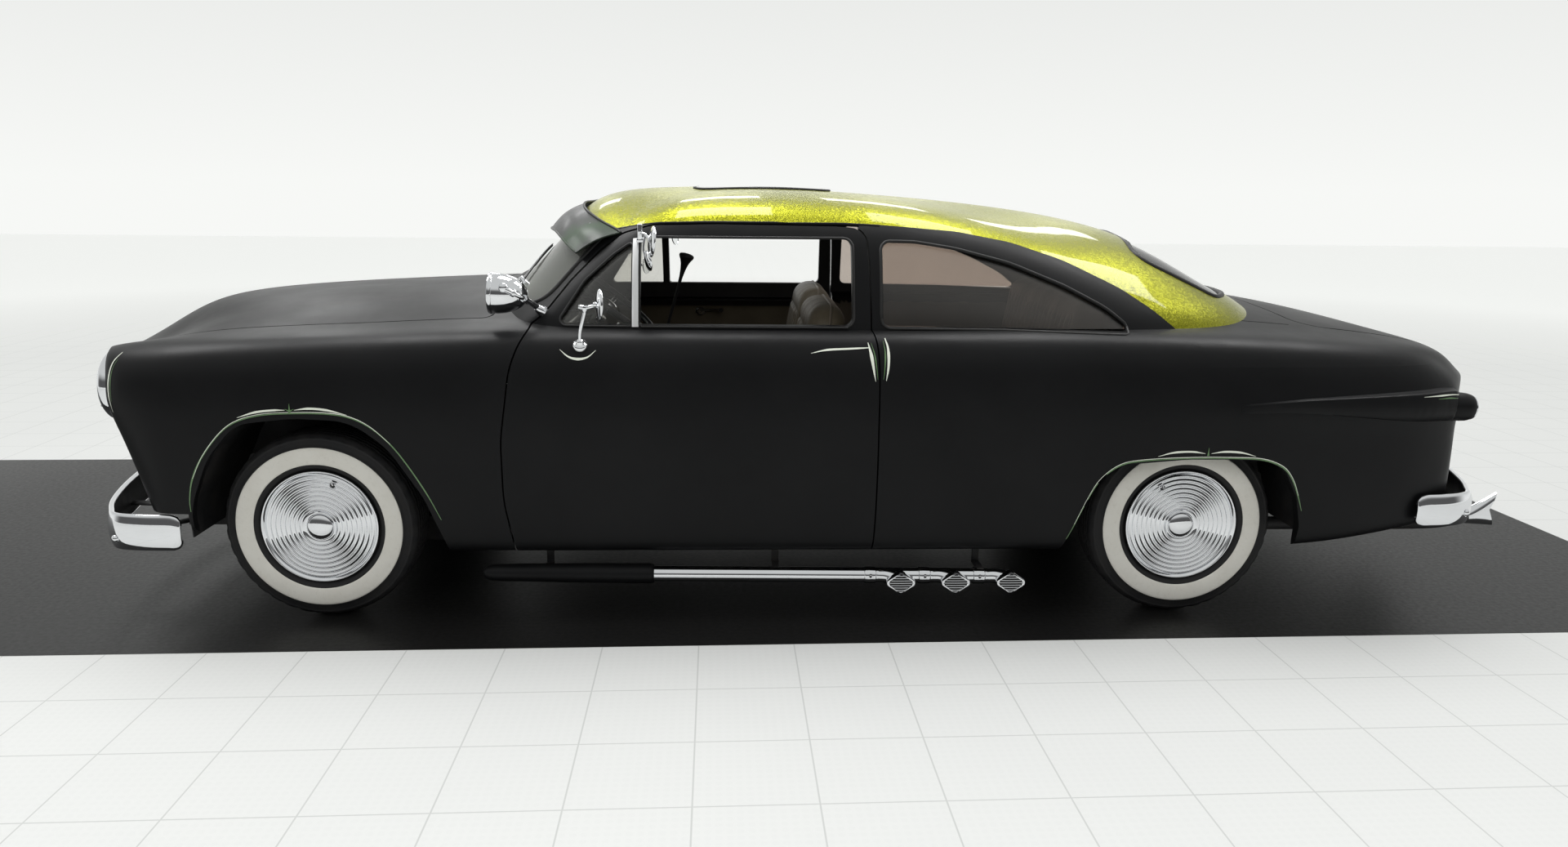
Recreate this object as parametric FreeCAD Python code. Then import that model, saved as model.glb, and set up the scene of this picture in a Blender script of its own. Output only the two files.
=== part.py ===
import FreeCAD, Part
import math
import os

os.makedirs("parts", exist_ok=True)

V = FreeCAD.Vector

# ---------------------------------------------------------------- driving dimensions, mm
SHIFT_X = -182.0          # moves the mid-wheelbase origin to the middle of the overall length
WHEELBASE = 2896.0
TRACK = 1422.0
TYRE_R = 318.0
TYRE_W = 190.0
RIM_R = 195.0
HALF_WIDTH = 915.0
SHELL = 26.0              # thickness of hood, fenders, lid and roof panels
WALL = 62.0               # thickness of doors
QUARTER_WALL = 34.0
GAP = 5.0                 # shut line gap of doors, hood and trunk lid
GLASS = 5.0
FLOOR_Z = 250.0
RAIL_Y = 400.0
KINGPIN_Y = 628.0
LAMP_R = 119.0            # outside radius of the headlight rims
LAMP_X = -2079.0          # seat plane of the headlights
SEAT_TOP = 1062.0         # top of the front seat back
REAR_SEAT_TOP = 1068.0
AXLE_X = WHEELBASE / 2
WHEEL_Y = TRACK / 2

PARTS = {}


def save(name, shape):
    if not isinstance(shape, Part.Shape):
        shape = Part.makeCompound(shape)
    solids = [s for s in shape.Solids if s.Volume > 50.0]
    out = solids[0] if len(solids) == 1 else Part.makeCompound(solids)
    PARTS[name] = out.translated(V(SHIFT_X, 0, 0))


# ---------------------------------------------------------------- general helpers
def box(x0, x1, y0, y1, z0, z1):
    return Part.makeBox(x1 - x0, y1 - y0, z1 - z0, V(x0, y0, z0))


def cyl(r, a, b):
    a, b = V(*a), V(*b)
    return Part.makeCylinder(r, (b - a).Length, a, b - a)


def cone(r0, r1, a, b):
    a, b = V(*a), V(*b)
    return Part.makeCone(r0, r1, (b - a).Length, a, b - a)


def mir(shape):
    return shape.mirror(V(0, 0, 0), V(0, 1, 0))


def fuse(shapes):
    out = shapes[0]
    if len(shapes) > 1:
        out = out.fuse(shapes[1:])
    try:
        out = out.removeSplitter()
    except Exception:
        pass
    return out


def rounded(points):
    """Closed wire in a plane through 2D points (a, b, radius), returned as a list of ('L'|'A', pts)."""
    n = len(points)
    segs = []
    ins, outs, mids = [], [], []
    for i in range(n):
        p = points[i]
        a = points[i - 1]
        b = points[(i + 1) % n]
        r = p[2] if len(p) > 2 else 0.0
        ux, uy = a[0] - p[0], a[1] - p[1]
        vx, vy = b[0] - p[0], b[1] - p[1]
        lu, lv = math.hypot(ux, uy), math.hypot(vx, vy)
        ux, uy, vx, vy = ux / lu, uy / lu, vx / lv, vy / lv
        cosang = max(-1.0, min(1.0, ux * vx + uy * vy))
        ang = math.acos(cosang)
        if r <= 0 or ang > math.pi - 1e-3:
            ins.append((p[0], p[1]))
            outs.append((p[0], p[1]))
            mids.append(None)
            continue
        t = r / math.tan(ang / 2)
        tmax = 0.49 * min(lu, lv)
        if t > tmax:
            t = tmax
            r = t * math.tan(ang / 2)
        ins.append((p[0] + ux * t, p[1] + uy * t))
        outs.append((p[0] + vx * t, p[1] + vy * t))
        bx, by = ux + vx, uy + vy
        lb = math.hypot(bx, by)
        d = r / math.sin(ang / 2) - r
        mids.append((p[0] + bx / lb * d, p[1] + by / lb * d))
    for i in range(n):
        if mids[i] is not None:
            segs.append(("A", (ins[i], mids[i], outs[i])))
        j = (i + 1) % n
        if math.hypot(outs[i][0] - ins[j][0], outs[i][1] - ins[j][1]) > 1e-4:
            segs.append(("L", (outs[i], ins[j])))
    return segs


def wire3(points, place):
    edges = []
    for kind, pts in rounded(points):
        q = [place(*p) for p in pts]
        if kind == "L":
            edges.append(Part.makeLine(q[0], q[1]))
        else:
            edges.append(Part.Arc(q[0], q[1], q[2]).toShape())
    return Part.Wire(Part.__sortEdges__(edges))


def grow(wire, d):
    return wire.makeOffset2D(d, 0, False, False, True) if abs(d) > 1e-9 else wire


def prism_y(points, y0, y1, slant=0.0, y_ref=0.0, offset=0.0):
    """Outline in x, z pulled from y0 to y1; slant is the x moved for each mm of y away from y_ref."""
    w = wire3(points, lambda a, b: V(a + slant * (y0 - y_ref), y0, b))
    w = grow(w, offset)
    return Part.Face(w).extrude(V(slant * (y1 - y0), y1 - y0, 0))


def prism_x(points, x0, x1, offset=0.0):
    w = grow(wire3(points, lambda a, b: V(x0, a, b)), offset)
    return Part.Face(w).extrude(V(x1 - x0, 0, 0))


def prism_z(points, z0, z1, offset=0.0):
    w = grow(wire3(points, lambda a, b: V(a, b, z0)), offset)
    return Part.Face(w).extrude(V(0, 0, z1 - z0))


def revolve(points, centre, axis, radial):
    """Profile points (r, h) turned round the axis through centre."""
    c, ax, ra = V(*centre), V(*axis), V(*radial)
    pts = [c + ra * p[0] + ax * p[1] for p in points]
    w = Part.makePolygon(pts + [pts[0]])
    return Part.Face(w).revolve(c, ax, 360)


def tube_path(points, r):
    """Round bar through the given points with ball corners."""
    out = []
    for a, b in zip(points[:-1], points[1:]):
        out.append(cyl(r, a, b))
    for p in points[1:-1]:
        out.append(Part.makeSphere(r, V(*p)))
    return fuse(out) if len(out) > 1 else out[0]


def interp(keys, x):
    if x <= keys[0][0]:
        return keys[0][1]
    for (x0, a), (x1, b) in zip(keys[:-1], keys[1:]):
        if x <= x1:
            t = (x - x0) / (x1 - x0)
            return a + (b - a) * t
    return keys[-1][1]


# ---------------------------------------------------------------- free form surfaces
def surface(net):
    n, m = len(net), len(net[0])

    def knots(k):
        ks = [float(i) for i in range(k - 2)]
        return ks, [4] + [1] * (k - 4) + [4]

    ku, mu = knots(n)
    kv, mv = knots(m)
    s = Part.BSplineSurface()
    s.buildFromPolesMultsKnots(net, mu, mv, ku, kv, False, False, 3, 3)
    return s


def curve(poles):
    k = len(poles)
    c = Part.BSplineCurve()
    c.buildFromPolesMultsKnots(poles, [4] + [1] * (k - 4) + [4], [float(i) for i in range(k - 2)], False, 3)
    return c.toShape()


def close_half(net, planar_rows, pole_last_row=False):
    """Solid between the net and the plane y = 0."""
    faces = [surface(net).toShape()]
    first, last = net[0], net[-1]
    a = curve([row[0] for row in net])
    b = curve([row[-1] for row in net])
    edges = [a, b]
    if 0 in planar_rows:
        ch = Part.makeLine(first[-1], first[0])
        faces.append(Part.Face(Part.Wire([curve(first), ch])))
        edges.append(ch)
    if -1 in planar_rows:
        ch = Part.makeLine(last[-1], last[0])
        faces.append(Part.Face(Part.Wire([curve(last), ch])))
        edges.append(ch)
    if pole_last_row:
        edges.append(curve(last))
    faces.append(Part.Face(Part.Wire(Part.__sortEdges__(edges))))
    sh = Part.makeShell(faces)
    sh.sewShape(1e-3)
    so = Part.makeSolid(sh if sh.ShapeType == "Shell" else sh.Shells[0])
    if so.Volume < 0:
        so.reverse()
    return so


def offset_net(net, amount, flat_cols=(), fixed_rows=()):
    """Moves every pole along the net's normal into the body."""
    n, m = len(net), len(net[0])
    out = []
    for i in range(n):
        row = []
        for j in range(m):
            a = net[min(i + 1, n - 1)][j] - net[max(i - 1, 0)][j]
            b = net[i][min(j + 1, m - 1)] - net[i][max(j - 1, 0)]
            if j in flat_cols:
                b = V(0, b.y, 0) if abs(b.y) > 1e-6 else V(0, 1, 0)
            nn = a.cross(b)
            if nn.Length < 1e-9:
                nn = V(0, 0, 1)
            nn.normalize()
            t = amount(i, j) if callable(amount) else amount
            row.append(net[i][j] + nn * t)
        out.append(row)
    return out


# lower body ------------------------------------------------------
Z_CENTRE = [(-2238, 850), (-2172, 930), (-2084, 988), (-1966, 1018), (-1817, 1036), (-1661, 1046), (-1347, 1064),
            (-1159, 1071), (-1033, 1076), (-909, 1084), (-600, 1086), (1000, 1075), (1500, 1066), (1789, 1044),
            (2023, 1006), (2230, 968), (2383, 915), (2519, 862), (2617, 815)]
Z_SHOULDER = [(-2110, 905), (-2030, 915), (-1920, 930), (-1750, 945), (-1500, 958), (-1200, 971), (-900, 984),
              (-500, 991), (1000, 990), (1300, 986), (1650, 973), (1900, 957), (2080, 944), (2200, 930), (2290, 900),
              (2380, 860)]
Y_SIDE = [(-2110, 842), (-2030, 872), (-1920, 893), (-1750, 905), (-1500, 912), (-1000, 916), (1600, 916), (1900, 910),
          (2080, 898), (2200, 880), (2290, 852), (2345, 830)]
CROWN = [0.0, 0.0, 0.26, 0.62, 0.86, 1.0]
CROWN_Y = [0.0, 200.0, 420.0, 580.0, 665.0, 745.0]
SIDE_Z = [(-20, 885), (-8, 800), (-2, 737), (0, 680), (0, 600), (-5, 470), (-16, 350), (-32, 268)]
SPEAR = [(1500, 0), (1650, 12), (1900, 26), (2380, 30)]
HOOD_BACK = [(0, 0), (200, 75), (420, 190), (580, 250), (665, 280), (745, 300)]   # how far the nose of the hood falls back to the side


def lower_row(xc, xs):
    ys = interp(Y_SIDE, xs)
    k = ys / 916.0
    zs = interp(Z_SHOULDER, xs)
    row = []
    for f, y in zip(CROWN, CROWN_Y):
        yy = y * k
        x = xs + (xc - xs) * (1 - (y / 916.0) ** 2)
        back = interp(HOOD_BACK, y) * min(1.0, max(0.0, (-1400 - x) / 500.0))
        zc = interp(Z_CENTRE, x - back)
        row.append(V(x if y > 200 else xc, -yy, (interp(Z_CENTRE, xc) if y <= 200 else zc) * (1 - f) + zs * f))
    row.append(V(xs, -(ys - 108), zs - 7))
    row.append(V(xs, -(ys - 52), zs - 38))
    bulge = interp(SPEAR, xs)
    for dy, z in SIDE_Z:
        zz = z - (0 if z < 800 else max(0.0, 991 - zs) * (z - 737) / 254.0 * 1.2)
        yy = ys + dy
        if z == 737:
            yy += bulge
        if z in (800, 680):
            yy += bulge * 0.25
        row.append(V(xs, -yy, zz))
    zb = interp([(-2100, 335), (-1900, 335), (-1750, 300), (-1500, 240), (1500, 240), (1900, 262), (2200, 310),
                 (2400, 340)], xs)
    for p in row:
        if p.z < zb + 14:
            p.z = zb + 14
    row.append(V(xs, -(ys - 74), zb))
    row.append(V(xs, -(ys - 360), zb))
    xb = xs + (xc - xs) * 0.95 if xs > 0 else xs + 30
    row.append(V(xb, -200 * k, zb))
    row.append(V(xb, 0, zb))
    return row


def nose_x(y, z):
    low = max(0.0, 740 - z)
    return -2246 + 144 * (abs(y) / 750.0) ** 2.1 + (0.3 * low if low > 60 else low * low / 400.0 + 9.0 * min(1.0, low / 60.0))


def tail_x(y, z):
    return 2646 - 298 * (abs(y) / 800.0) ** 2.3 - 0.45e-3 * max(0.0, 520 - z) ** 2


def end_rows(edge, fx, zc, shrinks):
    rows = []
    for s in shrinks:
        row = []
        for p in edge:
            y = p.y * s
            z = zc + (p.z - zc) * s
            row.append(V(fx(y, z), y, z))
        rows.append(row)
    flat = sum(p.x for p in rows[-1]) / len(rows[-1])
    for p in rows[-1]:
        p.x = flat
    for row in rows:
        row[1].x, row[1].z = row[0].x, row[0].z
        row[-2].x, row[-2].z = row[-1].x, row[-1].z
    return rows


MAIN = [(-2090, -1925), (-1960, -1840), (-1790, -1740), (-1500, -1500), (-1200, -1200), (-900, -900), (-500, -500),
        (0, 0), (500, 500), (1000, 1000), (1350, 1350), (1650, 1650), (1900, 1880), (2150, 2060), (2350, 2190),
        (2500, 2285)]
front = lower_row(*MAIN[0])
NOSE_Z = [872, 872, 867, 876, 893, 908, 904, 880, 828, 782, 737, 680, 600, 490, 400, 350, 335, 335, 335, 335]
NOSE_Y = [0, 195, 405, 545, 620, 690, 752, 808, 838, 846, 848, 846, 842, 834, 822, 806, 770, 520, 195, 0]
NOSE_X = [-2234, -2234, -2200, -2166, -2144, -2120, -2098, -2076, -2067, -2068, -2066, -2048, -2021, -1993, -1972,
          -1960, -1958, -1985, -2015, -2015]
nose_edge = [V(x, -y, z) for x, y, z in zip(NOSE_X, NOSE_Y, NOSE_Z)]
TAIL_Z = [808, 808, 812, 822, 832, 838, 832, 812, 790, 762, 732, 690, 610, 500, 410, 360, 345, 345, 345, 345]
TAIL_Y = [0, 200, 410, 560, 640, 710, 765, 800, 822, 836, 856, 836, 830, 824, 812, 798, 760, 520, 200, 0]
TAIL_X = [2636, 2636, 2580, 2502, 2446, 2400, 2370, 2350, 2338, 2336, 2336, 2338, 2346, 2353, 2358, 2360, 2366, 2476,
          2590, 2590]
tail_edge = [V(x, -y, z) for x, y, z in zip(TAIL_X, TAIL_Y, TAIL_Z)]


def deepened(row, z=100.0):
    """The same section with its sides carried straight down to z, for the open underside."""
    out = [V(p.x, p.y, p.z) for p in row]
    n = len(out)
    for k in (4, 3, 2, 1):
        out[n - k].z = z
    out[n - 4].x, out[n - 4].y = out[n - 5].x, out[n - 5].y
    return out


def lower_net(deep):
    f = deepened if deep else (lambda row: row)
    ne, te = f(nose_edge), f(tail_edge)
    nx = (lambda y, z: nose_x(y, max(z, 345.0))) if deep else nose_x
    tx = (lambda y, z: tail_x(y, max(z, 350.0))) if deep else tail_x
    return (list(reversed(end_rows(ne, nx, 600, [0.93, 0.76, 0.5, 0.22]))) + [ne] + [f(lower_row(*m)) for m in MAIN]
            + [te] + end_rows(te, tx, 575, [0.93, 0.78, 0.5, 0.2]))


LOWER = lower_net(False)
DEEP = lower_net(True)

# greenhouse ------------------------------------------------------
# columns from the middle of the windshield round the left side to the middle of the rear window
RINGS = [
    # base, hidden below the belt
    [(-1010, 0, 900), (-1010, 250, 900), (-985, 450, 900), (-930, 620, 900), (-850, 735, 900), (-690, 800, 900),
     (-300, 810, 900), (100, 810, 900), (500, 810, 900), (850, 806, 900), (1150, 795, 900), (1450, 770, 900),
     (1720, 690, 900), (1900, 500, 900), (1990, 250, 900), (1990, 0, 900)],
    # belt
    [(-925, 0, 1070), (-925, 250, 1070), (-900, 450, 1052), (-842, 605, 1020), (-772, 722, 985), (-650, 790, 985),
     (-300, 798, 985), (100, 798, 985), (500, 798, 985), (850, 794, 985), (1150, 780, 985), (1420, 745, 985),
     (1660, 655, 1000), (1780, 480, 1020), (1835, 250, 1030), (1835, 0, 1030)],
    # lower glass
    [(-822, 0, 1150), (-822, 250, 1150), (-792, 450, 1132), (-738, 598, 1100), (-672, 706, 1068), (-570, 766, 1075),
     (-300, 776, 1075), (100, 776, 1075), (500, 776, 1075), (850, 768, 1065), (1120, 745, 1055), (1350, 704, 1045),
     (1560, 610, 1050), (1668, 450, 1080), (1708, 240, 1090), (1708, 0, 1090)],
    # upper glass
    [(-708, 0, 1268), (-708, 250, 1268), (-680, 440, 1250), (-622, 580, 1218), (-560, 672, 1190), (-470, 724, 1205),
     (-290, 738, 1215), (100, 738, 1215), (480, 736, 1205), (790, 722, 1180), (1020, 695, 1150), (1230, 650, 1130),
     (1420, 566, 1130), (1510, 420, 1170), (1545, 225, 1190), (1545, 0, 1190)],
    # roof edge
    [(-622, 0, 1368), (-622, 245, 1368), (-596, 425, 1350), (-535, 545, 1318), (-470, 622, 1290), (-395, 668, 1302),
     (-250, 684, 1316), (80, 684, 1318), (430, 680, 1305), (700, 664, 1280), (900, 640, 1245), (1090, 596, 1215),
     (1260, 520, 1215), (1345, 390, 1250), (1382, 210, 1272), (1382, 0, 1272)],
    # shoulder of the roof
    [(-528, 0, 1412), (-528, 230, 1412), (-505, 380, 1398), (-450, 470, 1378), (-395, 540, 1362), (-325, 582, 1372),
     (-190, 596, 1384), (80, 596, 1386), (380, 590, 1374), (600, 574, 1352), (780, 546, 1322), (940, 500, 1298),
     (1075, 430, 1292), (1150, 320, 1310), (1190, 170, 1325), (1190, 0, 1325)],
    # crown
    [(-380, 0, 1426), (-380, 190, 1426), (-360, 300, 1418), (-320, 370, 1410), (-270, 415, 1405), (-205, 440, 1410),
     (-90, 448, 1418), (100, 448, 1419), (330, 442, 1410), (500, 428, 1394), (640, 402, 1374), (760, 360, 1358),
     (850, 300, 1352), (905, 220, 1358), (930, 120, 1366), (930, 0, 1366)],
    [(-240, 0, 1430), (-240, 150, 1430), (-215, 200, 1428), (-185, 225, 1426), (-150, 235, 1425), (-110, 240, 1426),
     (-30, 240, 1427), (100, 240, 1427), (240, 240, 1422), (340, 235, 1417), (430, 225, 1411), (490, 205, 1406),
     (545, 180, 1401), (580, 140, 1399), (600, 90, 1398), (600, 0, 1398)],
    [(-120, 0, 1431), (-104, 0, 1431), (-88, 0, 1431), (-70, 0, 1431), (-50, 0, 1431), (-30, 0, 1431), (0, 0, 1430),
     (40, 0, 1429), (80, 0, 1428), (110, 0, 1427), (140, 0, 1425), (165, 0, 1424), (185, 0, 1423), (205, 0, 1422),
     (220, 0, 1421), (235, 0, 1420)],
]
UPPER = [[V(x, -y, z) for x, y, z in ring] for ring in RINGS]
ROOF_OPEN = [(-228, -262, 60), (268, -262, 60), (268, 262, 60), (-228, 262, 60)]

LM = len(LOWER[0]) - 1
PAST = 30.0               # inner solids run this far over the middle plane


def lower_solid(t):
    if t == 0:
        net = LOWER
    else:
        net = offset_net(DEEP, t, flat_cols=(0, 1, LM - 1, LM))
        net = net[:3] + net[4:-4] + net[-3:]
        for row in net:
            row[0].y = PAST
            row[-1].y = PAST
            row[1].x, row[1].z = row[0].x, row[0].z
            row[-2].x, row[-2].z = row[-1].x, row[-1].z
        for r in (net[0], net[-1]):
            f = sum(p.x for p in r) / len(r)
            for p in r:
                p.x = f
    return close_half(net, (0, -1))


def wall_solid(t):
    """Inside of the door walls, between the front and the rear of the doors."""
    rows = [deepened(lower_row(x, x)) for x in (-1200, -900, -500, 0, 500, 900, 1200)]
    net = offset_net(rows, t, flat_cols=(0, 1, LM - 1, LM))
    for row, x in zip(net, (-1200, -900, -500, 0, 500, 900, 1200)):
        for p in row:
            p.x = x
        row[0].y = PAST
        row[-1].y = PAST
        row[1].z, row[-2].z = row[0].z, row[-1].z
    return close_half(net, (0, -1))


def upper_solid(t, z_low=900.0):
    net = UPPER if t == 0 else offset_net(UPPER, t, flat_cols=(0, 1, 14, 15))
    if t != 0:
        for row in net:
            row[0].y = PAST
            row[-1].y = PAST
            row[1].x, row[1].z = row[0].x, row[0].z
            row[-2].x, row[-2].z = row[-1].x, row[-1].z
        for p, q in zip(net[-1], UPPER[-1]):
            p.x, p.y, p.z = q.x, PAST, q.z - t
    for p in net[0]:
        p.z = z_low
    return close_half(net, (0,), pole_last_row=True)



# ---------------------------------------------------------------- outlines, in x and z unless said
DOOR = [(-786, 244, 30), (-822, 440, 500), (-823, 640, 500), (-788, 870, 300), (-745, 962, 200), (-668, 1022, 120),
        (-568, 1135, 300), (-473, 1225, 200), (-398, 1282, 100), (-300, 1311, 200), (-90, 1317, 600), (300, 1313, 400),
        (399, 1306, 60), (390, 1000, 900), (384, 700, 900), (386, 244, 20)]
DOOR_SLANT = -0.2
DOOR_REF = -900.0
DOOR_GLASS = [(-383, 994, 6), (305, 994, 26), (303, 1267, 26), (-383, 1266, 6)]
VENT = [(-650, 994, 14), (-412, 994, 4), (-412, 1250, 6), (-470, 1211, 60), (-562, 1128, 100)]
QUARTER_GLASS = [(404, 994, 26), (845, 989, 600), (1236, 978, 12), (1150, 1048, 300), (1012, 1118, 500),
                 (829, 1190, 500), (648, 1235, 400), (514, 1256, 300), (404, 1258, 24)]
ROOF_LINE = [(-1200, 1290), (-475, 1290, 60), (-422, 1303, 60), (-331, 1316, 150), (-131, 1322, 400),
             (300, 1318, 400), (435, 1312, 300), (659, 1294, 400), (845, 1260, 400), (1030, 1201, 500),
             (1221, 1111, 500), (1322, 1044, 400), (1401, 979, 200), (1443, 930, 60), (1450, 880), (2300, 880),
             (2300, 1600), (-1200, 1600)]
# in y and z
SCREEN = [(60, 1106, 0), (-300, 1094, 800), (-500, 1066, 500), (-686, 1034, 30), (-598, 1284, 34), (-480, 1322, 300),
          (-300, 1346, 500), (60, 1353, 0)]
GRILLE = [(60, 470), (-500, 478, 70), (-535, 690, 60), (-300, 742, 300), (60, 748)]
# in x and y
BACKLIGHT = [(1372, 60), (1366, -250, 500), (1322, -478, 70), (1690, -520, 90), (1785, -250, 500), (1792, 60)]
HOOD = [(-2420, 60), (-2420, -540), (-2120, -588, 400), (-1880, -654, 500), (-1300, -668, 900), (-876, -662, 40),
        (-905, -420, 500), (-950, -180, 500), (-955, 60)]
LID = [(1856, 60), (1860, -300, 500), (1892, -592, 110), (2800, -592), (2800, 60)]
LID_LOW = 505.0
F_ARCH = [(-1808, 100), (-1812, 380, 200), (-1797, 442, 200), (-1738, 578, 250), (-1640, 690, 120), (-1463, 710, 500),
          (-1285, 702, 200), (-1172, 615, 250), (-1071, 452, 300), (-1012, 290, 300), (-985, 100)]
R_ARCH = [(1000, 100), (1012, 262, 60), (1079, 436, 200), (1120, 515, 60), (1180, 560, 80), (1400, 579, 400),
          (1559, 579, 400), (1665, 573, 80), (1728, 545, 50), (1782, 449, 100), (1808, 345, 100), (1812, 100)]


def both(node, left, sides=("left", "right")):
    save("%s_%s" % (node, sides[0]), left)
    save("%s_%s" % (node, sides[1]), mir(left))


def full(half):
    """One solid from a left half that ends on the middle plane."""
    return fuse([half, mir(half)])


def biggest(shape):
    return max(shape.Solids, key=lambda q: q.Volume)


lower = lower_solid(0)
upper = upper_solid(0)
outer = lower.fuse(upper)
lower_in = lower_solid(SHELL)
upper_in = upper_solid(28, 840.0)
inner = lower_in.fuse(upper_in)
thin = outer.cut(inner)
thick = outer.cut(wall_solid(WALL).fuse(upper_solid(36, 820.0)))
side = outer.cut(lower_solid(QUARTER_WALL).fuse(upper_solid(30, 840.0)))
quarter_in = lower_solid(QUARTER_WALL + 1).fuse(upper_solid(31, 842.0))
thin_low = thin.common(lower)
thin_up = thin.cut(lower)

door_hole = prism_y(DOOR, -1100, -560, DOOR_SLANT, DOOR_REF)
door_body = prism_y(DOOR, -1100, -560, DOOR_SLANT, DOOR_REF, -GAP)
roof_tool = prism_y(ROOF_LINE, -1100, 0).cut(lower)
hood_hole = prism_z(HOOD, 780, 1200)
hood_body = prism_z(HOOD, 780, 1200, -GAP)
lid_hole = prism_z(LID, LID_LOW, 1300)
lid_body = prism_z(LID, LID_LOW + GAP, 1300, -GAP)
screen_hole = prism_x(SCREEN, -1200, -340)
back_hole = prism_z(BACKLIGHT, 1064, 1500)
sun_hole = prism_z(ROOF_OPEN, 1300, 1500)
door_window = prism_y(DOOR_GLASS, -1000, -560)
vent_window = prism_y(VENT, -1000, -560)
quarter_window = prism_y(QUARTER_GLASS, -1000, -520)
belly = box(-2300, 2700, -790, 10, 200, 345)

# hood, fenders, nose --------------------------------------------
save("hood", full(biggest(thin_low.common(hood_body).cut(box(-2400, -1900, -900, 10, 700, 838)))))
fender = thin_low.common(box(-2400, -600, -1000, -562, 200, 1100)).cut(hood_hole).cut(door_hole)
fender = fender.cut(box(-1000, -500, -668, 10, 800, 1200)).cut(belly).cut(prism_y(F_ARCH, -1100, -500))
fender = fender.cut(box(-2400, -1820, -1000, 10, 200, 391))
headlight_seat = cyl(LAMP_R + 3, (-2300, -700, 780), (LAMP_X + 76, -700, 780))
fender = fender.cut(headlight_seat)
both("front_fender", biggest(fender))
nose = thin_low.common(box(-2400, -1880, -562, 10, 390, 833)).cut(prism_x(GRILLE, -2400, -1900)).cut(hood_hole)
nose = nose.cut(box(-2020, -1700, -600, 10, 380, 900))
save("grille_panel", full(biggest(nose)))
bar = []
for z, hy in ((560, 478), (632, 482)):
    bar.append(full(biggest(thin_low.common(box(-2400, -1900, -hy, 10, z - 14, z + 14)))))
for y in (-430, 0, 430):
    bar.append(box(-2190 if y == 0 else -2140, -2090, y - 12, y + 12, 540, 652))
bar.append(box(-2095, -2085, -470, 470, 536, 656))
grille = fuse(bar)
save("grille_bars", grille)

# cowl, windshield frame ------------------------------------------
cowl = thin_low.common(box(-1000, -600, -668, 10, 860, 1200)).cut(hood_hole).cut(door_hole)
firewall = prism_x([(-780, 262, 0), (780, 262, 0), (780, 930, 60), (-780, 930, 60)], -870, -860)
save("cowl_and_firewall", [full(biggest(cowl)), firewall])
frame = thin_up.common(box(-1100, -330, -1000, 0, 900, 1500)).cut(roof_tool).cut(door_hole).cut(screen_hole)
save("windshield_frame", full(biggest(frame)))

# doors ----------------------------------------------------------
door = thick.common(door_body).cut(door_window).cut(vent_window).cut(box(-1000, 500, -800, 10, 200, 330))
both("door", biggest(door))

# quarters, roof, back --------------------------------------------
quarter = side.common(box(330, 2700, -1000, -595, 200, 1400)).cut(roof_tool).cut(door_hole).cut(quarter_window)
quarter = quarter.cut(lid_hole).cut(belly).cut(prism_y(R_ARCH, -1100, -500))
quarter = quarter.cut(box(330, 1850, -600, 0, 200, 1400))
both("quarter_panel", biggest(quarter))
roof = thin.common(roof_tool).cut(door_hole).cut(screen_hole).cut(back_hole).cut(sun_hole)
save("roof", full(biggest(roof)))
deck = thin_low.common(box(1500, 2000, -600, 10, 900, 1200)).cut(lid_hole)
deck = deck.cut(box(1500, 2000, -600, -595, 900, 1200))
save("upper_back_panel", full(biggest(deck)))
lid = thin_low.common(lid_body)
save("trunk_lid", full(biggest(lid)))
rear = thin_low.common(box(2380, 2700, -595, 10, 352, LID_LOW)).cut(lid_hole)
rear = rear.cut(box(2300, 2700, -425, -375, 340, 415))
save("rear_panel", full(biggest(rear)))

# glass -----------------------------------------------------------
glass_skin = upper_solid(9).cut(upper_solid(9 + GLASS))
save("windshield", full(biggest(glass_skin.common(prism_x(SCREEN, -1200, -340, -1.6)).cut(lower))))
save("rear_window", full(biggest(glass_skin.common(prism_z(BACKLIGHT, 1064, 1500, -0.6)).cut(lower))))
glass = biggest(glass_skin.common(prism_y(QUARTER_GLASS, -1000, -520, offset=-0.6)).cut(lower))
save("quarter_windows", [glass, mir(glass)])
both("vent_window", biggest(glass_skin.common(vent_window).cut(lower)))
sun_skin = upper.cut(upper_solid(12))
save("sunroof", full(biggest(sun_skin.common(prism_z(ROOF_OPEN, 1300, 1500)))))

# floor, wheelhouses ----------------------------------------------
floor = [box(-880, 1010, -795, 795, FLOOR_Z, FLOOR_Z + 12)]
for s in (-1, 1):
    floor.append(box(-800, 1000, min(s * 700, s * 795), max(s * 700, s * 795), 242, 330))
floor.append(box(-860, 1010, -86, 86, 262, 342))
floor.append(box(1010, 1022, -555, 555, FLOOR_Z, 452))
floor.append(box(1010, 2400, -555, 555, 440, 452))
floor.append(box(1870, 2330, -760, 760, 440, 452))
floor = fuse(floor).cut(box(-330, 1030, -62, 62, 240, 330))
save("floor_pan", full(biggest(floor.common(box(-1000, 2500, -1000, 0, 200, 460)).common(lower_in))))


def wheelhouse(arch, grow_in, y0, y1, z_min, wall_z):
    a = prism_y(arch, y0, y1, offset=grow_in + 4)
    b = prism_y(arch, y0 - 10, y1 - 4, offset=grow_in)
    w = a.cut(b).common(box(-3000, 3000, y0, y1, z_min, 1000))
    if wall_z:
        w = w.cut(box(-3000, 3000, y1 - 20, y1 + 1, 0, wall_z))
    return biggest(w)


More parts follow.
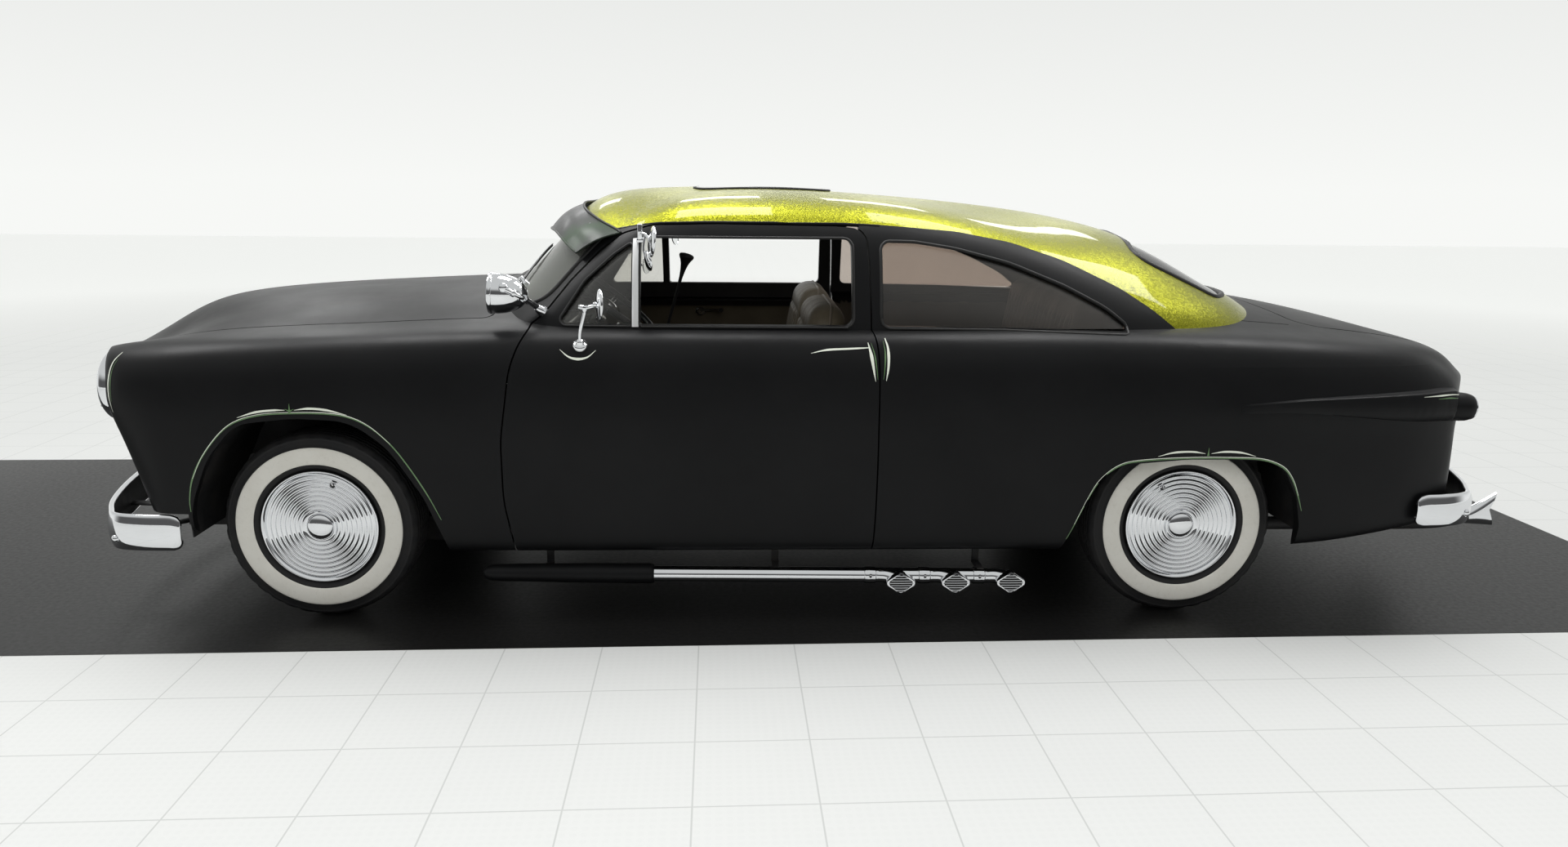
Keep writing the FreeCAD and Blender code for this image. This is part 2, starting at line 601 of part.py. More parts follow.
front_house = wheelhouse(F_ARCH, 22, -862, -440, 300, 480).common(lower_in).cut(box(-1000, -500, -1000, 0, 0, 2000))
rear_well = [(1010, 100), (1016, 300, 60), (1090, 560, 160), (1180, 690, 120), (1450, 712, 400), (1680, 700, 120),
             (1790, 560, 160), (1850, 320, 60), (1856, 100)]
rear_house = wheelhouse(rear_well, 0, -866, -556, 300, 441).common(quarter_in)
save("inner_fenders", [biggest(front_house), mir(biggest(front_house))])
save("wheelhouses", [biggest(rear_house), mir(biggest(rear_house))])
shelf = box(1290, 1860, -700, 0, 968, 978).common(quarter_in).cut(box(1780, 1900, -700, 1, 900, 1000))
bulk = box(1290, 1300, -552, 0, 452, 968)
save("parcel_shelf", full(fuse([biggest(shelf), bulk])))

# chassis ----------------------------------------------------------
rails = []
for s in (-1, 1):
    y = s * RAIL_Y
    y0, y1 = y - 30, y + 30
    side_pts = [(-2060, 210), (-1780, 210, 60), (-1650, 150, 60), (1030, 150, 60), (1230, 370, 80), (1750, 370, 80),
                (1950, 330, 60), (2380, 330), (2380, 425), (1950, 425, 60), (1750, 434, 60), (1232, 434, 80),
                (1034, 240, 80), (-1650, 240, 60), (-1780, 300, 60), (-2060, 300)]
    rails.append(prism_y(side_pts, y0, y1))
cross = [box(-2000, -1950, -370, 370, 220, 290), box(-1510, -1390, -370, 370, 160, 215), box(-420, -360, -370, 370, 165, 225),
         box(880, 930, -370, 370, 170, 230), box(1240, 1290, -370, 370, 375, 430), box(2300, 2350, -370, 370, 340, 415)]
save("chassis_frame", fuse(rails + cross))
save("engine_and_radiator", [box(-1800, -1180, -230, 230, 300, 820), box(-2010, -1950, -330, 330, 400, 800)])
gearbox = fuse([cone(150, 95, (-1178, 0, 430), (-960, 0, 400)).common(box(-1178, -890, -300, 300, 268, 700)),
                cyl(60, (-970, 0, 395), (-905, 0, 388))])
save("driveline", [gearbox, cyl(32, (-300, 0, 205), (1300, 0, 300))])
save("fuel_tank", prism_z([(1960, -330, 40), (2270, -330, 40), (2270, 330, 40), (1960, 330, 40)], 300, 424))

# suspension -------------------------------------------------------
arms = []
for s in (-1, 1):
    k = s * KINGPIN_Y
    low = prism_z([(-1448 - 24, s * 614, 0), (-1448 + 24, s * 614, 0), (-1390, s * 434, 0), (-1506, s * 434, 0)], 176, 200)
    low = low.fuse(cyl(18, (-AXLE_X, k, 176), (-AXLE_X, k, 200)))
    upp = prism_z([(-1448 - 20, s * 616, 0), (-1448 + 20, s * 616, 0), (-1400, s * 420, 0), (-1496, s * 420, 0)], 452, 470)
    upp = upp.fuse(cyl(18, (-AXLE_X, k, 452), (-AXLE_X, k, 470)))
    post = box(-1490, -1406, min(s * 372, s * 432), max(s * 372, s * 432), 240, 478)
    spring = cyl(48, (-1448, s * 500, 190), (-1448, s * 500, 445)).fuse(
        box(-1490, -1406, min(s * 420, s * 530), max(s * 420, s * 530), 436, 446))
    arms += [fuse([low, spring, post, upp])]
save("front_suspension", arms)
for s, n in ((-1, "left"), (1, "right")):
    k = s * KINGPIN_Y
    y2 = s * 668
    parts = [cyl(20, (-AXLE_X, k, 203), (-AXLE_X, k, 449)),
             cyl(26, (-AXLE_X, k, TYRE_R), (-AXLE_X, s * 662, TYRE_R)),
             cyl(17, (-AXLE_X, s * 650, TYRE_R), (-AXLE_X, s * 716, TYRE_R)),
             cyl(140, (-AXLE_X, s * 652, TYRE_R), (-AXLE_X, s * 690, TYRE_R))]
    arm = prism_z([(-AXLE_X - 10, k - 14, 0), (-AXLE_X + 130, k - s * 24 - 14, 0), (-AXLE_X + 130, k - s * 24 + 14, 0),
                   (-AXLE_X - 10, k + 14, 0)], 232, 250)
    save("knuckle_" + n, fuse(parts + [arm]))
axle = [cyl(38, (AXLE_X, -664, TYRE_R), (AXLE_X, 664, TYRE_R)), Part.makeSphere(116, V(AXLE_X, 0, TYRE_R)),
        cyl(40, (1302, 0, 300), (AXLE_X, 0, TYRE_R))]
for s in (-1, 1):
    axle += [cyl(140, (AXLE_X, s * 652, TYRE_R), (AXLE_X, s * 690, TYRE_R)),
             cyl(17, (AXLE_X, s * 690, TYRE_R), (AXLE_X, s * 716, TYRE_R))]
springs = []
for s in (-1, 1):
    y0, y1 = sorted((s * 470, s * 530))
    leaf = prism_y([(960, 210, 0), (1200, 246, 300), (1448, 262, 500), (1700, 262, 300), (2020, 318, 0), (2020, 332, 0),
                    (1700, 279, 300), (1448, 279, 500), (1200, 262, 300), (960, 224, 0)], y0, y1)
    eye = [cyl(22, (960, y0, 217), (960, y1, 217)), cyl(22, (2020, y0, 326), (2020, y1, 326)),
           box(2004, 2036, y0, y1, 326, 438)]
    ya, yb = sorted((s * 430, s * 470))
    eye.append(box(945, 975, ya, yb, 200, 236))
    springs.append(fuse([leaf] + eye))
save("rear_axle_and_springs", [fuse(axle)] + [q.cut(cyl(39, (AXLE_X, -664, TYRE_R), (AXLE_X, 664, TYRE_R))) for q in springs])

# wheels -------------------------------------------------------------
TYRE = [(RIM_R, -72), (214, -88), (250, -95), (285, -92), (304, -82), (314, -66), (TYRE_R, -45), (TYRE_R, 45),
        (314, 66), (304, 82), (285, 92), (250, 95), (214, 88), (RIM_R, 72)]
RIM = [(20, -2), (120, -2), (150, -30), (RIM_R - 9, -36), (RIM_R - 9, -72), (RIM_R, -72), (RIM_R, 72), (RIM_R, 80),
       (188, 86), (150, 84), (100, 88), (60, 94), (30, 97), (0, 98), (0, 84), (30, 83), (60, 80), (100, 74), (150, 70),
       (RIM_R - 9, 68), (RIM_R - 9, -24), (156, -20), (124, 8), (20, 8)]
for x, pos in ((-AXLE_X, "front"), (AXLE_X, "rear")):
    for s, sd in ((-1, "left"), (1, "right")):
        c = (x, s * WHEEL_Y, TYRE_R)
        save("tyre_%s_%s" % (pos, sd), revolve(TYRE, c, (0, s, 0), (0, 0, 1)))
        save("wheel_%s_%s" % (pos, sd), revolve(RIM, c, (0, s, 0), (0, 0, 1)))

# bumpers and pipes ---------------------------------------------------
F_BUMPER = [(-1858, -885), (-2000, -880), (-2088, -856), (-2138, -790), (-2196, -670), (-2262, -460), (-2312, -220),
            (-2326, 0)]
R_BUMPER = [(2212, -894), (2340, -885), (2421, -849), (2460, -792), (2514, -682), (2598, -450), (2664, -220), (2684, 0)]


def band(points, z0, z1, t):
    pts = [V(x, y, z0) for x, y in points] + [V(x, -y, z0) for x, y in reversed(points[:-1])]
    c = Part.BSplineCurve()
    c.interpolate(pts)
    n = 60
    a, b = c.FirstParameter, c.LastParameter
    outer_pts, inner_pts = [], []
    sgn = 1 if points[-1][0] < 0 else -1
    for i in range(n + 1):
        u = a + (b - a) * i / n
        p = c.value(u)
        d = c.tangent(u)[0]
        nn = V(-d.y, d.x, 0)
        inner_pts.append(p - nn * (t * sgn))
        outer_pts.append(p)
    co, ci = Part.BSplineCurve(), Part.BSplineCurve()
    co.interpolate(outer_pts)
    ci.interpolate(inner_pts)
    w = Part.Wire([co.toShape(), Part.makeLine(outer_pts[-1], inner_pts[-1]), ci.toShape(),
                   Part.makeLine(inner_pts[0], outer_pts[0])])
    return Part.Face(w).extrude(V(0, 0, z1 - z0))


fb = band(F_BUMPER, 262, 384, 26)
rb = band(R_BUMPER, 336, 448, 26)
for s in (-1, 1):
    fb = fb.fuse(box(-2290, -2060, min(s * 380, s * 420), max(s * 380, s * 420), 268, 298))
    rb = rb.fuse(box(2380, 2600, min(s * 380, s * 420), max(s * 380, s * 420), 345, 410))
save("front_bumper", fb)
save("rear_bumper", rb)
plate = box(2650, 2654, -165, 165, 238, 336).cut(cyl(3.5, (2640, -88.9, 310), (2660, -88.9, 310))).cut(
    cyl(3.5, (2640, 88.9, 310), (2660, 88.9, 310)))
save("plate_bracket", plate)

pipes = []
pipe_dir = V(1730, 0, -19)
pipe_dir.normalize()
pipe_up = V(-pipe_dir.z, 0, pipe_dir.x)
pipe = fuse([revolve([(0, 0), (13, 2), (22, 9), (27, 24), (34, 500), (34, 540), (26, 548), (26, 1690), (0, 1690)],
                     (-908, -846, 176), pipe_dir, pipe_up)]
            + [prism_x([(-862 - 52, 154, 8), (-862, 154 + 39, 8), (-862 + 52, 154, 8), (-862, 154 - 39, 8)], x - 62, x + 62)
               for x in (475, 658, 843)])
straps = [box(x - 12, x + 12, -858, -760, 176, 188).fuse(box(x - 12, x + 12, -772, -760, 176, 242)) for x in (-700, 60, 750)]
pipe = fuse([pipe] + straps)
save("lake_pipes", [pipe, mir(pipe)])
tail = []
for s in (-1, 1):
    tail.append(fuse([tube_path([(1780, s * 600, 262), (2450, s * 600, 262), (2585, s * 600, 285)], 24),
                      prism_y([(2580, 270), (2690, 252), (2690, 376), (2580, 300)], s * 600 - 30, s * 600 + 30)]))
save("tail_pipes", tail)

# interior ------------------------------------------------------------
def seat_back(profile, half_width, top, corner):
    """Seat back with its upper corners rounded in front view."""
    b = prism_y(profile, -half_width, half_width)
    w = half_width + 2
    return b.common(prism_x([(-w, 300, 0), (w, 300, 0), (w, top + 2, corner), (-w, top + 2, corner)], -1000, 2000))


cushion = prism_y([(-430, 343, 30), (92, 343, 20), (92, 525, 30), (-430, 560, 60)], -600, 600)
back = seat_back([(95, 526, 20), (250, 532, 30), (330, SEAT_TOP, 62), (196, SEAT_TOP, 66)], 600, SEAT_TOP, 150)
save("front_seat", [cushion, back])
cushion = prism_y([(640, 343, 30), (990, 343, 20), (1004, 456, 8), (1270, 456, 20), (1270, 556, 20), (640, 596, 60)], -540, 540)
back = seat_back([(1030, 588, 40), (1278, 572, 20), (1285, REAR_SEAT_TOP, 50), (1186, REAR_SEAT_TOP, 80)], 540,
                 REAR_SEAT_TOP, 150)
save("rear_seat", [cushion, back])
dash = prism_y([(-860, 760, 0), (-720, 780, 30), (-700, 925, 40), (-860, 930, 0)], -740, 740)
dash = full(biggest(dash.common(lower_in).common(box(-1000, -600, -740, 0, 700, 1000)).cut(door_hole)))
save("dashboard_and_column", dash.fuse(cyl(24, (-790, -370, 686), (-560, -370, 977))))
wheel_c = V(-520, -370, 1028)
wheel_n = V(0.62, 0, 0.785)
rim = Part.makeTorus(190, 13, wheel_c, wheel_n)
hub = Part.makeCylinder(34, 40, wheel_c - wheel_n * 45, wheel_n)
sp = []
for ang in (90, 210, 330):
    d = V(-wheel_n.z, 0, wheel_n.x) * math.cos(math.radians(ang)) + V(0, 1, 0) * math.sin(math.radians(ang))
    sp.append(Part.makeCylinder(9, 180, wheel_c - wheel_n * 25 + d * 20, (d * 185 + wheel_n * 22)))
save("steering_wheel", fuse([rim, hub] + sp))
lever = fuse([cyl(8, (-507, 0, 320), (-289, 0, 1090)), cone(14, 30, (-292, 0, 1080), (-265, 0, 1176))])
save("shift_lever", lever.cut(box(-700, -300, -100, 100, 0, 342.5)))
card = prism_y([(-700, 350, 40), (340, 350, 40), (340, 935, 40), (-700, 935, 60)], -846, -790)
card = card.common(wall_solid(WALL + 1)).common(box(-800, 400, -900, -700, 300, 925)).cut(wall_solid(WALL + 14))
both("door_card", biggest(card))

# trim carried outside ------------------------------------------------
light = []
for s in (-1, 1):
    ring_ = revolve([(LAMP_R, -70), (LAMP_R, 4), (LAMP_R - 9, 18), (92, 26), (92, -70)], (LAMP_X, s * 700, 780), (-1, 0, 0), (0, 0, 1))
    lens = revolve([(92, -16), (92, 2), (60, 18), (0, 26), (0, 10), (60, 2)], (LAMP_X, s * 700, 780), (-1, 0, 0), (0, 0, 1))
    light.append(fuse([ring_, lens]))
save("headlights", light)
tl = []
for s in (-1, 1):
    tl.append(prism_x([(s * 790, 690, 10), (s * 840, 700, 10), (s * 846, 762, 10), (s * 790, 776, 10)], 2280, 2388).cut(
        lower if s < 0 else mir(lower)))
save("tail_lights", [biggest(t) for t in tl])
visor = upper_solid(-26).cut(upper_solid(-20)).common(prism_y([(-860, 1230), (-700, 1225, 10), (-520, 1425, 60), (-560, 1500),
                                                         (-900, 1500)], -1000, 0))
save("sun_visor", full(biggest(visor.cut(box(-1000, 0, -1000, -600, 0, 1600)))))
lamps = []
for s, n in ((-1, "left"), (1, "right")):
    lamp = fuse([cone(30, 66, (-735, s * 745, 1090), (-800, s * 745, 1090)), cyl(66, (-800, s * 745, 1090), (-858, s * 745, 1090)),
                 cyl(10, (-790, s * 745, 960), (-790, s * 745, 1040))])
    lamps.append(lamp.cut(lower if s < 0 else mir(lower)))
    m = [cyl(26, (-575, s * 826, 962), (-575, s * 822, 985)), cyl(7, (-575, s * 826, 970), (-560, s * 870, 1050)),
         cyl(8, (-560, s * 870, 1045), (-520, s * 880, 1070)), cyl(62, (-523, s * 880, 1070), (-508, s * 880, 1070))]
    save("door_mirror_" + n, fuse(m).cut(lower if s < 0 else mir(lower)))

save("spotlights", lamps)
for name, shape in PARTS.items():
    ok = shape.isValid()
    bb = shape.BoundBox
    print("%-22s ok %s solids %d  x %.0f..%.0f y %.0f..%.0f z %.0f..%.0f" % (
        name, ok, len(shape.Solids), bb.XMin, bb.XMax, bb.YMin, bb.YMax, bb.ZMin, bb.ZMax))
    shape.exportStep("parts/%s.step" % name)
allbb = Part.makeCompound(list(PARTS.values())).BoundBox
print("overall", allbb)
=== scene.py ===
import math
import random

import bmesh
import bpy
from mathutils import Matrix, Vector
from mathutils.bvhtree import BVHTree


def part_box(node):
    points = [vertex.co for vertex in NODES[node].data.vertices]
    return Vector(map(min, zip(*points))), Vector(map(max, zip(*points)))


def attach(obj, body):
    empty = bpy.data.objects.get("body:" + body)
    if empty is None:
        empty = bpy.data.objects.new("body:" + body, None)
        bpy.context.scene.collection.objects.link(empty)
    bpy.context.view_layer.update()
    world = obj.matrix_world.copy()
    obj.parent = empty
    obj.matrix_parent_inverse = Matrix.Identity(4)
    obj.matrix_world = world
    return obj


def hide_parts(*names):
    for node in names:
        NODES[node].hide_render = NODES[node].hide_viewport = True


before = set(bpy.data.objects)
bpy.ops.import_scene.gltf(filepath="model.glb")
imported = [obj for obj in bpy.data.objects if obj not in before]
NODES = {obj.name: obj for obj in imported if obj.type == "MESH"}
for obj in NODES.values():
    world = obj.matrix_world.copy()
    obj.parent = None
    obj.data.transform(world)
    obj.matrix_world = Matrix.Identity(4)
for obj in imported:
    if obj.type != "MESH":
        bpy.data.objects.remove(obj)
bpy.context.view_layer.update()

random.seed(7)

_lo, _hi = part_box("tyre_front_left")
SX = (_lo.x + _hi.x) / 2 + 1.448          # the front axle is 1.448 m ahead of the middle of the wheelbase
AXLE = 1.448
WHEEL_Y = 0.711
TYRE_R = 0.318


# ------------------------------------------------------------------ small helpers
def clamp(v, a, b):
    return max(a, min(b, v))


def lerp(a, b, t):
    return a + (b - a) * t


def table(keys, x):
    if x <= keys[0][0]:
        return keys[0][1]
    for (x0, a), (x1, b) in zip(keys[:-1], keys[1:]):
        if x <= x1:
            return lerp(a, b, (x - x0) / (x1 - x0))
    return keys[-1][1]


def smooth_path(points, steps=8, closed=False):
    """Points on a Catmull-Rom curve through the given ones."""
    p = [Vector(q) for q in points]
    n = len(p)
    out = []
    last = n if closed else n - 1
    for i in range(last):
        p0 = p[(i - 1) % n] if closed or i > 0 else p[0] * 2 - p[1]
        p1 = p[i]
        p2 = p[(i + 1) % n]
        p3 = p[(i + 2) % n] if closed or i + 2 < n else p[-1] * 2 - p[-2]
        for k in range(steps):
            t = k / steps
            out.append(0.5 * ((2 * p1) + (p2 - p0) * t + (2 * p0 - 5 * p1 + 4 * p2 - p3) * t * t
                              + (3 * p1 - p0 - 3 * p2 + p3) * t ** 3))
    if not closed:
        out.append(p[-1].copy())
    return out


def even_path(points, count, closed=False):
    """The same line with its points spread evenly."""
    pts = [Vector(q) for q in points]
    if closed:
        pts = pts + [pts[0]]
    dist = [0.0]
    for a, b in zip(pts[:-1], pts[1:]):
        dist.append(dist[-1] + (b - a).length)
    total = dist[-1]
    out = []
    j = 0
    m = count if closed else count - 1
    for i in range(count):
        d = total * i / m
        while j < len(pts) - 2 and dist[j + 1] < d:
            j += 1
        seg = dist[j + 1] - dist[j]
        t = 0 if seg < 1e-12 else (d - dist[j]) / seg
        out.append(pts[j].lerp(pts[j + 1], clamp(t, 0, 1)))
    return out


def mesh_obj(name, verts, faces, mats, index=None, smooth=True, angle=None, shift=True):
    me = bpy.data.meshes.new(name)
    off = Vector((SX, 0, 0)) if shift else Vector((0, 0, 0))
    me.from_pydata([Vector(v) + off for v in verts], [], faces)
    me.validate()
    if not isinstance(mats, (list, tuple)):
        mats = [mats]
    for m in mats:
        me.materials.append(m)
    if index is not None and len(index) == len(me.polygons):
        me.polygons.foreach_set("material_index", index)
    ob = bpy.data.objects.new(name, me)
    bpy.context.scene.collection.objects.link(ob)
    bm = bmesh.new()
    bm.from_mesh(me)
    bmesh.ops.recalc_face_normals(bm, faces=bm.faces)
    bm.to_mesh(me)
    bm.free()
    me.polygons.foreach_set("use_smooth", [smooth] * len(me.polygons))
    if smooth and angle is not None:
        me.set_sharp_from_angle(angle=math.radians(angle))
    me.update()
    return ob


def join(name, objs):
    """One object from several; material slots are merged."""
    bpy.ops.object.select_all(action="DESELECT")
    for o in objs:
        o.select_set(True)
    bpy.context.view_layer.objects.active = objs[0]
    if len(objs) > 1:
        bpy.ops.object.join()
    ob = bpy.context.view_layer.objects.active
    ob.name = name
    ob.data.name = name
    return ob


def mirrored(ob, name):
    """A copy on the other side of the middle plane."""
    me = ob.data.copy()
    me.name = name
    me.transform(Matrix.Diagonal((1, -1, 1, 1)))
    me.flip_normals()
    o = bpy.data.objects.new(name, me)
    bpy.context.scene.collection.objects.link(o)
    return o


def modifier_applied(ob):
    dg = bpy.context.evaluated_depsgraph_get()
    me = bpy.data.meshes.new_from_object(ob.evaluated_get(dg))
    old = ob.data
    ob.modifiers.clear()
    ob.data = me
    bpy.data.meshes.remove(old)
    return ob


def basis(axis, radial=None):
    a = Vector(axis).normalized()
    r = Vector(radial) if radial is not None else (Vector((0, 0, 1)) if abs(a.z) < 0.9 else Vector((1, 0, 0)))
    r = (r - a * r.dot(a)).normalized()
    return a, r, a.cross(r)


def lathe(name, profile, centre, axis, mats, radial=None, segs=64, index=None, closed=False, angle=35,
          ripple=None, shift=True):
    """Profile points (r, h) turned round the axis; index gives the material of each run of the profile."""
    a, r, t = basis(axis, radial)
    c = Vector(centre)
    verts, faces, idx = [], [], []
    n = len(profile)
    rows = []
    for j, (pr, ph) in enumerate(profile):
        if pr < 1e-6:
            rows.append([len(verts)])
            verts.append(c + a * ph)
            continue
        row = []
        for i in range(segs):
            th = 2 * math.pi * i / segs
            rr, hh = (pr, ph) if ripple is None else ripple(j, i, th, pr, ph)
            row.append(len(verts))
            verts.append(c + a * hh + (r * math.cos(th) + t * math.sin(th)) * rr)
        rows.append(row)
    last = n if closed else n - 1
    for j in range(last):
        A, B = rows[j], rows[(j + 1) % n]
        m = 0 if index is None else index[j % len(index)]
        if len(A) == 1 and len(B) == 1:
            continue
        for i in range(segs):
            k = (i + 1) % segs
            if len(A) == 1:
                faces.append((A[0], B[i], B[k]))
            elif len(B) == 1:
                faces.append((A[i], A[k], B[0]))
            else:
                faces.append((A[i], A[k], B[k], B[i]))
            idx.append(m)
    return mesh_obj(name, verts, faces, mats, idx, True, angle, shift)


def tube(name, points, radius, mat, segs=16, closed=False, caps=True, squash_=1.0, up=None, shift=True):
    """Round or oval bar along a line; radius is a number or a list."""
    pts = [Vector(p) for p in points]
    n = len(pts)
    verts, faces = [], []
    prev = None
    for i, p in enumerate(pts):
        if closed:
            d = (pts[(i + 1) % n] - pts[i - 1]).normalized()
        else:
            d = (pts[min(i + 1, n - 1)] - pts[max(i - 1, 0)]).normalized()
        if prev is None:
            u = Vector(up) if up is not None else (Vector((0, 0, 1)) if abs(d.z) < 0.9 else Vector((1, 0, 0)))
        else:
            u = prev
        u = (u - d * u.dot(d)).normalized()
        prev = u
        w = d.cross(u)
        rr = radius[i] if isinstance(radius, (list, tuple)) else radius
        for k in range(segs):
            th = 2 * math.pi * k / segs
            verts.append(p + u * (math.cos(th) * rr * squash_) + w * (math.sin(th) * rr))
    for i in range(n if closed else n - 1):
        A, B = i * segs, ((i + 1) % n) * segs
        for k in range(segs):
            m = (k + 1) % segs
            faces.append((A + k, A + m, B + m, B + k))
    if caps and not closed:
        faces.append(tuple(range(segs)))
        faces.append(tuple(range((n - 1) * segs, n * segs)))
    return mesh_obj(name, verts, faces, mat, None, True, 40, shift)


def rounded_box(name, lo, hi, bevel, mat, segs=3, matrix=None, shift=True, subdiv=0):
    bm = bmesh.new()
    bmesh.ops.create_cube(bm, size=1.0)
    lo, hi = Vector(lo), Vector(hi)
    for v in bm.verts:
        v.co = Vector([lerp(lo[k], hi[k], v.co[k] + 0.5) for k in range(3)])
    bmesh.ops.bevel(bm, geom=bm.edges[:], offset=bevel, segments=segs, profile=0.5, affect="EDGES")
    if subdiv:
        bmesh.ops.subdivide_edges(bm, edges=bm.edges[:], cuts=subdiv, use_grid_fill=True)
    if matrix is not None:
        bm.transform(matrix)
    if shift:
        bm.transform(Matrix.Translation((SX, 0, 0)))
    me = bpy.data.meshes.new(name)
    bm.to_mesh(me)
    bm.free()
    me.materials.append(mat)
    me.polygons.foreach_set("use_smooth", [True] * len(me.polygons))
    me.set_sharp_from_angle(angle=math.radians(50))
    ob = bpy.data.objects.new(name, me)
    bpy.context.scene.collection.objects.link(ob)
    return ob


# ------------------------------------------------------------------ materials
class Tree:
    def __init__(self, name):
        self.mat = bpy.data.materials.new(name)
        self.mat.use_nodes = True
        self.t = self.mat.node_tree
        self.t.nodes.clear()
        self.out = self.node("ShaderNodeOutputMaterial")
        self.coord = self.node("ShaderNodeTexCoord").outputs["Object"]

    def node(self, kind, inputs=None, **props):
        n = self.t.nodes.new(kind)
        for k, v in props.items():
            setattr(n, k, v)
        for k, v in (inputs or {}).items():
            self.put(n.inputs[k], v)
        return n

    def put(self, socket, v):
        if isinstance(v, bpy.types.NodeSocket):
            self.t.links.new(v, socket)
        elif isinstance(v, (tuple, list)) and socket.type == "RGBA" and len(v) == 3:
            socket.default_value = (*v, 1.0)
        else:
            socket.default_value = v

    def noise(self, scale, detail=3.0, rough=0.55, coord=None, distort=0.0):
        return self.node("ShaderNodeTexNoise", {"Vector": coord or self.coord, "Scale": scale, "Detail": detail,
                                                "Roughness": rough, "Distortion": distort}).outputs["Fac"]

    def ramp(self, fac, stops):
        r = self.node("ShaderNodeValToRGB", {"Fac": fac})
        e = r.color_ramp.elements
        while len(e) > len(stops):
            e.remove(e[-1])
        while len(e) < len(stops):
            e.new(1.0)
        for el, (pos, col) in zip(e, stops):
            el.position = pos
            el.color = (*col, 1.0) if len(col) == 3 else col
        return r.outputs["Color"]

    def map(self, fac, a, b, lo, hi):
        return self.node("ShaderNodeMapRange", {"Value": fac, "From Min": a, "From Max": b, "To Min": lo,
                                                "To Max": hi}).outputs["Result"]

    def mix(self, fac, a, b, blend="MIX"):
        m = self.node("ShaderNodeMix", data_type="RGBA", blend_type=blend)
        self.put(m.inputs[0], fac)
        self.put(m.inputs[6], a)
        self.put(m.inputs[7], b)
        return m.outputs[2]

    def math(self, op, a, b=0.0):
        m = self.node("ShaderNodeMath", operation=op)
        self.put(m.inputs[0], a)
        self.put(m.inputs[1], b)
        return m.outputs[0]

    def mix_value(self, fac, a, b):
        m = self.node("ShaderNodeMix", data_type="FLOAT")
        self.put(m.inputs[0], fac)
        self.put(m.inputs[2], a)
        self.put(m.inputs[3], b)
        return m.outputs[0]

    def bump(self, height, strength, distance, normal=None):
        n = self.node("ShaderNodeBump", {"Height": height, "Strength": strength, "Distance": distance})
        if normal is not None:
            self.put(n.inputs["Normal"], normal)
        return n.outputs["Normal"]

    def shader(self, **inputs):
        p = self.node("ShaderNodeBsdfPrincipled")
        for k, v in inputs.items():
            self.put(p.inputs[k.replace("_", " ")], v)
        self.t.links.new(p.outputs[0], self.out.inputs["Surface"])
        return p


def edge_wear(t, radius=0.004):
    """1 on sharp outer edges, broken up by noise."""
    bev = t.node("ShaderNodeBevel", samples=4)
    bev.inputs["Radius"].default_value = radius
    geo = t.node("ShaderNodeNewGeometry")
    d = t.node("ShaderNodeVectorMath", operation="DOT_PRODUCT")
    t.put(d.inputs[0], bev.outputs["Normal"])
    t.put(d.inputs[1], geo.outputs["Normal"])
    e = t.map(d.outputs["Value"], 0.98, 0.80, 0.0, 1.0)
    n = t.noise(60.0, 4.0, 0.65)
    return t.math("MULTIPLY", e, t.map(n, 0.45, 0.62, 0.0, 1.0))


def matte_black():
    t = Tree("matte_black_paint_fine")
    cloud = t.noise(2.3, 5.0, 0.6)
    col = t.ramp(cloud, [(0.3, (0.0034, 0.0035, 0.0039)), (0.7, (0.0054, 0.0055, 0.0060))])
    geo = t.node("ShaderNodeNewGeometry")
    sep = t.node("ShaderNodeSeparateXYZ")
    t.put(sep.inputs[0], geo.outputs["Normal"])
    up = t.map(sep.outputs["Z"], 0.55, 1.0, 0.0, 1.0)
    dust = t.math("MULTIPLY", up, t.map(t.noise(9.0, 7.0, 0.7), 0.42, 0.75, 0.0, 0.22))
    col = t.mix(dust, col, (0.022, 0.021, 0.020))
    rough = t.map(t.noise(5.0, 6.0, 0.6), 0.3, 0.7, 0.37, 0.45)
    grain = t.noise(1400.0, 2.0, 0.6)
    wave = t.noise(28.0, 2.0, 0.5)
    nrm = t.bump(grain, 0.10, 0.0002, t.bump(wave, 0.06, 0.0006))
    t.shader(Base_Color=col, Roughness=rough, Normal=nrm, Specular_IOR_Level=0.15)
    return t.mat


